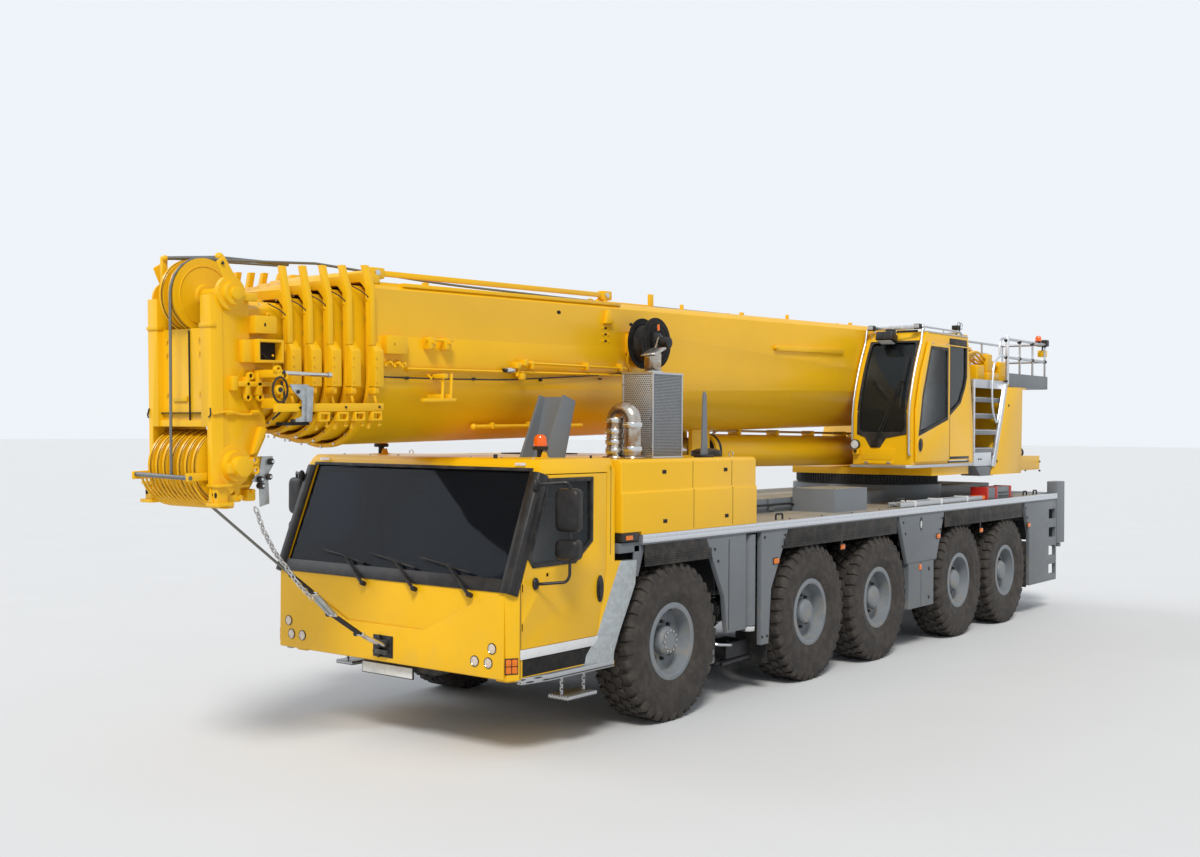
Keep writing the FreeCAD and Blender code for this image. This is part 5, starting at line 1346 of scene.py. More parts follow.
@dataclass
class DriverCab:
    """The driver's cab: its skin, glass edges, wipers, lamps, mirrors, handles and steps."""

    front_crease: Sequence[Flat] = (
        (1.384, 0.7), (1.384, 1.375), (1.25, 1.375), (1.054, 1.292), (0.47, 1.015), (-0.47, 1.015),
        (-1.054, 1.292), (-1.25, 1.375), (-1.384, 1.375), (-1.384, 0.7))
    screen_trim_opening: Sequence[Flat] = (
        (-1.33, 0.075), (1.33, 0.075), (1.33, 1.028), (-1.33, 1.028))
    screen_trim_section: Sequence[Flat] = (
        (1.338, 0.004), (1.34, -0.014), (1.365, -0.027), (1.405, -0.027), (1.443, -0.012), (1.462, 0.02),
        (1.463, 0.09), (1.44, 0.092), (1.4, 0.004))
    roof_rods: Table = (
        ((0.86, -1.82, 2.46), (0.86, -1.82, 2.5), 0.018, 1, 16, 0.005),
        ((1.33, -1.1, 2.44), (1.33, -1.1, 2.49), 0.01, 1))
    inside_blocks: Table = (
        ((0.42, -2.14, 1.47), (0.98, -1.96, 1.6), 0, 0.04, 4),
        ((-0.32, -2.12, 1.47), (0.22, -1.97, 1.545), 2, 0.03, 3))
    door_curve: Sequence[Flat] = (
        (0.047, 0.97), (0.042, 1.0), (0.0, 1.0), (-0.02, 0.985), (-0.034, 0.94), (-0.044, 0.84),
        (-0.049, 0.6), (-0.051, 0.2))
    flank_ledge: Sequence[Flat] = (
        (1.4, -2.15), (1.455, -2.15), (1.505, -1.86), (1.505, -0.975), (1.4, -0.975))
    flank_levels: Table = (
        (0.7, -1.345, -1.14, -0.976), (0.772, -1.325, -1.105, -0.97), (0.93, -1.157, -1.016, -0.895),
        (1.224, -0.998, -0.848, -0.726), (1.34, -0.937, -0.783, -0.662), (1.553, -0.816, -0.664, -0.64))
    flank_plates: Table = (
        (((-1.15, 0.93), (-1.012, 1.5), (-1.012, 1.556), (-0.79, 1.556), (-1.08, 0.93)), 1.4, 1.4495, 4),
        (((-0.64, 1.4), (-0.575, 1.4), (-0.47, 1.68), (-0.64, 1.68)), 1.452, 1.47, 7, 0.004))

    def build(self, frame: dict) -> None:
        """Dress the cab and its two doors.
        """
        PackedCopy("driver_cab_shell", [YELLOW, TRIM, ZINC, STEP_ALLOY, GREY], self.skin_finish, bevel=0.012,
                   segments=3).build(frame)
        self.front().finish("carrier")
        self.screen_trim().finish("carrier", move=SCREEN)
        self.roof().finish("carrier")
        self.inside().finish("carrier")
        for side_name, side in SIDES:
            PackedCopy(f"driver_door_{side_name}", [YELLOW, CAB_GLASS], self.door_finish).build(frame)
            self.door(side_name).over(side).finish(f"driver_door_{side_name}")
            self.flank(side_name).over(side).finish("carrier")

    @staticmethod
    def skin_finish(centre: Vector, normal: Vector) -> int:
        """Which finish a face of the shell takes.

        Args:
            centre: The face's middle.
            normal: The direction that it faces.

        Returns:
            The finish's place in the list.
        """
        low_step = centre.z < 0.645 or (centre.z < 0.71 and abs(centre.x) > 1.17 and centre.y > station(-2.16)
                                        and (normal.z > 0.9 or abs(centre.x) > 1.46))
        if low_step:
            return 3
        by_guard = 0.71 < centre.z < 1.56 and station(-1.36) < centre.y < station(-0.80)
        on_guard = by_guard and abs(centre.x) > 1.40 and (normal.y > 0.2 or normal.z > 0.5)
        if on_guard or abs(centre.x) > 1.452:
            return -1
        if 0.69 < abs(centre.x) < 1.01 and centre.z > 2.47:
            return 4
        inner = (abs(centre.x) < 1.415 and 0.75 < centre.z < 2.43 and normal.x * centre.x < 0.3
                 and station(-2.235) < centre.y < station(-0.94))
        return 1 if inner and centre.y > station(-2.24 + (centre.z - 1.41) * 0.39) else 0

    @staticmethod
    def door_finish(centre: Vector, normal: Vector) -> int:
        """Which finish a face of a door takes; the plain mirror blocks are left out.

        Args:
            centre: The face's middle.
            normal: The direction that it faces.

        Returns:
            The finish's place in the list.
        """
        if abs(centre.x) > 1.4515:
            return -1
        return 1 if 1.418 < abs(centre.x) < 1.429 and abs(normal.x) > 0.9 else 0

    def front(self) -> Shape:
        """The front panel's crease, lamps, tow jaw and blank plate.

        Returns:
            The piece.
        """
        shape = Shape("cab_front", [YELLOW, PLASTIC, CHROME, CLEAR, STEEL_DARK, BLANK, AMBER])
        face = station(-2.285)
        for x, height in ((1.26, 0.94), (1.07, 0.82), (1.22, 0.82)):
            middle = (x, face - 0.004, height)
            shape.lathe([(0.002, 0.046), (-0.006, 0.046), (-0.008, 0.041), (0.002, 0.039)], Axis.Y, middle,
                        1, steps=28)
            shape.lathe([(-0.005, 0.04), (0.012, 0.026), (0.016, 0.0), (0.018, 0.0), (0.018, 0.03),
                         (0.0, 0.041)], Axis.Y, middle, 2, steps=28, closed=False)
            shape.dome(middle, 0.039, 3, stretch=(1, 0.22, 1), fineness=20)
            shape.dome((middle[0], face + 0.004, height), 0.012, 3, fineness=10)
        turn = math.atan2(0.107, 0.065)
        move = Matrix.Translation((1.4175, station(-2.2315), 0.805)) @ Matrix.Rotation(turn, 4, "Z")
        for across in (-0.026, 0.026):
            for up in (-0.03, 0.03):
                low = (across - 0.023, -0.012, up - 0.027)
                shape.block(low, (across + 0.023, 0.006, up + 0.027), 6, bevel=0.006, move=move)
        shape.block((-0.056, -0.004, -0.066), (0.056, 0.004, 0.066), 1, bevel=0.002, move=move)
        shape.mirror()
        shape.plate(self.front_crease, Axis.Y, face - 0.005, face + 0.002, 0, bevel=0.004, segments=3)
        shape.block((-0.13, face - 0.012, 0.735), (0.115, face + 0.01, 0.925), 1, bevel=0.006)
        shape.block((-0.1, face - 0.045, 0.772), (0.02, face, 0.798), 4, bevel=0.005)
        shape.block((-0.1, face - 0.045, 0.866), (0.02, face, 0.892), 4, bevel=0.005)
        shape.rod((-0.04, face - 0.026, 0.735), (-0.04, face - 0.026, 0.93), 0.015, 4, bevel=0.003)
        shape.block((0.045, face - 0.02, 0.76), (0.1, face, 0.905), 4, bevel=0.005)
        plate = [(-0.355, face + 0.075, 0.565), (0.265, face + 0.083, 0.655)]
        shape.block(plate[0], plate[1], 5, bevel=0.003)
        shape.block((-0.365, face + 0.079, 0.557), (0.275, face + 0.092, 0.664), 1, bevel=0.003)
        for x in (-0.2, 0.12):
            shape.block((x - 0.02, face + 0.085, 0.62), (x + 0.02, face + 0.1, 0.74), 1, bevel=0.002)
        return shape

    def screen_trim(self) -> Shape:
        """The black band and pillar mouldings round the windscreen, and the wipers, upright.

        Returns:
            The piece.
        """
        shape = Shape("cab_screen_trim", [PLASTIC, RUBBER, TRIM])
        part = plate_form(self.screen_trim_section, Axis.Z, -0.014, 1.02, bevel=0.007, segments=3)
        shape.add(part, 0)
        groove = plate_form([(1.4625, 0.094), (1.4625, 0.101), (1.44, 0.101), (1.44, 0.094)], Axis.Z, 0.3,
                            1.0)
        shape.add(groove, 1)
        shape.mirror()
        shape.plate([(-1.345, -0.012), (1.345, -0.012), (1.345, 0.1), (-1.345, 0.1)], Axis.Y, -0.007, 0.004,
                    0, bevel=0.003)
        shape.rim(self.screen_trim_opening, 0.028, Axis.Y, -0.005, 0.006, 1, bevel=0.002)
        for pivot in (-0.23, 0.4, 1.04):
            root = Vector((pivot, -0.026, -0.06))
            knee = Vector((pivot - 0.33, -0.034, 0.175))
            shape.rod((pivot, 0.004, -0.06), (pivot, -0.045, -0.06), 0.022, 0, bevel=0.004)
            shape.pipe([root, root.lerp(knee, 0.45), knee], 0.011, 0, sides=8)
            shape.pipe([root + Vector((0, -0.012, 0)), root.lerp(knee, 0.4) + Vector((0, -0.012, 0))],
                       0.014, 0)
            left = Vector((pivot - 0.66, -0.02, 0.215))
            right = Vector((pivot - 0.06, -0.02, 0.12))
            shape.rod(left, right, 0.009, 1, sides=6)
            shape.pipe([left.lerp(right, 0.2), left.lerp(right, 0.35) + Vector((0, -0.014, 0.004)),
                        left.lerp(right, 0.5) + Vector((0, -0.018, 0.006)),
                        left.lerp(right, 0.65) + Vector((0, -0.014, 0.004)), left.lerp(right, 0.8)], 0.006,
                       0)
        return shape

    def roof(self) -> Shape:
        """The lit beacon, its bracket, small marker lamps and bolt heads on the roof.

        Returns:
            The piece.
        """
        shape = Shape("cab_roof_fittings", [YELLOW, PLASTIC, BEACON, CLEAR, STEEL])
        for side in (1.0, -1.0):
            x = side * 1.0
            shape.block(at(x - 0.055, -1.46, 2.462), at(x + 0.055, -1.33, 2.472), 0, bevel=0.002)
            shape.plate(side_line([(-1.44, 2.47), (-1.35, 2.47), (-1.37, 2.52), (-1.42, 2.52)]), Axis.X,
                        x + 0.045, x + 0.052, 0)
            shape.rod(at(x, -1.395, 2.468), at(x, -1.395, 2.545), 0.028, 1, bevel=0.004)
            shape.lathe([(0.0, 0.0), (0.0, 0.066), (0.012, 0.07), (0.03, 0.07), (0.034, 0.062),
                         (0.034, 0.0)], Axis.Z, at(x, -1.395, 2.535), 1, closed=False)
            shape.lathe([(0.034, 0.06), (0.09, 0.056), (0.115, 0.05), (0.132, 0.034), (0.138, 0.0),
                         (0.034, 0.0)], Axis.Z, at(x, -1.395, 2.535), 2, steps=28, closed=False)
            shape.block(at(side * 1.22 - 0.05, -1.925, 2.412), at(side * 1.22 + 0.05, -1.895, 2.436), 3,
                        bevel=0.006)
            shape.bolts([at(side * spot, -1.7, 2.463) for spot in (0.45, 0.82, 1.18)], Axis.Z, finish=4)
        shape.rods(self.roof_rods, at)
        return shape

    def inside(self) -> Shape:
        """The steering wheel, its column cowl, dash hoods and seat trim behind the glass.

        Returns:
            The piece.
        """
        shape = Shape("cab_inside", [PLASTIC, SEAT, TRIM])
        lean = Matrix.Translation(at(0.7, -1.895, 1.63)) @ Matrix.Rotation(math.radians(-58), 4, "X")
        shape.add(ring_form(0.215, 0.014, 12, 40), 0, lean)
        for angle in (90, 210, 330):
            spoke = block_form((-0.02, 0.0, -0.006), (0.02, 0.21, 0.006), 0.004)
            shape.add(spoke, 0, lean @ Matrix.Rotation(math.radians(angle), 4, "Z"))
        shape.add(block_form((-0.06, -0.06, -0.03), (0.06, 0.06, 0.02), 0.02), 0, lean)
        shape.blocks(self.inside_blocks, at)
        for x in (-0.7, 0.7):
            shape.block(at(x - 0.14, -1.255, 2.09), at(x + 0.14, -1.16, 2.26), 1, bevel=0.04, segments=4)
            for across in (-0.21, 0.21):
                shape.block(at(x + across - 0.04, -1.3, 1.33), at(x + across + 0.04, -1.22, 2.02), 1,
                            bevel=0.03, segments=3)
        return shape

    def door(self, side_name: str) -> Shape:
        """The window seal, handle and mirrors of one door.

        Args:
            side_name: The side's name.

        Returns:
            The piece.
        """
        shape = Shape(f"door_fittings_{side_name}", [PLASTIC, RUBBER, CHROME, STEEL])
        skin = CAB_SIDE
        shape.rim(DOOR_WINDOW, 0.024, Axis.X, skin - 0.002, skin + 0.007, 1, bevel=0.002)
        shape.rim(grown(DOOR_WINDOW, -0.012), 0.012, Axis.X, skin - 0.03, skin + 0.002, 0)
        centre = (station(-1.115), 1.335)
        shape.plate(oval(centre, (0.048, 0.118)), Axis.X, skin - 0.002, skin + 0.01, 0, bevel=0.005)
        shape.plate(oval((centre[0], centre[1] - 0.01), (0.026, 0.085)), Axis.X, skin + 0.006, skin + 0.022,
                    1, bevel=0.007, segments=3)
        post = 1.7
        y = station(-1.842)
        route = [(skin, station(-1.985), 2.262), (skin + 0.05, station(-1.97), 2.268),
                 (post - 0.02, y - 0.02, 2.285), (post, y, 2.25), (post, y, 1.52),
                 (post - 0.02, y - 0.02, 1.472), (skin + 0.06, station(-1.985), 1.455),
                 (skin, station(-1.99), 1.45)]
        shape.pipe(route, 0.013, 0, sides=12, bend=0.05)
        for height in (2.262, 1.452):
            shape.dome((skin + 0.008, station(-1.985), height), 0.045, 0, stretch=(0.55, 0.8, 1.15))
        for low, high in ((1.88, 2.235), (1.65, 1.82)):
            half = (high - low) / 2
            housing = soft_box((-0.112, -half), (0.112, half), 0.05, steps=6)
            part = stacked_form([[(x * scale, depth, z * scale) for x, z in housing] for depth,
                                 scale in self.door_curve])
            spot = Matrix.Translation((1.6825, y, (low + high) / 2)) @ Matrix.Rotation(0.12, 4, "Z")
            shape.add(part, 0, spot)
            shape.add(plate_form(grown(housing, -0.014), Axis.Y, 0.0472, 0.0492), 2, spot)
        return shape

    def flank(self, side_name: str) -> Shape:
        """The strip and the painted shade below one door, the arch guard's bolts and the small seams.

        Args:
            side_name: The side's name.

        Returns:
            The piece.
        """
        shape = Shape(f"cab_flank_{side_name}", [WHITE, SHADE, STEEL, PLASTIC, YELLOW, STEP_ALLOY, ZINC,
                                                 GREY])
        skin = CAB_SIDE
        shape.plate(side_line([(-2.165, 0.852), (-1.18, 0.852), (-1.141, 0.93), (-2.165, 0.93)]), Axis.X,
                    skin - 0.002, skin + 0.01, 0, bevel=0.003)
        # A near-black plate over the step well under the door: painted shade.
        shape.plate(side_line([(-2.135, 0.712), (-1.285, 0.712), (-1.18, 0.85), (-2.135, 0.85)]), Axis.X,
                    skin - 0.002, skin + 0.003, 1)
        shape.plates(self.flank_plates, Axis.X, side_line)
        tread = [(x, station(distance)) for x, distance in self.flank_ledge]
        shape.plate(tread, Axis.Z, 0.648, 0.703, 5, bevel=0.004)
        loops = [[(1.449, station(edge), height), (1.5, station(fold), height),
                  (1.5, station(rear), height), (1.4, station(rear), height), (1.4, station(edge), height)]
                 for height, edge, fold, rear in self.flank_levels]
        shape.add(stacked_form(loops), 6)
        guard = 1.5
        shape.bolts([at(guard, -1.02, 0.8), at(guard, -0.86, 1.08), at(guard, -0.7, 1.36)], Axis.X, 0.01,
                    0.006, 2)
        for y, low, high in ((-0.965, 1.62, 2.4), (-2.163, 0.7, 1.5)):
            shape.block(at(skin - 0.002, y - 0.003, low), at(skin + 0.0012, y + 0.003, high), 3)
        return shape


# Engine cover and exhaust


@dataclass
class EngineCover:
    """The hood behind the cab with its seams, latches and vents, and the exhaust behind its guard."""

    fittings_fin: Sequence[Flat] = (
        (0.615, 2.448), (0.725, 2.448), (0.715, 2.6), (0.695, 3.06), (0.672, 3.1), (0.652, 3.06),
        (0.635, 2.6))
    fittings_pair_plates: Table = (
        (((-0.855, 1.72), (-0.6, 1.72), (-0.6, 1.798), (-0.855, 1.798)), 1.4, 1.496, 1, 0.006),
        (((-0.858, 1.62), (-0.56, 1.62), (-0.56, 1.71), (-0.858, 1.71)), 1.36, 1.47, 3, 0.004))
    pipes_band: Sequence[Flat] = (
        (-0.022, 0.0805), (-0.022, 0.089), (-0.012, 0.093), (0.012, 0.093), (0.022, 0.089), (0.022, 0.0805))

    def build(self, frame: dict) -> None:
        """Dress the cover and the exhaust.
        """
        PackedCopy("engine_cover", [YELLOW], bevel=0.014, segments=3).build(frame)
        PackedCopy("exhaust_stack", [STAINLESS, HOLED, HOLED_SIDE, PLASTIC], self.guard_finish,
                   bevel=0.004).build(frame)
        self.fittings().finish("carrier")
        self.pipes().finish("carrier")

    @staticmethod
    def guard_finish(centre: Vector, normal: Vector) -> int:
        """Which finish a face of the exhaust takes: sheet with holes, pipe or black hood.

        Args:
            centre: The face's middle.
            normal: The direction that it faces.

        Returns:
            The finish's place in the list.
        """
        if centre.y > station(0.90):
            return 3
        in_guard = 0.99 < centre.x < 1.36 and station(-0.21) < centre.y < station(0.30) and centre.z < 3.262
        on_wall = min(abs(centre.x - 1.0), abs(centre.x - 1.35), abs(centre.y - station(-0.20)),
                      abs(centre.y - station(0.29)), abs(centre.z - 3.25)) < 0.02
        if in_guard and on_wall and max(abs(normal.x), abs(normal.y), abs(normal.z)) > 0.98:
            return 1 if abs(normal.y) > 0.9 else 2
        return 0

    def fittings(self) -> Shape:
        """Seams, latches, corner pieces, the grey fin and lifting eyes on the hood.

        Returns:
            The piece.
        """
        shape = Shape("cover_fittings", [SHADE, PLASTIC, AMBER, GREY, STEEL, YELLOW])
        for distance in (0.275, 0.968):
            for low, high, skin in ((1.79, 2.155, 1.5), (2.165, 2.42, 1.486)):
                shape.block(at(skin - 0.004, distance - 0.003, low),
                            at(skin + 0.001, distance + 0.003, high), 0)
        for distance, height, skin in ((0.851, 2.331, 1.486), (0.856, 1.878, 1.5), (-0.2, 2.331, 1.486),
                                       (-0.2, 1.878, 1.5)):
            low = at(skin - 0.002, distance - 0.032, height - 0.018)
            shape.block(low, at(skin + 0.004, distance + 0.032, height + 0.018), 1, bevel=0.004)
            shape.block(at(skin, distance - 0.012, height - 0.012),
                        at(skin + 0.009, distance + 0.026, height + 0.012), 0, bevel=0.003)
        shape.plates(self.fittings_pair_plates, Axis.X, side_line)
        shape.block(at(1.494, -0.8, 1.735), at(1.502, -0.7, 1.775), 2, bevel=0.003)
        for distance in (-0.7, 1.25):
            spot = at(1.3, distance, 2.449)
            lie = Matrix.Translation(Vector(spot) + Vector((0, 0, 0.024)))
            shape.add(ring_form(0.026, 0.006, 8, 20), 4, lie @ Matrix.Rotation(math.pi / 2, 4, "X"))
            shape.rod(spot, Vector(spot) + Vector((0, 0, 0.006)), 0.02, 4, sides=16)
        shape.mirror()
        for distance in (0.275, 0.968):
            shape.block(at(-1.45, distance - 0.003, 2.446), at(1.45, distance + 0.003, 2.451), 0)
        fin = side_line(self.fittings_fin)
        shape.plate(fin, Axis.X, 1.335, 1.365, 3, bevel=0.008, segments=3)
        shape.block(at(1.3, 0.56, 2.448), at(1.4, 0.78, 2.475), 1, bevel=0.008)
        for index in range(9):
            low = at(-1.05 + 0.02, 0.36 + index * 0.055, 2.449)
            shape.block(low, at(-0.35, 0.385 + index * 0.055, 2.462), 0, bevel=0.004)
        shape.lathe([(0.0, 0.0), (0.0, 0.158), (0.03, 0.163), (0.05, 0.155), (0.075, 0.1), (0.082, 0.0)],
                    Axis.Z, at(1.1, 1.1, 2.452), 1, steps=36, closed=False)
        return shape

    def pipes(self) -> Shape:
        """Clamps, flanges and the heat-stained sleeves of the exhaust, and the guard's frame.

        Returns:
            The piece.
        """
        shape = Shape("exhaust_fittings", [STAINLESS, STEEL, ALLOY, RUBBER])
        for x, heights in ((1.107, (2.52, 2.6, 2.7, 2.8)), (1.303, (2.54, 2.76))):
            for height in heights:
                shape.lathe(self.pipes_band, Axis.Z, at(x, -0.45, height), 1, steps=36)
                shape.rod(at(x - 0.03, -0.548, height), at(x + 0.03, -0.548, height), 0.008, 1, sides=8)
        for x in (1.107, 1.303):
            shape.lathe([(0.0, 0.06), (0.0, 0.118), (0.012, 0.122), (0.022, 0.118), (0.022, 0.06)], Axis.Z,
                        at(x, -0.45, 2.448), 0, steps=32)
        shape.lathe([(0.0, 0.081), (0.0, 0.1), (0.02, 0.1), (0.02, 0.081)], Axis.Z, at(1.175, 0.045, 3.25),
                    1, steps=32)
        for x in (0.996, 1.336):
            for distance in (-0.204, 0.276):
                shape.block(at(x, distance, 2.448), at(x + 0.018, distance + 0.018, 3.254), 2, bevel=0.003)
        for height in (2.452, 3.236):
            shape.rim([(1.0, station(-0.2)), (1.35, station(-0.2)), (1.35, station(0.29)),
                       (1.0, station(0.29))], 0.006, Axis.Z, height, height + 0.018, 2)
        for x in (1.01, 1.34):
            for height in (2.56, 2.82, 3.14):
                shape.bolts([at(x, -0.2045, height)], Axis.Y, 0.008, -0.008, 1)
        return shape


# Deck, skirts and outriggers


@dataclass
class Deck:
    """The walking deck with its pale stripe, ribbed skirts, markers, side gear and rear panel."""

    edge_section: Sequence[Flat] = (
        (1.4995, 1.693), (1.5045, 1.695), (1.508, 1.702), (1.508, 1.728), (1.5055, 1.733), (1.508, 1.738),
        (1.508, 1.762), (1.504, 1.772), (1.462, 1.773), (1.462, 1.7695), (1.4995, 1.7695))
    flank_panel: Sequence[Flat] = (
        (1.28, 0.76), (1.5, 0.76), (1.5, 1.5), (1.28, 1.5))
    flank_pipes: Table = (
        (((1.02, 0.92, 0.6), (1.34, 0.96, 0.58), (1.36, 1.2, 0.55), (1.2, 1.34, 0.55)), 0.014, 6, 8, 0.05),
        (((1.0, 1.1, 0.44), (1.28, 1.02, 0.42), (1.3, 0.86, 0.47)), 0.01, 3, 8, 0.05))
    stowage_blocks: Table = (
        ((1.2, 7.72, 1.772), (1.43, 8.62, 1.935), 5, 0.012),
        ((1.431, 8.14, 1.845), (1.439, 8.5, 1.862), 1, 0.003),
        ((1.431, 8.14, 1.8), (1.439, 8.5, 1.815), 1, 0.003),
        ((1.25, 7.6, 1.775), (1.42, 7.69, 1.83), 6, 0.01),
        ((0.668, 1.62, 1.9), (1.02, 2.0, 1.985), 5, 0.01))

    def build(self, frame: dict) -> None:
        """Dress the deck and what hangs from it.
        """
        PackedCopy("deck", [GREY, DECKING, RUBBER], self.deck_finish, bevel=0.005).build(frame)
        PackedCopy("chassis_frame", [GREY, DECKING, DARK], self.frame_finish, bevel=0.006).build(frame)
        PackedCopy("axle_beams", [DARK], bevel=0.01).build(frame)
        self.edge().finish("carrier")
        self.stowage().finish("carrier")
        self.rear().finish("carrier")
        self.running_gear().finish("carrier")
        for side_name, side in SIDES:
            self.flank(side_name, side).finish("carrier")
            for place in ("front", "rear"):
                self.outrigger(frame, place, side_name)

    @staticmethod
    def deck_finish(centre: Vector, normal: Vector) -> int:
        """Which finish a face of the deck takes: grey, walking plate or rubber skirt.

        Args:
            centre: The face's middle.
            normal: The direction that it faces.

        Returns:
            The finish's place in the list.
        """
        if 1.4795 < abs(centre.x) < 1.4945 and centre.z < 1.683 and abs(abs(centre.x) - 1.49) > 0.0005:
            return 2
        return 1 if normal.z > 0.9 and centre.z > 1.75 else 0

    @staticmethod
    def frame_finish(centre: Vector, normal: Vector) -> int:
        """Which finish a face of the frame takes: grey, walking plate, or dark paint below as painted shade.

        Args:
            centre: The face's middle.
            normal: The direction that it faces.

        Returns:
            The finish's place in the list.
        """
        if normal.z > 0.9 and centre.z > 1.9:
            return 1
        # The frame's low inner faces take the dark paint: painted shade between the wheels.
        return 2 if centre.z < 1.45 and abs(centre.x) < 1.3 else 0

    def edge(self) -> Shape:
        """The pale rail along each side of the deck, ribbed skirts and amber side markers.

        Returns:
            The piece.
        """
        shape = Shape("deck_edge", [WHITE_RAIL, RUBBER, AMBER, PLASTIC, STEEL])
        rail = plate_form(self.edge_section, Axis.Y, station(-0.56), station(10.36))
        shape.add(rail, 0)
        for begin, end in ((-0.49, 0.6), (1.99, 4.71), (6.15, 8.9)):
            for height, depth in ((1.504, 0.006), (1.524, 0.004), (1.545, 0.006), (1.567, 0.003)):
                shape.block(at(1.492, begin, height), at(1.494 + depth, end, height + 0.013), 1,
                            bevel=0.003)
            shape.block(at(1.486, begin, 1.49), at(1.496, end, 1.502), 1, bevel=0.003)
        for distance, height, skin in ((1.83, 1.36, 1.49), (3.42, 1.4, 1.43), (5.93, 1.375, 1.49),
                                       (7.5, 1.36, 1.43), (9.17, 1.345, 1.49)):
            shape.block(at(skin - 0.004, distance - 0.056, height - 0.036),
                        at(skin + 0.006, distance + 0.056, height + 0.036), 3, bevel=0.004)
            shape.block(at(skin, distance - 0.048, height - 0.028),
                        at(skin + 0.018, distance + 0.048, height + 0.028), 2, bevel=0.008)
            if skin < 1.45:
                shape.block(at(skin - 0.02, distance - 0.02, height + 0.02),
                            at(skin - 0.004, distance + 0.02, 1.7), 3, bevel=0.003)
        shape.mirror()
        return shape

    def flank(self, side_name: str, side: float) -> Shape:
        """Bolts, pipes, covers, mud flaps and the small door on one side of the carrier.

        Args:
            side_name: The side's name.
            side: 1 on the left, -1 on the right.

        Returns:
            The piece.
        """
        shape = Shape(f"carrier_flank_{side_name}",
                      [GREY, STEEL_DARK, PLASTIC, RUBBER, STEEL, AMBER, ALLOY, RED])
        skin = 1.49
        bolts = [at(skin, distance, height) for distance,
                 height in ((0.66, 1.56), (0.72, 1.44), (2.02, 1.62), (1.97, 1.5), (1.6, 1.62), (4.9, 1.6),
                            (4.96, 1.46), (6.06, 1.6), (6.0, 1.46), (9.06, 1.6), (9.12, 1.46), (1.66, 0.6),
                            (1.56, 0.6))]
        shape.bolts(bolts, Axis.X, 0.013, 0.01, 1)
        for low, high in (((5.02, 1.082), (5.88, 1.088)), ((5.42, 0.53), (5.426, 1.08))):
            shape.block(at(skin - 0.002, *low), at(skin + 0.0015, *high), 2)
        shape.block(at(skin - 0.002, 5.36, 0.985), at(skin + 0.012, 5.42, 1.055), 5, bevel=0.006)
        for height in (0.62, 0.98):
            shape.dome(at(skin, 5.66, height), 0.026, 2, stretch=(0.35, 1, 1), fineness=14)
        shape.plate(oval((station(5.42), 1.56), (0.045, 0.085)), Axis.X, skin - 0.002, skin + 0.003, 2)
        shape.dome(at(skin, 5.42, 1.55), 0.035, 4, stretch=(0.25, 0.9, 1.5), fineness=14)
        shape.block(at(1.02, 1.18, 0.4), at(1.3, 1.6, 0.56), 1, bevel=0.012)
        shape.pipes(self.flank_pipes, at)
        for x in (1.1, 1.2, 1.29):
            shape.rod(at(x, 1.1, 0.36), at(x, 1.62, 0.38), 0.022, 1, sides=12)
        for distance, low, high in ((1.74, 0.3, 0.62), (9.22, 0.42, 1.1)):
            flap = [(1.06, low), (1.44, low), (1.44, high), (1.06, high)]
            shape.plate(flap, Axis.Y, station(distance), station(distance) + 0.008, 3, bevel=0.002)
        for distance, length, size in ((5.1, 0.62, 0.16), (1.52, 0.34, 0.13)):
            shape.rod(at(0.8, distance, 0.8), at(0.8, distance + length, 0.8), size, 2, sides=28,
                      bevel=0.03)
            for share in (0.2, 0.75):
                shape.lathe([(0, size), (0, size + 0.006), (0.03, size + 0.006), (0.03, size)], Axis.Y,
                            at(0.8, distance + share * length, 0.8), 4, steps=28)
        shape.over(side)
        if side > 0:
            shape.plate(side_line([(0.915, 0.745), (0.925, 0.745), (0.925, 1.64), (0.915, 1.64)]), Axis.X,
                        1.488, 1.492, 2)
            shape.plate(side_line([(0.52, 0.42), (0.83, 0.42), (0.83, 0.74), (0.72, 0.98), (0.56, 0.78)]),
                        Axis.X, 1.36, 1.385, 0, bevel=0.003)
        else:
            panel = side_line(self.flank_panel)
            shape.rim(panel, 0.006, Axis.X, -1.488, -1.493, 2)
        return shape

    def stowage(self) -> Shape:
        """What lies on the deck: the alloy ladder, the red and grey box, lifting eyes and low rails.

        Returns:
            The piece.
        """
        shape = Shape("deck_stowage", [ALLOY, PLASTIC, RED, WHITE, STEEL_DARK, GREY, AMBER])
        for distance in (2.05, 9.3, 9.72):
            shape.pipe([at(1.36, distance, 1.765), at(1.36, distance, 1.83),
                        at(1.36, distance + 0.14, 1.83), at(1.36, distance + 0.14, 1.765)], 0.012, 4,
                       bend=0.03)
        shape.bolts([at(1.4, 1.55 + 0.72 * index, 1.771) for index in range(12)], Axis.Z, 0.012, 0.007, 4)
        for distance in (2.2, 3.05):
            shape.block(at(0.664, distance, 1.8), at(0.7, distance + 0.1, 1.93), 5, bevel=0.006)
        shape.pipe([at(0.7, 1.75, 1.86), at(0.7, 3.5, 1.86), at(0.72, 3.6, 1.84)], 0.014, 4, bend=0.03)
        shape.mirror()
        for x in (1.27, 1.42):
            shape.block(at(x - 0.014, 4.95, 1.775), at(x + 0.014, 7.55, 1.835), 0, bevel=0.004)
        for index in range(10):
            shape.block(at(1.27, 5.08 + index * 0.26, 1.79), at(1.42, 5.12 + index * 0.26, 1.822), 0,
                        bevel=0.004)
        for distance in (5.35, 6.15, 7.0):
            shape.block(at(1.245, distance, 1.77), at(1.445, distance + 0.035, 1.848), 3, bevel=0.006)
        shape.pipe([at(1.345, 5.0, 1.84), at(1.345, 5.03, 1.875), at(1.345, 5.25, 1.875),
                    at(1.345, 5.28, 1.84)], 0.01, 1, bend=0.03)
        shape.blocks(self.stowage_blocks, at)
        for distance in (7.7, 8.02, 8.55):
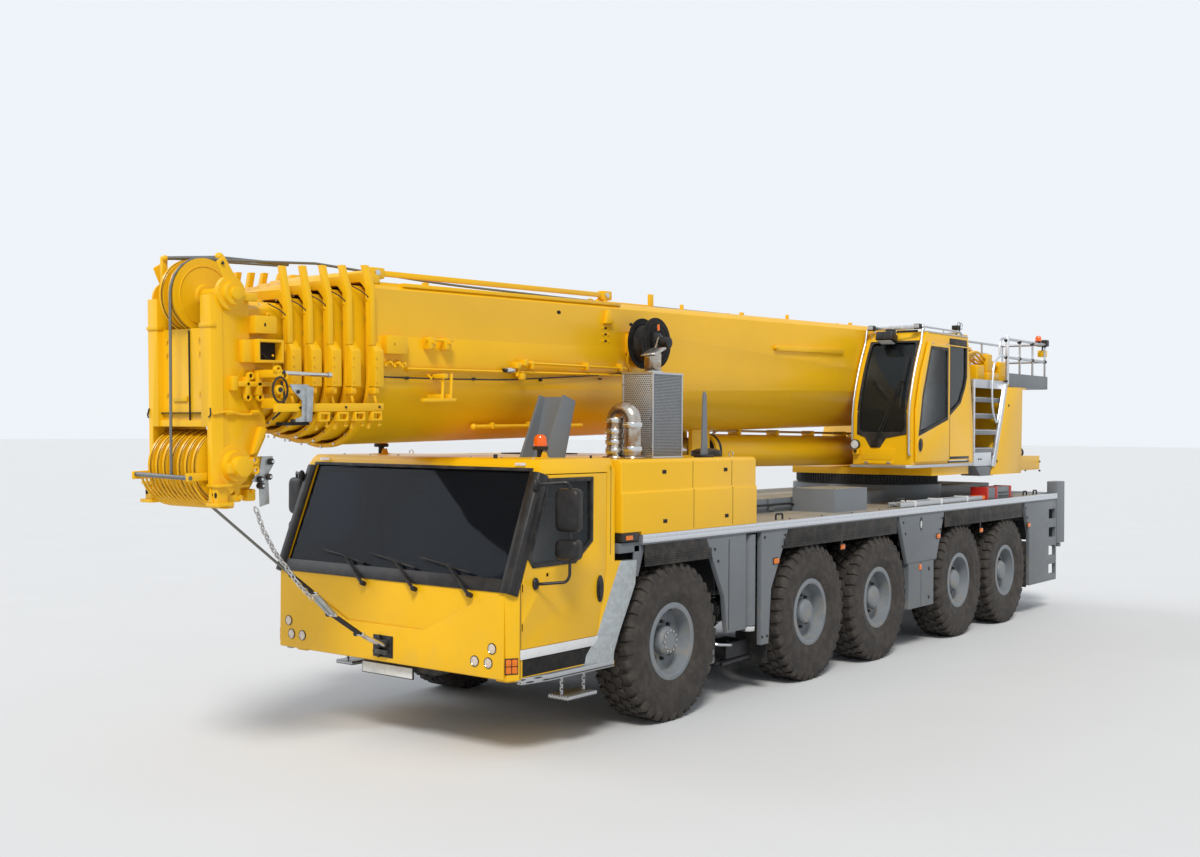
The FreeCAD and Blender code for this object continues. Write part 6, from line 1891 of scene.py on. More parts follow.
            shape.block(at(1.195, distance, 1.77), at(1.437, distance + 0.075, 1.942), 2, bevel=0.006)
        shape.dome(at(0.95, 1.6, 1.95), 0.02, 1, fineness=12)
        for distance in (3.6, 4.36):
            for x in (0.72, 1.23):
                shape.bolts([at(x, distance, 2.04)], Axis.Z, 0.01, 0.006, 4)
        return shape

    def rear(self) -> Shape:
        """The lamp carriers, tow jaw and the ladder's rungs at the carrier's rear.

        Returns:
            The piece.
        """
        shape = Shape("carrier_rear", [GREY, PLASTIC, RED_LENS, AMBER, CLEAR, STEEL_DARK, BLANK, DARK])
        back = station(10.745)
        shape.block((0.86, back - 0.004, 1.18), (1.3, back + 0.075, 1.34), 1, bevel=0.01)
        for x, finish in ((0.91, 2), (1.0, 3), (1.09, 2), (1.18, 4), (1.26, 2)):
            shape.lathe([(0.0, 0.036), (0.01, 0.036), (0.018, 0.024), (0.02, 0.0), (0.0, 0.0)], Axis.Y,
                        (x, back + 0.074, 1.26), finish, steps=20, closed=False)
        shape.block((0.9, back - 0.01, 1.1), (1.26, back + 0.03, 1.165), 5, bevel=0.006)
        shape.lathe([(0.0, 0.045), (0.008, 0.045), (0.012, 0.03), (0.013, 0.0), (0.0, 0.0)], Axis.Y,
                    (1.22, back - 0.002, 1.46), 2, steps=24, closed=False)
        shape.bolts([(0.3, back, 1.1 + 0.12 * index) for index in range(4)], Axis.Y, 0.014, 0.012, 5)
        shape.pipe([(0.55, back, 1.52), (0.55, back + 0.05, 1.52), (0.78, back + 0.05, 1.52),
                    (0.78, back, 1.52)], 0.012, 5, bend=0.03)
        shape.mirror()
        shape.block((-0.17, back - 0.004, 1.18), (0.17, back + 0.03, 1.46), 5, bevel=0.01)
        shape.block((-0.11, back, 1.24), (0.11, back + 0.11, 1.28), 7, bevel=0.012)
        shape.block((-0.11, back, 1.36), (0.11, back + 0.11, 1.4), 7, bevel=0.012)
        shape.rod((0, back + 0.065, 1.21), (0, back + 0.065, 1.46), 0.02, 5, bevel=0.004)
        shape.block((-0.78, back + 0.002, 1.24), (-0.3, back + 0.012, 1.34), 6, bevel=0.003)
        return shape

    def running_gear(self) -> Shape:
        """The springs' cylinders, shafts and air tanks that show behind and between the wheels.

        Returns:
            The piece.
        """
        shape = Shape("running_gear", [DARK, STEEL, STEEL_DARK, RUBBER])
        for distance in AXLES:
            shape.rod(at(0.8, distance + 0.24, 0.82), at(0.68, distance + 0.24, 1.42), 0.062, 0, sides=20,
                      bevel=0.008)
            shape.rod(at(0.808, distance + 0.24, 0.78), at(0.8, distance + 0.24, 0.84), 0.036, 1)
            shape.pipe([at(0.55, distance - 0.1, 1.2), at(0.76, distance - 0.14, 1.02),
                        at(0.96, distance - 0.16, 0.9)], 0.012, 3, bend=0.06)
        shape.mirror()
        for distance in AXLES:
            shape.dome(at(0.0, distance, 0.78), 0.27, 0, stretch=(0.9, 1.0, 0.85), fineness=24)
        for first, second in zip(AXLES, AXLES[1:]):
            shape.rod(at(0.0, first + 0.26, 0.8), at(0.0, second - 0.26, 0.8), 0.055, 2, sides=20)
        return shape

    def outrigger(self, frame: dict, place: str, side_name: str) -> None:
        """Dress one outrigger beam and its jack.

        Args:
            place: Front or rear.
            side_name: The side's name.
        """
        beam = f"outrigger_beam_{place}_{side_name}"
        jack = f"outrigger_jack_{place}_{side_name}"
        PackedCopy(beam, [GREY], bevel=0.006).build(frame)
        PackedCopy(jack, [GREY, STEEL], self.jack_finish, bevel=0.005).build(frame)
        low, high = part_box(jack)
        middle = Vector(((low[0] + high[0]) / 2, (low[1] + high[1]) / 2, 0.0))
        if place == "front":
            shape = Shape(f"jack_rings_{side_name}", [GREY, STEEL_DARK])
            for height in (0.8, 1.12, 1.41):
                shape.lathe([(0.0, 0.0515), (0.0, 0.062), (0.02, 0.062), (0.02, 0.0515)], Axis.Z,
                            (middle.x, middle.y, height), 0, steps=28)
            for bearing in (0.5, 2.1, 3.7, 5.3):
                spot = middle + Vector((0.058 * math.cos(bearing), 0.058 * math.sin(bearing), 0.76))
                shape.rod(spot, spot + Vector((0, 0, 0.03)), 0.006, 1, sides=6)
            shape.finish(f"outrigger_jack_{place}_{side_name}")

    @staticmethod
    def jack_finish(centre: Vector, normal: Vector) -> int:
        """Which finish a face of a jack takes: grey paint, or bare steel near its foot."""
        return 1 if centre.z < 0.758 and abs(normal.z) < 0.5 else 0


# Upper structure


def cab_front(height: float, out: float = 0.0) -> float:
    """How far behind the first axle the crane cab's curved front stands at a height.

    Args:
        height: The height.
        out: How far in front of it the place is.

    Returns:
        The distance.
    """
    share = min(max((height - 2.985) / 1.02, 0.0), 1.0)
    bow = 0.208 * share * (1.0 - share)
    share = min(max((height - 2.97 - 0.404 * bow) / 1.02, 0.0), 1.0)
    return 5.31 + 0.45 * share - 0.915 * bow - out


@dataclass
class CraneCab:
    """The operator's cab beside the boom: glazing, rails, lamps, sliding door and seat."""

    window: Sequence[Flat] = ((5.445, 2.66), (6.348, 2.875), (6.348, 3.802), (5.81, 3.802), (5.555, 3.16))
    quarter: Sequence[Flat] = ((6.465, 2.915), (6.845, 3.10), (6.995, 3.31), (7.055, 3.45), (7.055, 3.87),
                               (6.465, 3.87))
    glazing_border: Sequence[Flat] = (
        (0.655, 2.675), (0.765, 2.635), (0.845, 2.505), (0.975, 2.505), (1.06, 2.625), (1.335, 2.675),
        (1.345, 3.3), (1.34, 3.875), (0.66, 3.875), (0.655, 3.3))
    glazing_blocks: Table = (
        ((1.396, 6.47, 3.872), (1.4035, 7.05, 3.945), 0, 0.002),
        ((1.36, 6.43, 2.3), (1.4025, 7.14, 2.385), 1, 0.004),
        ((1.398, 6.46, 2.322), (1.4045, 7.08, 2.34), 2, 0.002),
        ((0.72, 5.303, 2.3), (1.16, 5.312, 2.345), 3, 0.003))
    rails_blocks: Table = (
        ((0.64, 5.715, 4.022), (1.36, 5.745, 4.078), 3, 0.006),
        ((1.3, 5.8, 3.984), (1.41, 7.06, 4.002), 0, 0.004))
    lamps_bowl: Sequence[Flat] = (
        (0.085, 0.0), (0.082, 0.035), (0.045, 0.058), (0.0, 0.064), (-0.008, 0.064), (-0.008, 0.056),
        (0.0, 0.056))
    lamps_blocks: Table = (
        ((0.9, 5.6, 3.95), (0.98, 5.75, 4.03), 4, 0.008),
        ((0.615, 5.25, 2.415), (0.7, 5.315, 2.5), 3, 0.012),
        ((1.225, 6.94, 4.09), (1.315, 7.05, 4.15), 0, 0.012))
    lamps_pipes: Table = (
        (((1.06, 5.6, 3.99), (1.32, 5.66, 3.995)), 0.016),
        (((1.29, 7.06, 4.09), (1.31, 7.13, 3.95), (1.3, 7.2, 3.65), (1.31, 7.245, 3.35), (1.26, 7.3, 3.05)),
         0.008, 0, 8, 0.08))
    lamps_rods: Table = (
        ((0.665, 5.25, 2.455), (0.665, 5.225, 2.455), 0.018, 4, 12),
        ((1.27, 7.0, 3.985), (1.27, 7.0, 4.11), 0.012, 0, 10),
        ((1.27, 6.945, 4.12), (1.27, 6.915, 4.12), 0.022, 0, 16, 0.004))
    room_blocks: Table = (
        ((0.76, 6.1, 2.66), (1.22, 6.62, 2.8), 0, 0.05), ((0.72, 6.2, 2.34), (1.26, 6.58, 2.66), 1, 0.03),
        ((0.69, 5.98, 2.86), (0.77, 6.5, 2.98), 1, 0.02), ((1.21, 5.98, 2.86), (1.29, 6.5, 2.98), 1, 0.02),
        ((0.7, 5.52, 2.36), (0.84, 5.66, 2.72), 1, 0.02), ((1.12, 5.5, 2.36), (1.24, 5.62, 2.58), 1, 0.02),
        ((0.66, 5.7, 3.02), (0.71, 5.98, 3.3), 1, 0.01), ((0.66, 6.98, 2.36), (1.34, 7.12, 3.0), 2, 0.02))

    def build(self, frame: dict) -> None:
        """Dress the cab and its door.
        """
        PackedCopy("crane_cab_shell", [YELLOW, TRIM], self.shell_finish, bevel=0.010, segments=3).build(frame)
        PackedCopy("crane_cab_door", [YELLOW, CAB_GLASS], self.door_finish, bevel=0.005).build(frame)
        self.glazing().finish("turntable")
        self.rails().finish("turntable")
        self.lamps().finish("turntable")
        self.room().finish("turntable")
        self.door().finish("crane_cab_door")

    @staticmethod
    def shell_finish(centre: Vector, _normal: Vector) -> int:
        """Which finish a face of the shell takes: paint outside, lining inside.

        Args:
            centre: The face's middle.
            _normal: Not needed here.

        Returns:
            The finish's place in the list.
        """
        distance = centre.y - FIRST_AXLE_Y
        rear = 7.28 - 0.156 * max(centre.z - 2.77, 0.0)
        inside = 0.625 < centre.x < 1.375 and 2.295 < centre.z < 3.965
        return 1 if inside and cab_front(centre.z) + 0.03 < distance < rear - 0.03 else 0

    @staticmethod
    def door_finish(centre: Vector, normal: Vector) -> int:
        """Which finish a face of the door takes: its pane or its panel."""
        return 1 if abs(normal.x) > 0.98 and abs(centre.x - 1.42) < 0.006 else 0

    @staticmethod
    def curved(outline: Sequence[Flat], holes: Sequence[Sequence[Flat]], depth: float,
               out: float) -> bmesh.types.BMesh:
        """A flat form in the (x, z) plane, bent to the cab's front.

        Args:
            outline: Its corners.
            holes: The outlines that are cut out of it.
            depth: Its thickness.
            out: How far its face stands in front of the skin.

        Returns:
            The bent form.
        """
        part = plate_form(outline, Axis.Y, 0.0, depth, holes=holes)
        for step in range(10):
            whole = part.verts[:] + part.edges[:] + part.faces[:]
            bmesh.ops.bisect_plane(part, geom=whole, plane_co=(0, 0, 2.985 + 0.1 * step), plane_no=(0, 0, 1))
        for spot in part.verts:
            spot.co.y += station(cab_front(spot.co.z, out))
        return part

    def glazing(self) -> Shape:
        """The black border of the windscreen, its wipers and the side window's seal.

        Returns:
            The piece.
        """
        shape = Shape("crane_cab_glazing", [RUBBER, PLASTIC, STEEL, YELLOW, ALLOY])
        pane = soft_box((0.692, 2.705), (1.308, 3.85), 0.05)
        shape.add(self.curved(self.glazing_border, [pane], 0.01, 0.006))
        for start, end, radius in (((0.905, 2.57), (1.215, 3.36), 0.009),
                                   ((0.94, 2.56), (1.235, 3.33), 0.006)):
            shape.pipe([(x, station(cab_front(z, 0.035)), z) for x, z in (start, end)], radius, 1)
        blade = [(1.245, station(cab_front(z, 0.022)), z) for z in (3.02, 3.15, 3.28, 3.41, 3.54, 3.66)]
        shape.pipe(blade, 0.01, 1)
        for x, height, radius in ((0.905, 2.56, 0.026), (0.94, 2.55, 0.018), (1.235, 3.345, 0.02)):
            seat = Vector((x, station(cab_front(height, 0.0)), height))
            shape.rod(seat, seat - Vector((0, 0.045, 0)), radius, 1, sides=16, bevel=0.004)
        quarter = side_line(self.quarter)
        shape.rim(grown(quarter, -0.028), 0.034, Axis.X, 1.387, 1.4035)
        shape.blocks(self.glazing_blocks, at)
        shape.plate([(0.695, 2.495), (0.742, 2.348), (1.138, 2.348), (1.195, 2.495)], Axis.Y,
                    station(5.299), station(5.312), 3, bevel=0.005, segments=3)
        for x in (0.787, 1.094):
            shape.block(at(x - 0.028, 5.298, 2.302), at(x + 0.028, 5.31, 2.328), 4, bevel=0.004)
        return shape

    def rails(self) -> Shape:
        """Grab rails up both front corners, the roof rails with their posts, and the sill strip.

        Returns:
            The piece.
        """
        shape = Shape("crane_cab_rails", [ALLOY, STEEL, STEEL_DARK, WHITE_RAIL])
        for x, low in ((0.612, 2.48), (1.388, 2.42)):
            route = [at(x, 5.3, low), at(x, 5.262, low + 0.01), at(x, 5.258, 2.9)]
            route += [at(x, cab_front(z, 0.052), z) for z in (3.1, 3.25, 3.4, 3.55, 3.7, 3.85)]
            route += [at(x, 5.66, 4.03), at(x, 5.8, 4.055)]
            shape.pipe(route, 0.0135, 0, sides=12, bend=0.03)
            for height in (2.6, 3.72):
                here = cab_front(height)
                shape.rod(at(x, here + 0.004, height), at(x, here - 0.05, height), 0.009, 1, sides=10)
        shape.blocks(self.rails_blocks, at)
        for x in (0.655, 1.345):
            shape.dome(at(x, 5.74, 4.055), 0.034, 1, fineness=12)
            shape.rod(at(x, 5.79, 3.985), at(x, 5.79, 4.05), 0.014, 1, sides=12)
            shape.pipe([at(x, 5.74, 4.055), at(x, 6.95, 4.058), at(x, 7.06, 3.99)], 0.0125, 0, sides=12,
                       bend=0.08)
            shape.rod(at(x, 6.4, 3.985), at(x, 6.4, 4.055), 0.011, 1, sides=12)
        shape.pipe([at(0.655, 6.98, 4.05), at(1.345, 6.98, 4.05)], 0.0125, 0, sides=12)
        strip = [(0.592, station(5.245)), (1.36, station(5.245)), (1.425, station(5.3)),
                 (1.425, station(7.275)), (1.402, station(7.275)), (1.402, station(5.32)),
                 (1.34, station(5.27)), (0.592, station(5.27))]
        shape.plate(strip, Axis.Z, 2.252, 2.292, 0, bevel=0.006)
        return shape

    def lamps(self) -> Shape:
        """The work lamps, the round headlamp on its bracket, and the camera at the rear corner.

        Returns:
            The piece.
        """
        shape = Shape("crane_cab_lamps", [PLASTIC, CLEAR, CHROME, YELLOW, STEEL_DARK])
        tilt = Matrix.Translation(at(0.94, 5.56, 3.91)) @ Matrix.Rotation(math.radians(-16), 4, "X")
        shape.block((-0.115, -0.1, -0.055), (0.115, 0.09, 0.06), 0, bevel=0.018, segments=3, move=tilt)
        shape.block((-0.095, -0.075, -0.06), (0.095, 0.07, -0.053), 1, bevel=0.004, move=tilt)
        shape.blocks(self.lamps_blocks, at)
        shape.pipes(self.lamps_pipes, at)
        for x in (0.68, 1.32):
            shape.block(at(x - 0.045, 5.62, 4.02), at(x + 0.045, 5.7, 4.085), 0, bevel=0.014, segments=3)
            shape.block(at(x - 0.036, 5.612, 4.03), at(x + 0.036, 5.622, 4.076), 1, bevel=0.006)
        spot = at(0.66, 5.235, 2.545)
        shape.lathe(self.lamps_bowl, Axis.Y, spot, 0, steps=28, closed=False)
        shape.lathe([(0.03, 0.0), (0.022, 0.03), (0.0, 0.054)], Axis.Y, spot, 2, steps=28, closed=False)
        shape.lathe([(-0.014, 0.0), (-0.011, 0.035), (-0.002, 0.056)], Axis.Y, spot, 1, steps=28,
                    closed=False)
        shape.rods(self.lamps_rods, at)
        for move, radius in ((0.02, 0.055), (0.05, 0.045)):
            ring = [(1.27 + move, station(7.04) + radius * math.cos(math.tau * i / 14),
                     4.14 + radius * math.sin(math.tau * i / 14)) for i in range(14)]
            shape.pipe(ring, 0.004, 0)
        return shape

    def room(self) -> Shape:
        """The seat with its armrests and levers, the screen and the roof blind.

        Returns:
            The piece.
        """
        shape = Shape("crane_cab_room", [SEAT, PLASTIC, TRIM, STEEL])
        for low, high, finish, bevel in self.room_blocks:
            shape.block(at(*low), at(*high), finish, bevel=bevel, segments=3)
        lean = Matrix.Translation(at(0.99, 6.6, 2.76)) @ Matrix.Rotation(math.radians(-12), 4, "X")
        shape.block((-0.22, -0.05, 0.0), (0.22, 0.07, 0.6), 0, bevel=0.05, segments=3, move=lean)
        shape.block((-0.13, -0.04, 0.62), (0.13, 0.06, 0.8), 0, bevel=0.04, segments=3, move=lean)
        for x in (0.73, 1.25):
            shape.rod(at(x, 6.03, 2.97), at(x, 5.99, 3.14), 0.01, 3, sides=10)
            shape.dome(at(x, 5.985, 3.16), 0.03, 1, stretch=(1, 1, 1.5))
        return shape

    def door(self) -> Shape:
        """The sliding door's window seal, round handle recess, rail rollers and stripes of trim.

        Returns:
            The piece.
        """
        shape = Shape("crane_cab_door_trim", [RUBBER, PLASTIC, YELLOW, ALLOY])
        shape.rim(grown(side_line(self.window), -0.034), 0.04, Axis.X, 1.426, 1.4405)
        middle = (station(5.495), 2.541)
        shape.plate(oval(middle, (0.072, 0.084)), Axis.X, 1.434, 1.4395, 0)
        shape.rim(oval(middle, (0.076, 0.088), 32), 0.014, Axis.X, 1.436, 1.446, 2, bevel=0.003)
        shape.block((1.436, middle[0] - 0.012, middle[1] - 0.06),
                    (1.445, middle[0] + 0.03, middle[1] + 0.05), 1, bevel=0.008)
        for distance in (5.86, 6.32):
            shape.block(at(1.43, distance - 0.03, 3.845), at(1.446, distance + 0.03, 3.858), 3, bevel=0.003)
        shape.block(at(1.425, 6.404, 2.335), at(1.4395, 6.412, 3.855), 0)
        return shape


@dataclass
class Superstructure:
    """The slewing frame: its paint, gear ring, ladder, platform, rails, lamps, hoses, winch and ram."""

    treads: Sequence[float] = (2.49, 2.74, 2.965, 3.19)
    ladder_blocks: Table = (
        ((1.17, 7.33, 2.24), (1.398, 7.96, 2.428), 2, 0.01), ((1.2, 7.33, 2.428), (1.385, 7.95, 2.44), 5),
        ((0.645, 7.315, 3.405), (1.385, 8.562, 3.43), 4, 0.003),
        ((1.372, 7.315, 3.318), (1.396, 8.4, 3.438), 0, 0.005),
        ((0.645, 7.315, 3.33), (1.385, 7.332, 3.43), 0, 0.003))
    ladder_plates: Table = (
        (((7.94, 2.23), (8.04, 2.23), (8.5, 3.405), (8.39, 3.405)), 1.385, 1.425, 2, 0.006),
        (((7.965, 2.25), (8.0, 2.25), (8.44, 3.39), (8.405, 3.39)), 1.424, 1.432, 0, 0.002),
        (((7.31, 2.43), (7.355, 2.43), (7.355, 3.42), (7.31, 3.42)), 1.36, 1.402, 2, 0.006),
        (((7.46, 2.28), (8.06, 2.28), (8.06, 2.1), (7.6, 2.1), (7.46, 2.2)), 1.1, 1.385, 3, 0.008))
    platform_blocks: Table = (
        ((1.397, 8.6, 3.366), (1.405, 10.186, 3.562), 7, 0.003),
        ((0.64, 10.178, 3.366), (1.405, 10.187, 3.562), 7, 0.003),
        ((1.23, 10.16, 4.03), (1.4, 10.27, 4.13), 3, 0.014, 3),
        ((1.245, 10.268, 4.045), (1.385, 10.276, 4.115), 4, 0.006),
        ((1.25, 10.17, 3.87), (1.37, 10.27, 3.97), 5, 0.012))
    platform_rods: Table = (
        ((1.385, 8.575, 3.4), (1.385, 8.575, 4.1), 0.024, 1, 16, 0.004),
        ((1.31, 10.22, 3.96), (1.31, 10.22, 4.04), 0.012, 6, 10))
    machinery_blocks: Table = (
        ((0.66, 7.62, 3.44), (0.84, 8.02, 3.66)), ((0.7, 8.06, 3.44), (0.86, 8.36, 3.86)),
        ((0.72, 8.66, 3.44), (0.9, 8.94, 3.7)), ((0.7, 9.02, 3.44), (0.92, 9.48, 3.6)),
        ((0.76, 9.08, 3.6), (0.88, 9.3, 3.88)), ((0.72, 9.56, 3.44), (0.9, 9.92, 3.78)))
    machinery_pair_rods: Table = (
        ((0.637, 9.0, 3.45), (0.668, 9.0, 3.45), 0.13, 0, 36, 0.008),
        ((0.193, 6.8, 2.44), (0.215, 6.8, 2.44), 0.085, 2, 28, 0.006),
        ((0.637, 9.56, 2.76), (0.7, 9.56, 2.76), 0.15, 0, 32, 0.01))
    machinery_blocks_more: Table = (
        ((0.66, 9.14, 3.06), (0.95, 9.5, 3.36), 0, 0.02), ((0.66, 9.6, 2.78), (0.9, 9.88, 3.34), 0, 0.02))
    panels_pair_blocks: Table = (
        ((0.7, 9.096, 2.4), (1.38, 9.125, 3.33), 1, 0.012),
        ((0.95, 10.12, 2.19), (1.15, 10.158, 2.3), 4, 0.01))

    def build(self, frame: dict) -> None:
        """Dress everything that slews apart from the cab and the boom.
        """
        finishes = [YELLOW, DECKING, ALLOY, GREY, DARK]
        PackedCopy("turntable", finishes, self.frame_finish, bevel=0.008).build(frame)
        PackedCopy("winch_drum", [YELLOW], bevel=0.006).build(frame)
        PackedCopy("luff_barrel", [YELLOW], bevel=0.010).build(frame)
        PackedCopy("luff_rod", [STEEL], bevel=0.006).build(frame)
        self.ladder().finish("turntable")
        self.platform().finish("turntable")
        self.machinery().finish("turntable")
        self.panels().finish("turntable")
        self.wraps().finish("winch_drum")
        self.ram().finish("luff_barrel")

    @staticmethod
    def frame_finish(centre: Vector, normal: Vector) -> int:
        """Which finish a face of the frame takes: paint, walkway, rail, toe board or gear ring.

        Args:
            centre: The face's middle.
            normal: The direction that it faces.

        Returns:
            The finish's place in the list.
        """
        distance = centre.y - FIRST_AXLE_Y
        if centre.z < 2.149 and math.hypot(centre.x, distance - 6.90) < 0.965:
            return 4
        if centre.z > 3.365 and centre.x > 0.645 and distance > 8.5:
            if centre.z > 3.57:
                return 2
            return 1 if normal.z > 0.9 and abs(centre.z - 3.43) < 0.006 else 3
        return 0

    def ladder(self) -> Shape:
        """The ladder behind the cab: treads, stringers, bottom box, hoop and landing.

        Returns:
            The piece.
        """
        shape = Shape("crane_ladder", [ALLOY, HOLED_SIDE, WHITE_RAIL, GREY, DECKING, STEEL_DARK])
        for height in self.treads:
            rear = 7.98 + (height - 2.23) * 0.37
            shape.block(at(1.17, 7.335, height - 0.01), at(1.395, rear, height), 0, bevel=0.003)
            shape.block(at(1.375, 7.335, height - 0.068), at(1.395, rear, height - 0.008), 1, bevel=0.002)
            shape.block(at(1.17, 7.335, height - 0.05), at(1.185, rear, height - 0.008), 0, bevel=0.002)
            for index in range(8):
                tooth = 7.38 + index * (rear - 7.43) / 8
                shape.block(at(1.19, tooth, height - 0.001), at(1.385, tooth + 0.014, height + 0.006), 1)
        shape.blocks(self.ladder_blocks, at)
        shape.bolts([at(1.398, distance, 2.335) for distance in (7.48, 7.56)], Axis.X, finish=5)
        shape.plates(self.ladder_plates, Axis.X, side_line)
        shape.pipe([at(1.36, 8.58, 3.8), at(1.41, 8.24, 3.8), at(1.425, 7.95, 3.68), at(1.425, 7.88, 3.27),
                    at(1.425, 7.92, 2.98), at(1.42, 8.09, 2.8), at(1.41, 8.33, 3.32)], 0.0165, 2, sides=12,
                   bend=0.13)
        return shape

    def platform(self) -> Shape:
        """More rails round the platform, the beacon, the rear lamp and the clamps.

        Returns:
            The piece.
        """
        shape = Shape("platform_fittings", [ALLOY, WHITE_RAIL, BEACON, PLASTIC, CLEAR, YELLOW, STEEL_DARK,
                                            GREY])
        shape.blocks(self.platform_blocks, at)
        for height in (4.055, 3.79):
            shape.pipe([at(0.69, 7.5, height - 0.22), at(0.69, 7.5, height), at(0.69, 10.14, height)],
                       0.018, 0, sides=12, bend=0.12)
        for distance in (7.5, 8.56, 9.35):
            shape.rod(at(0.69, distance, 3.43), at(0.69, distance, 4.055), 0.016, 0, sides=12)
        shape.pipe([at(1.368, 8.58, 4.055), at(1.368, 8.4, 4.055), at(1.368, 8.32, 3.98),
                    at(1.375, 8.3, 3.82)], 0.018, 0, sides=12, bend=0.09)
        shape.rods(self.platform_rods, at)
        for distance in (8.575, 9.09, 9.62, 10.16):
            for height in (4.035, 3.79):
                shape.lathe([(-0.024, 0.0), (-0.024, 0.027), (0.024, 0.027), (0.024, 0.0)], Axis.Y,
                            at(1.368, distance, height), 6, steps=16, closed=False)
            shape.block(at(1.335, distance - 0.035, 3.43), at(1.4, distance + 0.035, 3.455), 6, bevel=0.004)
        beacon = at(1.36, 9.9, 4.075)
        shape.lathe([(0.0, 0.0), (0.0, 0.048), (0.018, 0.05), (0.02, 0.0)], Axis.Z, beacon, 3, closed=False)
        shape.lathe([(0.018, 0.0), (0.018, 0.045), (0.075, 0.043), (0.098, 0.028), (0.105, 0.0)], Axis.Z,
                    beacon, 2, closed=False)
        return shape

    def machinery(self) -> Shape:
        """The gear teeth, the valve blocks and the hoses beside the boom's foot, and the pins' caps.

        Returns:
            The piece.
        """
        shape = Shape("slew_machinery", [YELLOW, DARK, STEEL_DARK, RUBBER, STEEL])
        shape.rods(self.machinery_pair_rods, at)
        for index in range(8):
            angle = math.tau * index / 8
            spot = (0.668, station(9.0) + 0.1 * math.cos(angle), 3.45 + 0.1 * math.sin(angle))
            shape.bolts([spot], Axis.X, 0.013, 0.014, 4)
        shape.mirror()
        tooth = block_form((0.01, -0.01, 0.955), (0.125, 0.01, 0.974), bevel=0.003, segments=1)
        upright = Matrix.Translation(at(0.0, 6.9, 2.01)) @ Matrix.Rotation(-math.pi / 2, 4, "Y")
        shape.wreath(tooth, 132, 1, upright)
        for low, high in self.machinery_blocks:
            shape.block(at(*low), at(*high), 0, bevel=0.022, segments=3)
            middle = (low[1] + high[1]) / 2
            shape.bolts([at(low[0] + 0.05, middle + move, high[2]) for move in (-0.08, 0.0, 0.08)], Axis.Z,
                        0.014, 0.016, 4)
        for index in range(7):
            x = 0.7 + 0.022 * index
            start = 7.44 + 0.05 * index
            rise = 3.8 + 0.035 * (index % 4)
            shape.pipe([at(x, start, 3.44), at(x + 0.05, start + 0.1, rise),
                        at(x + 0.03, start + 0.55, rise - 0.05), at(x + 0.04, start + 0.95, rise + 0.04),
                        at(x, start + 1.55, rise - 0.12), at(x + 0.03, start + 2.1, 3.66),
                        at(x, start + 2.3, 3.45)], 0.021, 0, bend=0.22)
        for index in range(4):
            x = 0.72 + 0.05 * index
            shape.pipe([at(x, 9.12, 3.34), at(x, 9.3, 3.1), at(x, 9.55, 3.06), at(x, 9.84, 3.32)], 0.02,
                       3 if index % 2 else 0, bend=0.1)
        shape.blocks(self.machinery_blocks_more, at)
        shape.rod(at(0.6, 9.56, 2.76), at(0.9, 9.56, 2.76), 0.105, 0, sides=28, bevel=0.012)
        return shape

    def panels(self) -> Shape:
        """Seams, plugs, latches, louvres and the lifting eyes of both side bodies and the base.

        Returns:
            The piece.
        """
        shape = Shape("body_panels", [SHADE, YELLOW, PLASTIC, STEEL_DARK, AMBER])
        shape.blocks(self.panels_pair_blocks, at)
        for height in (2.62, 2.86, 3.1):
            shape.block(at(0.78, 9.122, height), at(1.3, 9.129, height + 0.1), 0, bevel=0.006)
        for distance in (9.35, 9.95):
            shape.add(ring_form(0.062, 0.016, 8, 24), 3,
                      Matrix.Translation(at(1.05, distance, 2.4)) @ Axis.Y.turn())
        shape.bolts([at(0.2 + 0.22 * i, 10.15, 2.12 + 0.14 * j) for i in range(6) for j in range(2)],
                    Axis.Y, 0.016, 0.014, 3)
        shape.mirror()
        for distance, height in ((8.597, 3.093), (8.153, 2.297)):
            shape.rod(at(1.398, distance, height), at(1.404, distance, height), 0.02, 0, sides=16)
        for index in range(12):
            shape.block(at(-1.405, 8.3, 2.4 + index * 0.055), at(-1.396, 9.0, 2.425 + index * 0.055), 0,
                        bevel=0.003)
        shape.rim(side_line([(8.22, 2.32), (9.06, 2.32), (9.08, 3.18), (8.42, 3.18)]), 0.008, Axis.X,
                  -1.404, -1.396, 0)
        for height in (2.6, 3.0):
            shape.block(at(-1.41, 9.02, height), at(-1.396, 9.06, height + 0.07), 2, bevel=0.005)
        return shape

    def wraps(self) -> Shape:
        """The rope's turns on the winch drum.

        Returns:
            The piece.
        """
        shape = Shape("winch_rope", [ROPE])
        turns = 28
        pitch = 0.605 / turns
        profile = [(-0.3025, 0.195)]
        for index in range(turns):
            for step in range(5):
                angle = math.pi * (0.5 + step) / 5
                profile.append((-0.3025 + pitch * (index + 0.5) - pitch / 2 * math.cos(angle),
                                0.2 + pitch / 2 * math.sin(angle)))
        profile.append((0.3025, 0.195))
        shape.lathe(profile, Axis.X, at(0.0, 9.56, 2.76), steps=56)
        return shape

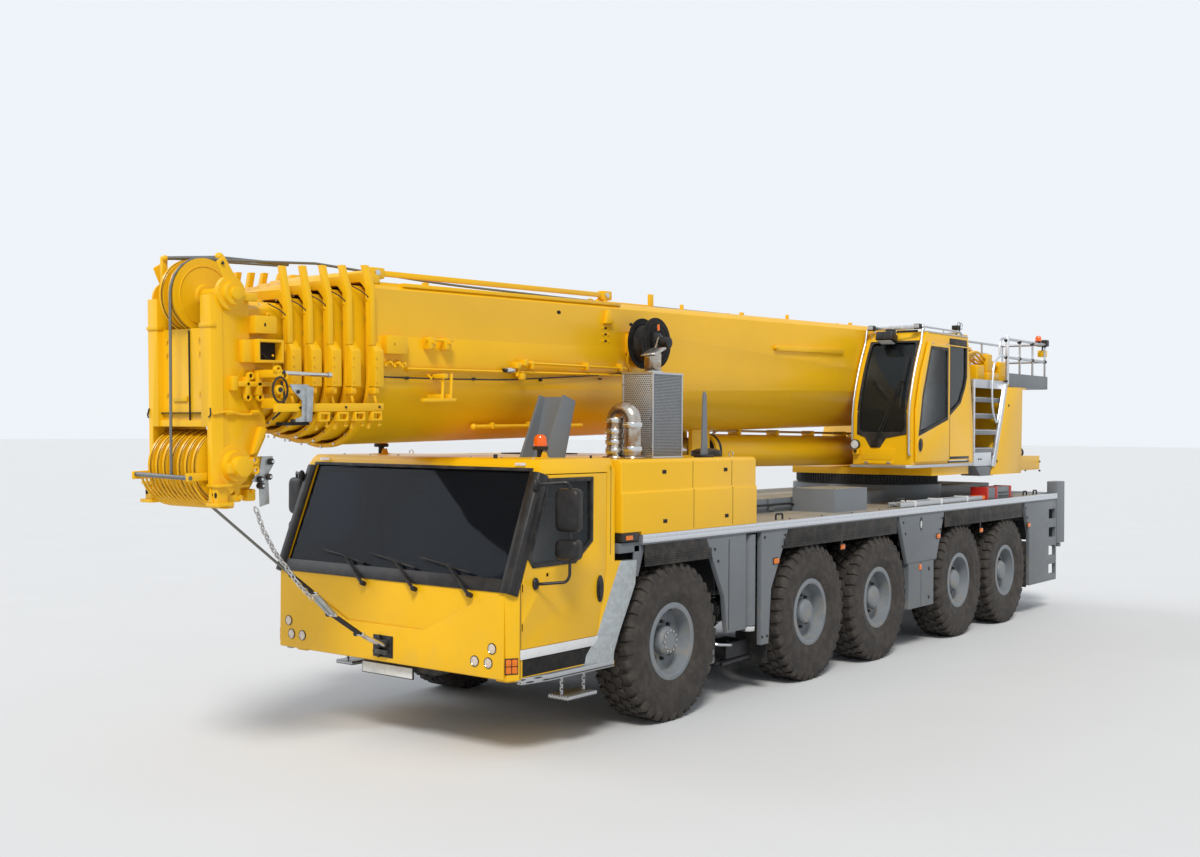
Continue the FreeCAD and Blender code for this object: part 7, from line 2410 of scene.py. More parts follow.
    def ram(self) -> Shape:
        """The luffing ram's gland, its pipes and their clamps.

        Returns:
            The piece.
        """
        shape = Shape("ram_fittings", [STEEL_DARK, YELLOW, STEEL, RUBBER])
        slope = math.atan2(3.45 - 0.97 - 2.44, 6.8 - 2.4)
        lie = Matrix.Translation(at(0.0, 6.8, 2.44)) @ Matrix.Rotation(-slope, 4, "X")
        gland = turned_form([(0.0, 0.123), (0.0, 0.165), (-0.02, 0.178), (-0.1, 0.203), (-0.115, 0.203),
                             (-0.115, 0.123)], 40)
        shape.add(gland, 0, lie @ Matrix.Translation((0, -4.105, 0)) @ Matrix.Rotation(math.pi / 2, 4, "X"))
        for x in (-0.05, 0.05):
            shape.pipe([lie @ Vector((x, -0.3, 0.15)), lie @ Vector((x, -0.36, 0.235)),
                        lie @ Vector((x, -3.9, 0.235)), lie @ Vector((x, -3.98, 0.17))], 0.016, 2,
                       bend=0.05)
        for along in (-0.7, -1.6, -2.5, -3.4):
            shape.block((-0.085, along - 0.02, 0.185), (0.085, along + 0.02, 0.258), 1, bevel=0.006,
                        move=lie)
        return shape


# Boom and head


BOOM = Matrix.Translation((0, station(9.0), 3.45)) @ Matrix.Rotation(math.radians(1.3), 4, "X")


def collar_front(index: int) -> float:
    """Where a section's collar begins along the boom, from the pivot."""
    return -12.020 if index == 0 else -12.06 - 0.165 * index


@dataclass
class Boom:
    """The telescopic boom: its sections' paint, collar fittings, side fittings and stay bar."""

    flank_hoop: Sequence[Flat] = (
        (-8.44, 0.3), (-8.54, 0.27), (-8.6, 0.15), (-8.56, 0.05), (-8.44, 0.02))
    flank_plates: Table = (
        (((-11.93, 0.01), (-8.56, 0.006), (-8.45, 0.268), (-11.93, 0.283)), 0.558, 0.5635, 0, 0.002),
        (((-8.93, 0.505), (-8.8, 0.505), (-8.835, 0.64), (-8.885, 0.64)), 0.56, 0.6, 0, 0.006))
    flank_blocks: Table = (
        ((0.555, -11.86, 0.135), (0.625, -11.63, 0.285), 0, 0.006),
        ((0.624, -11.78, 0.2), (0.627, -11.775, 0.225), 1),
        ((0.56, -11.87, 0.03), (0.6, -11.62, 0.055), 0, 0.004),
        ((0.54, -11.3, -0.06), (0.7, -11.24, -0.02), 0, 0.006),
        ((0.655, -11.52, -0.255), (0.7, -11.14, -0.225), 0, 0.006),
        ((0.556, -5.62, 0.33), (0.59, -3.93, 0.395), 0, 0.008),
        ((0.556, -5.66, 0.35), (0.6, -5.58, 0.38), 0, 0.006))
    flank_rods: Table = (
        ((0.62, -11.42, 0.262), (0.62, -11.1, 0.262), 0.012, 0, 10),
        ((0.6, -11.38, -0.03), (0.68, -11.42, -0.06), 0.01, 0, 8))
    top_pair_blocks: Table = (
        ((0.455, -11.84, 0.77), (0.505, -8.79, 0.815), 0, 0.008),
        ((0.45, -8.84, 0.64), (0.51, -8.78, 0.79), 0, 0.006),
        ((0.43, -11.98, 0.7), (0.53, -11.84, 0.78), 0, 0.01),
        ((0.5, -11.6, 0.69), (0.555, -8.62, 0.722), 0, 0.006),
        ((0.385, -7.93, 0.715), (0.415, -7.86, 0.86), 0, 0.005))
    pipe_routes: Table = (
        (((0.585, -11.6, 0.018), (0.585, -8.6, 0.0)), 0.013, 0, 10),
        (((0.6, -10.26, -0.03), (0.6, -10.2, 0.095), (0.6, -8.6, 0.068)), 0.014, 0, 10, 0.05),
        (((0.42, -10.64, -0.475), (0.42, -9.1, -0.49)), 0.02, 0, 12),
        (((0.588, -12.0, -0.05), (0.588, -11.3, -0.06), (0.588, -10.4, -0.062), (0.588, -9.4, -0.02),
          (0.588, -8.6, 0.02)), 0.0075, 2, 8, 0.2))
    pipes_rods: Table = (
        ((0.6, -10.4, 0.022), (0.6, -10.3, 0.022), 0.028, 1, 16, 0.006),
        ((0.6, -10.44, 0.022), (0.6, -10.4, 0.022), 0.018, 3, 12))
    reel_disc: Sequence[Flat] = (
        (0.0, 0.0), (0.0, 0.235), (0.004, 0.252), (0.012, 0.252), (0.012, 0.06), (0.016, 0.0))

    def build(self, frame: dict) -> None:
        """Dress the boom's sections and what rides on them.
        """
        for index in range(6):
            node = "boom_base" if index == 0 else f"tele_{index}"
            PackedCopy(node, [YELLOW], bevel=0.007).build(frame)
            self.collar(index).finish(node, move=BOOM)
        self.flank().finish("boom_base", move=BOOM)
        self.top().finish("boom_base", move=BOOM)
        self.pipes().finish("boom_base", move=BOOM)
        self.reel().finish("boom_base")

    def collar(self, index: int) -> Shape:
        """A collar's lugs, hooks, wires and rollers, and a thin black block of painted shade at its side.

        Args:
            index: Its section, from 0 for the base.

        Returns:
            The fittings, in the boom's frame.
        """
        shape = Shape(f"collar_fittings_{index}", [YELLOW, STEEL_DARK, STEEL, SHADE])
        front = collar_front(index)
        half = 0.56 - 0.04 * index
        top = 0.72 - 0.042 * index
        skin = half + 0.012
        for height in (0.4, 0.16):
            lug = Matrix.Translation((skin + 0.014, front + 0.035, height))
            shape.add(ring_form(0.018, 0.007, 8, 14), 0, lug @ Axis.X.turn())
            shape.rod((half, front + 0.035, height + 0.02), (skin + 0.016, front + 0.035, height + 0.02),
                      0.01, 0, sides=10)
        gap_shade = (half - 0.02, front + 0.004, top - 0.26)
        shape.plate(oval((front + 0.02, top - 0.155), (0.03, 0.022), 16), Axis.X, half - 0.01, skin + 0.006,
                    0, bevel=0.003)
        shape.rod((skin, front + 0.02, top - 0.155), (skin + 0.018, front + 0.02, top - 0.155), 0.009, 2,
                  sides=8)
        if index < 5:
            shape.pipe([(skin + 0.014, front + 0.02, top - 0.155), (skin + 0.004, front - 0.05, top - 0.1),
                        (half - 0.035, front - 0.12, top - 0.055)], 0.0045, 1, bend=0.03)
        # A thin near-black block at the collar's side: painted shade in the gap there.
        shape.block((gap_shade[0], gap_shade[1], top - 0.33), (skin + 0.001, gap_shade[1] + 0.012, top - 0.29), 3)
        for low in (-0.165, -0.255):
            hook = [(half + 0.06, front + 0.02, low + 0.05), (half + 0.075, front + 0.02, low),
                    (half + 0.06, front + 0.045, low - 0.03), (half + 0.04, front + 0.055, low)]
            shape.pipe(hook, 0.011, 0, bend=0.02)
        shape.block((half - 0.01, front + 0.006, -0.19), (half + 0.075, front + 0.062, -0.135), 0,
                    bevel=0.008)
        shape.bolts([(half + 0.085, front + 0.02, height) for height in (-0.09, 0.03, 0.1)], Axis.X, 0.009,
                    0.008, 0)
        shape.mirror()
        shape.bolts([(x * 0.16, front + 0.001, top - 0.02) for x in range(-2, 3)], Axis.Y, 0.011, -0.01, 2)
        shape.block((-0.3, front + 0.01, top - 0.002), (0.3, front + 0.05, top + 0.02), 0, bevel=0.006)
        for angle in range(-60, 61, 20):
            reach = half * 0.82
            spot = (reach * math.sin(math.radians(angle)), front + 0.001,
                    -0.16 - reach * math.cos(math.radians(angle)))
            shape.bolts([spot], Axis.Y, 0.011, -0.01, 2)
        return shape

    def flank(self) -> Shape:
        """Seams, brackets, boxes, hooks and inspection holes in painted shade on the base section's sides.

        Returns:
            The piece.
        """
        shape = Shape("boom_side_fittings", [YELLOW, SHADE, STEEL, STEEL_DARK])
        shape.plates(self.flank_plates, Axis.X)
        # Two inspection holes, drawn as flat black ovals: painted shade inside them.
        for y, z in ((-9.605, 0.581), (-8.462, 0.514)):
            shape.plate(oval((y, z), (0.03, 0.018), 16), Axis.X, 0.559, 0.5612, 1)
        shape.blocks(self.flank_blocks)
        for index in range(7):
            shift = index * 37 % 11 / 11.0
            shape.rod((0.57, -11.84 + 0.03 * index, 0.04 + 0.05 * shift),
                      (0.63, -11.83 + 0.028 * index, 0.07 - 0.06 * shift), 0.012, 0, sides=8)
        for y in (-11.36, -11.17):
            shape.plate([(y - 0.035, 0.18), (y + 0.035, 0.2), (y + 0.045, 0.285), (y - 0.045, 0.285)],
                        Axis.X, 0.56, 0.645, 0, bevel=0.01)
            shape.rod((0.64, y, 0.24), (0.665, y, 0.24), 0.014, 0, sides=12)
        shape.rods(self.flank_rods)
        for y in (-11.3, -11.2):
            shape.rod((0.685, y, -0.24), (0.66, y + 0.04, -0.02), 0.013, 0, sides=8)
            shape.block((0.48, y - 0.02, -0.23), (0.68, y + 0.02, -0.19), 0, bevel=0.005)
        for z in (0.335, 0.4, 0.46):
            shape.plate(oval((-8.885, z), (0.022, 0.012), 12), Axis.X, 0.5595, 0.5615, 1)
            shape.bolts([(0.56, -8.93, z), (0.56, -8.84, z)], Axis.X, 0.01, 0.01, 0)
        shape.pipe([(0.61, y, z) for y, z in self.flank_hoop], 0.016, 0, sides=10, bend=0.07)
        for z in (0.4, 0.18):
            shape.plate([(-8.53, z + 0.04), (-8.4, z + 0.04), (-8.4, z - 0.1)], Axis.X, 0.56, 0.62, 0,
                        bevel=0.005)
        shape.mirror()
        return shape

    def top(self) -> Shape:
        """The stay bar with its clevises, the hoist rope, its guides and the short posts.

        Returns:
            The piece.
        """
        shape = Shape("boom_top", [YELLOW, ROPE, STEEL, SHADE])
        shape.blocks(self.top_pair_blocks)
        for y in (-11.86, -8.8):
            shape.block((0.445, y - 0.07, 0.745), (0.515, y + 0.09, 0.835), 0, bevel=0.014)
            shape.rod((0.43, y, 0.79), (0.53, y, 0.79), 0.026, 2, sides=16, bevel=0.004)
        shape.rod((0.4, -8.76, 0.735), (0.4, -7.92, 0.735), 0.012, 0, sides=10)
        shape.mirror()
        shape.pipe([(0.0, -12.06, 0.885), (0.0, -10.6, 0.815), (0.0, -8.5, 0.785), (0.0, -4.0, 0.765),
                    (0.0, -0.6, 0.77), (0.0, -0.05, 0.7), (0.0, 0.4, 0.2)], 0.011, 1, sides=12, bend=0.4)
        for y in (-10.9, -8.4, -5.6, -2.8):
            shape.block((-0.12, y - 0.03, 0.715), (-0.08, y + 0.03, 0.8), 0, bevel=0.008)
            shape.block((0.08, y - 0.03, 0.715), (0.12, y + 0.03, 0.8), 0, bevel=0.008)
            shape.rod((-0.12, y, 0.748), (0.12, y, 0.748), 0.02, 2, sides=16)
        for y in (-7.2, -4.9, -1.6):
            shape.block((-0.34, y - 0.012, 0.715), (-0.3, y + 0.012, 0.795), 0, bevel=0.004)
            shape.block((0.3, y - 0.012, 0.715), (0.34, y + 0.012, 0.795), 0, bevel=0.004)
        return shape

    def pipes(self) -> Shape:
        """The hydraulic pipes, their clamps and couplings along both sides, and the thin cable.

        Returns:
            The piece.
        """
        shape = Shape("boom_pipes", [YELLOW, STEEL, RUBBER, STEEL_DARK])
        shape.pipes(self.pipe_routes)
        shape.block((0.556, -11.58, -0.006), (0.578, -8.58, 0.01), 0, bevel=0.004)
        for y in (-9.24, -10.05, -8.7):
            shape.block((0.555, y - 0.016, 0.04), (0.622, y + 0.016, 0.115), 0, bevel=0.006)
        for y, z in ((-10.26, 0.07), (-10.2, -0.03), (-10.16, 0.095)):
            shape.block((0.555, y - 0.03, z - 0.03), (0.635, y + 0.03, z + 0.03), 0, bevel=0.01)
        shape.rods(self.pipes_rods)
        shape.dome((0.42, -10.64, -0.475), 0.03, 0, fineness=12)
        for y in (-10.4, -9.9, -9.4):
            shape.block((0.36, y - 0.015, -0.5), (0.445, y + 0.015, -0.44), 0, bevel=0.006)
        for y in (-11.6, -10.8, -9.9, -9.0):
            shape.block((0.556, y - 0.008, -0.07 if y < -9.5 else -0.03), (0.597, y + 0.008, -0.045), 3,
                        bevel=0.003)
        shape.mirror()
        return shape

    def reel(self) -> Shape:
        """The cable reel on the boom's left side, with its hub, hose end and bracket.

        Returns:
            The piece.
        """
        shape = Shape("cable_reel", [SHADE, PLASTIC, RUBBER, STAINLESS, YELLOW, STEEL, AMBER])
        middle = (station(0.53), 3.575)
        for x, flip in ((0.7, 1.0), (0.86, 1.0)):
            shape.lathe(self.reel_disc, Axis.X, (x, *middle), 0, steps=48, flip=flip, closed=False)
            for index in range(3):
                shape.rim(oval(middle, (0.1 + 0.05 * index,) * 2, 36), 0.006, Axis.X, x + 0.01, x + 0.018,
                          1)
        turns = [(0.712, 0.06)]
        for index in range(9):
            low = 0.714 + index * 0.0162
            turns += [(low, 0.175), (low + 0.004, 0.183), (low + 0.012, 0.183)]
        turns += [(0.861, 0.175), (0.861, 0.06)]
        shape.lathe(turns, Axis.X, (0.0, *middle), 2, steps=40)
        shape.lathe([(0.0, 0.0), (0.0, 0.09), (0.05, 0.085), (0.07, 0.06), (0.16, 0.055), (0.17, 0.0)],
                    Axis.X, (0.868, *middle), 1, steps=28, closed=False)
        shape.block((0.86, middle[0] - 0.1, middle[1] - 0.05), (0.93, middle[0] + 0.02, middle[1] + 0.1), 1,
                    bevel=0.02)
        shape.block((0.925, middle[0] - 0.06, middle[1] + 0.12),
                    (0.932, middle[0] - 0.03, middle[1] + 0.18), 6)
        shape.pipe([(0.93, middle[0] - 0.05, middle[1] + 0.05), (0.95, middle[0] - 0.1, middle[1] - 0.01),
                    (0.93, middle[0] - 0.13, middle[1] - 0.1)], 0.01, 3, bend=0.04)
        shape.block((0.55, middle[0] - 0.1, middle[1] - 0.1), (0.7, middle[0] + 0.1, middle[1] + 0.1), 4,
                    bevel=0.015)
        shape.bolts([(0.868, middle[0] + 0.072 * math.cos(math.tau * i / 6),
                      middle[1] + 0.072 * math.sin(math.tau * i / 6)) for i in range(6)], Axis.X, 0.01,
                    0.014, 5)
        return shape


@dataclass
class BoomHead:
    """The head's sheaves, guards, boxes, sockets, cable, gas strut and the swing-away rail."""

    upper: Flat = (-13.20, 0.55)
    lower: Flat = (-13.18, -0.72)
    front_groove: Sequence[Flat] = (
        (-0.006, 0.2808), (-0.003, 0.277), (0.003, 0.277), (0.006, 0.2808))
    front_pair_blocks: Table = (
        ((0.345, -13.4, -1.006), (0.475, -13.28, -0.985), 0, 0.005),
        ((0.255, -13.385, 0.3), (0.395, -13.33, 0.33), 0, 0.006))
    front_blocks: Table = (
        ((0.062, -13.336, -0.395), (0.074, -13.329, 0.285), 2),
        ((-0.27, -13.352, -0.33), (0.27, -13.33, -0.322), 2),
        ((-0.29, -13.33, 0.6), (-0.255, -13.28, 0.86), 0, 0.008))
    front_rods: Table = (
        ((-0.36, -13.52, -0.782), (0.33, -13.52, -0.796), 0.017, 1, 14, 0.003),
        ((-0.25, -13.31, 0.845), (-0.14, -12.9, 0.875), 0.015, 1, 12),
        ((-0.25, -13.31, 0.845), (-0.18, -12.3, 0.86), 0.009, 1, 10),
        ((-0.14, -12.9, 0.875), (-0.05, -12.3, 0.86), 0.014, 1, 12),
        ((-0.14, -12.9, 0.6), (-0.14, -12.9, 0.86), 0.02, 0, 12))
    front_domes: Table = (
        ((-0.25, -13.31, 0.845), 0.024, 0, 12), ((-0.14, -12.9, 0.875), 0.04, 0, 14))
    cheek_hub: Sequence[Flat] = (
        (0.0, 0.0), (0.0, 0.13), (0.03, 0.125), (0.035, 0.09), (0.075, 0.085), (0.08, 0.0))
    cheek_plate: Sequence[Flat] = (
        (-12.905, -0.66), (-12.8, -0.66), (-12.79, -0.72), (-12.845, -0.8), (-12.835, -1.02),
        (-12.925, -1.04), (-12.93, -0.8))
    cheek_pair_plates: Table = (
        (((-13.32, 0.78), (-13.25, 0.82), (-13.09, 0.58), (-13.2, 0.52)), 0.38, 0.4, 0, 0.01),
        (((-13.04, -0.64), (-12.99, -0.62), (-12.9, -0.45), (-12.96, -0.43)), 0.36, 0.425, 0, 0.01))
    cheek_pair_blocks: Table = (
        ((0.378, -13.12, 0.5), (0.43, -12.98, 0.56), 0, 0.012),
        ((0.372, -13.03, 0.262), (0.46, -12.83, 0.395), 0, 0.008),
        ((0.458, -12.95, 0.315), (0.462, -12.935, 0.34), 1),
        ((0.372, -13.12, 0.045), (0.43, -13.02, 0.215), 0, 0.006),
        ((0.372, -13.0, 0.065), (0.395, -12.8, 0.198), 1),
        ((0.3, -12.98, -0.75), (0.345, -12.86, -0.66), 0, 0.012))
    cheek_pair_pipes: Table = (
        (((0.4, -12.97, 0.08), (0.41, -12.93, 0.12), (0.41, -12.9, 0.08)), 0.006, 5, 8, 0.02),
        (((0.392, -13.37, -0.335), (0.398, -13.24, -0.315), (0.392, -13.1, -0.345),
          (0.392, -12.95, -0.335)), 0.011, 0, 8, 0.05),
        (((0.376, -13.378, -0.29), (0.39, -13.385, -0.34), (0.37, -13.39, -0.36)), 0.006, 5, 8, 0.01))
    cheek_rods: Table = (
        ((0.28, -13.12, -0.955), (0.38, -13.12, -0.955), 0.02, 0, 14),
        ((0.28, -13.01, -0.915), (0.39, -13.01, -0.915), 0.017, 0, 14))
    swing_rail_angle: Sequence[Flat] = (
        (-12.915, -0.12), (-12.75, -0.12), (-12.7, -0.145), (-12.72, -0.4), (-12.86, -0.4),
        (-12.86, -0.375), (-12.8, -0.36), (-12.8, -0.24), (-12.89, -0.16))
    swing_rail_blocks: Table = (
        ((0.635, -13.02, -0.325), (0.675, -11.95, -0.262), 0, 0.006),
        ((0.36, -12.99, -0.07), (0.66, -12.93, -0.01), 0, 0.012),
        ((0.55, -12.93, -0.425), (0.69, -12.72, -0.4), 4, 0.006),
        ((0.4, -12.95, -0.3), (0.64, -12.88, -0.22), 0, 0.012))
    swing_rail_rods: Table = (
        ((0.64, -12.92, -0.035), (0.64, -12.5, -0.045), 0.017, 1, 14, 0.003),
        ((0.64, -12.95, -0.034), (0.64, -12.92, -0.035), 0.024, 5, 12),
        ((0.64, -12.5, -0.045), (0.64, -12.47, -0.045), 0.024, 1, 12),
        ((0.63, -12.98, -0.16), (0.672, -12.98, -0.16), 0.036, 0, 18, 0.006),
        ((0.672, -12.98, -0.16), (0.682, -12.98, -0.16), 0.018, 5, 12))

    def build(self, _frame: dict) -> None:
        """Dress the head, which rides on the last section.
        """
        self.front().finish("tele_5", move=BOOM)
        self.cheek().finish("tele_5", move=BOOM)
        self.swing_rail().finish("tele_5", move=BOOM)

    def front(self) -> Shape:
        """The panel's relief, the rope bars, the comb guard, the grooved sheaves with painted shade in their
        grooves, and the feet.

        Returns:
            The piece.
        """
        shape = Shape("head_front", [YELLOW, ROPE, SHADE, STEEL, STEEL_DARK, GROOVE_SHADE])
        shape.blocks(self.front_pair_blocks)
        shape.plate([(0.345, -0.98), (0.4, -0.98), (0.37, -0.86)], Axis.Y, -13.385, -13.373, 0, bevel=0.003)
        for x in (0.375, 0.425):
            shape.plate(oval((x, -0.925), (0.014, 0.02), 14), Axis.Y, -13.379, -13.374, 2)
        shape.mirror()
        shape.blocks(self.front_blocks)
        shape.bolts([(x, -13.335, z) for x in (-0.2, 0.2) for z in (0.22, 0.12, -0.18)], Axis.Y, 0.011,
                    -0.01, 0)
        shape.plate([(-0.13, -0.24), (0.04, -0.24), (0.04, -0.2), (-0.13, -0.2)], Axis.Y, -13.34, -13.328,
                    0, bevel=0.004)
        y, z = self.upper
        for x in (-0.054, 0.054):
            for side in (1.0, -1.0):
                shape.lathe([(0.0, 0.0), (0.0, 0.085), (0.018, 0.075), (0.024, 0.0)], Axis.X,
                            (x + side * 0.03, y, z), 0, steps=28, flip=side, closed=False)
                shape.rim(oval((y, z), (0.215, 0.215), 40), 0.01, Axis.X, x + side * 0.026,
                          x + side * 0.036, 0, bevel=0.003)
        # Thin bands of the darker yellow in the upper sheaves' grooves: painted shade.
        for x in (-0.054, 0.054):
            shape.lathe(self.front_groove, Axis.X, (x, y, z), 5, steps=56, closed=False)
        y, z = self.lower
        # The same painted shade in the grooves of the lower sheaves.
        for index in range(7):
            shape.lathe([(-0.005, 0.2688), (-0.002, 0.265), (0.002, 0.265), (0.005, 0.2688)], Axis.X,
                        ((index - 3) * 0.09, y, z), 5, steps=48, closed=False)
        shape.rods(self.front_rods)
        for index in range(13):
            x = -0.33 + 0.052 * index
            arc = [(x, -13.18 - 0.315 * math.cos(math.radians(a)),
                    -0.72 - 0.315 * math.sin(math.radians(a))) for a in (14, 30, 48, 66, 84, 100)]
            shape.pipe(arc, 0.0085, 0, bend=0.03)
        for x in (-0.355, 0.315):
            shape.block((x - 0.012, -13.545, -0.82), (x + 0.012, -13.35, -0.76), 0, bevel=0.006)
        shape.domes(self.front_domes)
        rope = [(0.054, self.upper[0] - 0.28 * math.cos(math.radians(a)),
                 self.upper[1] + 0.28 * math.sin(math.radians(a))) for a in (88, 70, 50, 30, 12, 0)]
        shape.pipe([(0.0, -12.06, 0.885), (0.05, -12.9, 0.836), *rope, (0.056, -13.484, 0.2),
                    (0.058, -13.494, -0.79)], 0.011, 1, sides=12)
        return shape

    def cheek(self) -> Shape:
        """The boxes, sockets, lugs, cable and guards on the head's side plates.

        Returns:
            The piece.
        """
        shape = Shape("head_sides", [YELLOW, SHADE, STEEL, RUBBER, ZINC, STEEL_DARK])
        y, z = self.upper
        shape.lathe(self.cheek_hub, Axis.X, (0.376, y, z), 0, steps=36, closed=False)
        shape.plates(self.cheek_pair_plates, Axis.X)
        shape.rod((0.395, -13.275, 0.765), (0.412, -13.275, 0.765), 0.016, 5, sides=3)
        shape.blocks(self.cheek_pair_blocks)
        y, z = self.lower
        shape.lathe([(0.0, 0.0), (0.0, 0.155), (0.012, 0.15), (0.016, 0.12), (0.06, 0.112), (0.066, 0.0)],
                    Axis.X, (0.376, y, z), 0, steps=40, closed=False)
        shape.block((0.38, y - 0.11, z - 0.055), (0.47, y + 0.12, z + 0.03), 0, bevel=0.02)
        shape.rim([(-13.0, 0.065), (-12.8, 0.065), (-12.8, 0.198), (-13.0, 0.198)], 0.022, Axis.X, 0.376,
                  0.475, 0, bevel=0.004)
        shape.pipes(self.cheek_pair_pipes)
        for low, high in (((-13.22, -0.165), (-13.17, -0.055)), ((-13.17, -0.135), (-12.86, -0.095)),
                          ((-13.1, -0.2), (-13.06, -0.06)), ((-13.0, -0.2), (-12.95, -0.03))):
            shape.block((0.374, low[0], low[1]), (0.435, high[0], high[1]), 0, bevel=0.01)
        for y, z in ((-13.075, -0.215), (-12.965, -0.215), (-12.965, -0.045), (-12.93, -0.03),
                     (-13.05, -0.055)):
            shape.rim(oval((y, z), (0.016, 0.016), 16), 0.014, Axis.X, 0.395, 0.43, 0, bevel=0.004)
            shape.rod((0.376, y, z), (0.415, y, z), 0.017, 1, sides=14)
        for y in (-13.23, -13.0):
            shape.rod((0.396, y - 0.03, -0.325), (0.396, y + 0.03, -0.325), 0.019, 0, sides=12)
        for y, z in ((-13.0, -0.685), (-12.99, -0.76)):
            shape.rim(oval((y, z), (0.016, 0.016), 16), 0.016, Axis.X, 0.34, 0.4, 0, bevel=0.004)
            shape.rod((0.33, y, z), (0.385, y, z), 0.016, 2, sides=12)
        shape.mirror()
        shape.plate(self.cheek_plate, Axis.X, 0.345, 0.353, 4, bevel=0.002)
        shape.plate([(-13.0, -0.84), (-12.93, -0.78), (-12.93, -0.86)], Axis.X, 0.345, 0.353, 4,
                    bevel=0.002)
        for y, z in ((-12.83, -0.7), (-12.93, -0.83), (-12.85, -0.815), (-12.92, -0.88)):
            shape.rod((0.33, y, z), (0.385, y, z), 0.024, 3, sides=14, bevel=0.004)
            shape.rod((0.385, y, z), (0.395, y, z), 0.012, 2, sides=6)
        for low, high in (((-13.22, -0.99), (-13.1, -0.93)), ((-13.16, -0.94), (-13.11, -0.86)),
                          ((-13.05, -0.99), (-12.97, -0.9)), ((-13.2, -0.885), (-13.02, -0.86))):
            shape.block((0.29, low[0], low[1]), (0.365, high[0], high[1]), 0, bevel=0.012)
        shape.rods(self.cheek_rods)
        return shape

    def swing_rail(self) -> Shape:
        """The long bar beside the collars with its square frames, gas strut, bracket and hose.

        Returns:
            The piece.
        """
        shape = Shape("swing_rail", [YELLOW, STEEL, ZINC, RUBBER, SHADE, STEEL_DARK])
        shape.blocks(self.swing_rail_blocks)
        for y in (-12.72, -12.5, -12.28, -12.06):
            shape.block((0.38, y - 0.025, -0.31), (0.64, y + 0.025, -0.275), 0, bevel=0.006)
        for y in (-12.57, -12.384, -12.211, -12.033):
            opening = [(y - 0.034, -0.385), (y + 0.04, -0.385), (y + 0.04, -0.345), (y - 0.034, -0.345)]
            shape.rim(opening, 0.016, Axis.X, 0.635, 0.685, 0, bevel=0.004)
            shape.rod((0.655, y + 0.045, -0.4), (0.655, y + 0.045, -0.45), 0.01, 0, sides=8)
            shape.block((0.64, y + 0.025, -0.44), (0.67, y + 0.065, -0.43), 0, bevel=0.003)
            shape.plate([(y - 0.02, -0.4), (y + 0.02, -0.4), (y - 0.01, -0.47), (y - 0.045, -0.46)], Axis.X,
                        0.6, 0.615, 0, bevel=0.004)
        shape.bolts([(0.675, y, -0.293) for y in (-12.8, -12.35, -12.0)], Axis.X, 0.01, 0.008, 5)
        shape.rods(self.swing_rail_rods)
        for y, z in ((-12.98, -0.01), (-12.92, -0.06)):
            shape.rim(oval((y, z), (0.015, 0.015), 16), 0.014, Axis.X, 0.62, 0.66, 0, bevel=0.004)
        shape.plate(self.swing_rail_angle, Axis.X, 0.692, 0.7, 2, bevel=0.002)
        shape.plate([(-12.76, -0.14), (-12.7, -0.14), (-12.72, -0.4), (-12.77, -0.4)], Axis.X, 0.665, 0.718,
                    2, bevel=0.004)
        for y, z in ((-12.84, -0.175), (-12.73, -0.16), (-12.89, -0.39)):
            shape.rod((0.69, y, z), (0.712, y, z), 0.015, 5, sides=6)
        hose = [(0.66, -13.04 + 0.07 * (1 - math.cos(math.tau * i / 12)),
                 -0.16 + 0.095 * math.sin(math.tau * i / 12)) for i in range(13)]
        shape.pipe(hose, 0.008, 3, bend=0.02)
        shape.pipe([(0.66, -12.96, -0.1), (0.665, -12.93, -0.2), (0.65, -12.95, -0.32),
                    (0.6, -13.0, -0.38)], 0.008, 3, bend=0.05)
        return shape


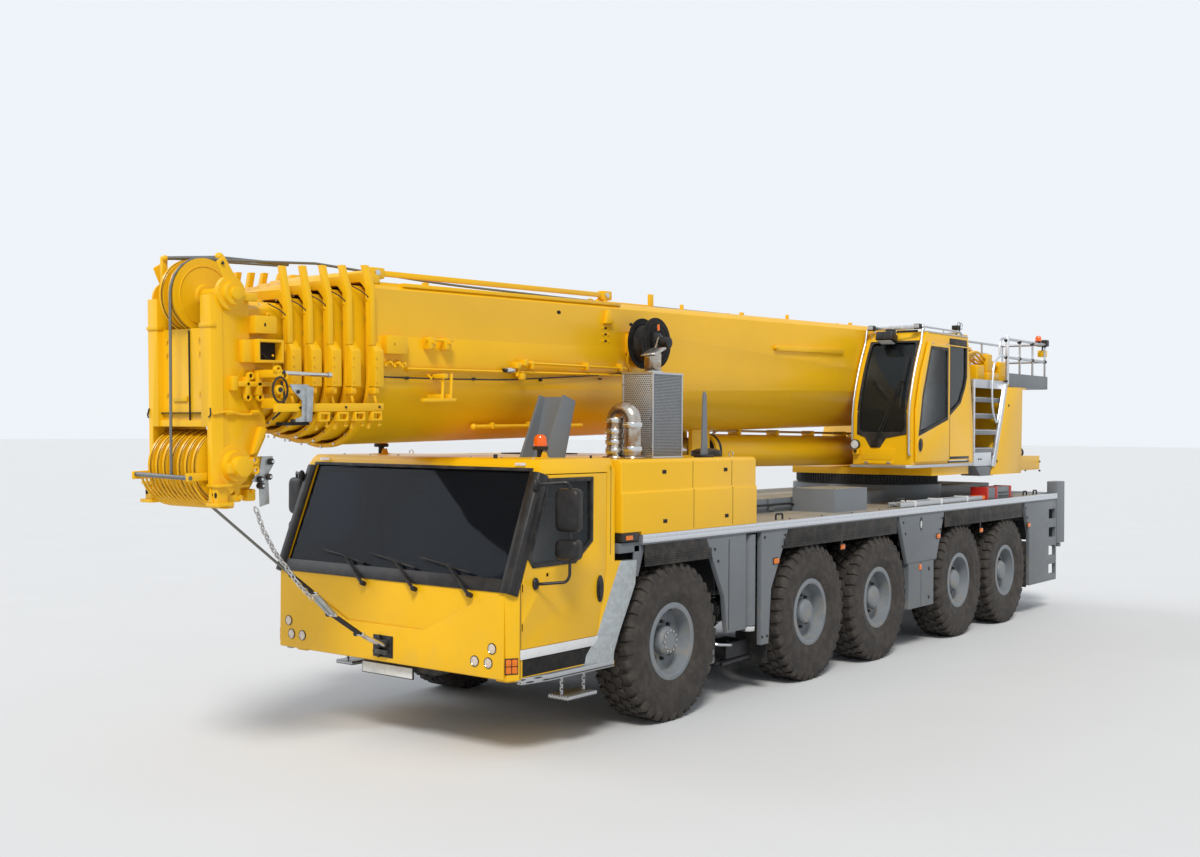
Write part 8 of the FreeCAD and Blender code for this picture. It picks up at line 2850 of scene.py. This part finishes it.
@dataclass
class TowLine:
    """The taut rope from the head to the towing jaw at the front, and the chain that hangs beside it."""

    top: Point = (0.0, -4.07, 2.11)
    grip: Point = (0.0, -3.08, 1.356)
    link: Point = (0.0, -2.872, 1.165)
    bow: Point = (0.01, -2.571, 0.968)
    jaw: Point = (0.026, -2.33, 0.845)
    slack: Sequence[Point] = ((0.3, -3.898, 2.106), (0.25, -3.786, 1.929), (0.19, -3.623, 1.74),
                              (0.13, -3.467, 1.623), (0.08, -3.304, 1.468), (0.035, -3.116, 1.324))

    def build(self, _frame: dict) -> None:
        """Make the rope, the chain and their fittings, which ride on the carrier.
        """
        shape = Shape("tow_line", [ROPE, STEEL, STEEL_DARK, ZINC])
        top, grip, link, bow, jaw = (Vector(at(*spot))
                                     for spot in (self.top, self.grip, self.link, self.bow, self.jaw))
        way = (grip - top).normalized()
        shape.pipe([top, grip], 0.012, 0, sides=12)
        shape.rod(grip - way * 0.3, grip - way * 0.02, 0.02, 2, sides=14, tip=0.026, bevel=0.004)
        aside = Vector((0.032, 0.0, 0.0))
        for share in (-1.0, 1.0):
            shape.rod(grip + aside * share, link + aside * share, 0.019, 3, sides=12, bevel=0.005)
            shape.rod(link + aside * share * 0.7, bow + aside * share * 0.7, 0.014, 2, sides=12,
                      bevel=0.004)
        for spot in (grip, link, bow):
            shape.rod(spot - aside * 1.7, spot + aside * 1.7, 0.017, 1, sides=12, bevel=0.003)
            shape.dome(spot - aside * 1.7, 0.024, 2, fineness=12)
        for share in (-1.0, 1.0):
            shape.pipe([bow, bow.lerp(jaw, 0.35) + aside * share * 1.3, jaw + aside * share * 1.1], 0.013,
                       1, sides=10, bend=0.04)
        shape.rod(jaw - aside * 1.6, jaw + aside * 1.6, 0.018, 2, sides=12, bevel=0.003)
        self.chain(shape, [Vector(at(*spot)) for spot in self.slack])
        shape.finish("carrier")

    @staticmethod
    def chain(shape: Shape, route: Sequence[Vector]) -> None:
        """Lay a chain of oval links along a route.

        Args:
            shape: What takes the links.
            route: The points that the chain passes.
        """
        pitch = 0.052
        turned = 0
        for start, end in zip(route, route[1:]):
            run = end - start
            count = max(1, round(run.length / pitch))
            lie = run.to_track_quat("Y", "Z").to_matrix().to_4x4()
            for index in range(count):
                ring = ring_form(0.018, 0.0065, 6, 14)
                bmesh.ops.scale(ring, vec=(1.0, 1.9, 1.0), verts=ring.verts)
                roll = Matrix.Rotation(math.pi / 2 * (turned % 2), 4, "Y")
                shape.add(ring, 1, Matrix.Translation(start + run * ((index + 0.5) / count)) @ lie @ roll)
                turned += 1


# Camera, lamps and floor


@dataclass
class Studio:
    """The camera at the photograph's place, a pale floor and soft lamps."""

    eye: Point = (8.574, -13.502, 2.724)
    yaw: float = -37.61
    pitch: float = 0.005
    roll: float = 0.358
    lens: float = 40.36
    sensor: float = 36.0
    floor_size: float = 240.0
    key_strength: float = 2.27
    fill_strength: float = 0.72
    sky_strength: float = 0.58

    def camera(self) -> None:
        """Set up the camera."""
        yaw = math.radians(self.yaw)
        pitch = math.radians(self.pitch)
        roll = math.radians(self.roll)
        ahead = Vector((math.cos(pitch) * math.sin(yaw), math.cos(pitch) * math.cos(yaw), math.sin(pitch)))
        level = Vector((math.cos(yaw), -math.sin(yaw), 0.0))
        upright = level.cross(ahead)
        right = level * math.cos(roll) + upright * math.sin(roll)
        up = upright * math.cos(roll) - level * math.sin(roll)
        data = bpy.data.cameras.new("camera")
        data.lens = self.lens
        data.sensor_width = self.sensor
        data.clip_end = 500.0
        camera = bpy.data.objects.new("camera", data)
        turn = Matrix((right, up, -ahead)).transposed().to_4x4()
        camera.matrix_world = Matrix.Translation(Vector(self.eye)) @ turn
        bpy.context.scene.collection.objects.link(camera)
        bpy.context.scene.camera = camera

    def lamp(self, name: str, strength: float, toward: Sequence[float], spread: float,
             colour: Colour) -> None:
        """Add one far, soft lamp.

        Args:
            name: The lamp's name.
            strength: Its strength.
            toward: The direction that its light travels.
            spread: Its apparent width in degrees.
            colour: Its colour.
        """
        data = bpy.data.lights.new(name, "SUN")
        data.energy = strength
        data.angle = math.radians(spread)
        data.color = colour
        lamp = bpy.data.objects.new(name, data)
        lamp.rotation_euler = Vector(toward).to_track_quat("-Z", "Y").to_euler()
        bpy.context.scene.collection.objects.link(lamp)

    def sky(self) -> None:
        """Set up the pale surroundings, which also show in metal and glass."""
        world = bpy.data.worlds.new("surroundings")
        world.use_nodes = True
        tree = world.node_tree
        back = tree.nodes["Background"]
        back.inputs["Color"].default_value = (0.86, 0.90, 0.95, 1.0)
        path = add_node(tree, "ShaderNodeLightPath", {}, {})
        seen = Wire(tree, path.outputs["Is Camera Ray"]) + Wire(tree, path.outputs["Is Glossy Ray"])
        seen = (seen + Wire(tree, path.outputs["Is Transmission Ray"])).join("MINIMUM", 1.0)
        feed(tree, seen * (1.0 - self.sky_strength) + self.sky_strength, back.inputs["Strength"])
        bpy.context.scene.world = world

    def floor(self) -> None:
        """Lay the pale floor."""
        mesh = bpy.data.meshes.new("studio_floor")
        part = bmesh.new()
        bmesh.ops.create_grid(part, x_segments=2, y_segments=2, size=self.floor_size)
        part.to_mesh(mesh)
        part.free()
        floor = bpy.data.objects.new("studio_floor", mesh)
        bpy.context.scene.collection.objects.link(floor)
        graph = Graph("pale floor")
        cloud = graph.noise(0.5, 4.0)
        graph.set(Base_Color=cloud.paint((0.66, 0.67, 0.68), (0.70, 0.71, 0.72)), Roughness=0.85)
        mesh.materials.append(graph.material)

    def build(self) -> None:
        """Set up everything round the crane."""
        self.camera()
        self.lamp("key_lamp", self.key_strength, (-0.42, 0.55, -0.72), 14.0, (1.0, 0.97, 0.92))
        self.lamp("fill_lamp", self.fill_strength, (0.75, 0.30, -0.55), 40.0, (0.92, 0.95, 1.0))
        self.sky()
        self.floor()
        bpy.context.scene.view_settings.view_transform = "Standard"


def builders() -> list:
    """The crane's sub-assemblies, in the order in which they are built."""
    return [Wheels(), DriverCab(), EngineCover(), Deck(), Superstructure(), CraneCab(), Boom(), BoomHead(),
            TowLine()]


# Everything in order


def paint_packed(frame: dict) -> None:
    """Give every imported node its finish, before pieces replace some of them.
    """
    rules = (("tyre_", TYRE), ("rim_", RIM_GREY), ("knuckle_", DARK), ("axle_beams", DARK),
             ("chassis_frame", GREY), ("deck", GREY), ("outrigger_beam", GREY), ("outrigger_jack", STEEL),
             ("driver_cab_glass", SCREEN_GLASS), ("driver_cab_interior", SEAT), ("engine_block", IRON),
             ("exhaust_stack", STAINLESS), ("winch_drum", DARK), ("crane_cab_glass", CAB_GLASS),
             ("luff_rod", STEEL))
    for node in frame["nodes"]:
        finish = next((finish for start, finish in rules if node.startswith(start)), YELLOW)
        paint_node(frame, node, finish)


def main() -> None:
    """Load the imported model, dress it and set up the studio."""
    logging.basicConfig(level=logging.INFO, format="%(message)s")
    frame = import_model()
    paint_packed(frame)
    for builder in builders():
        builder.build(frame)
    Studio().build()


if __name__ == "__main__":
    main()
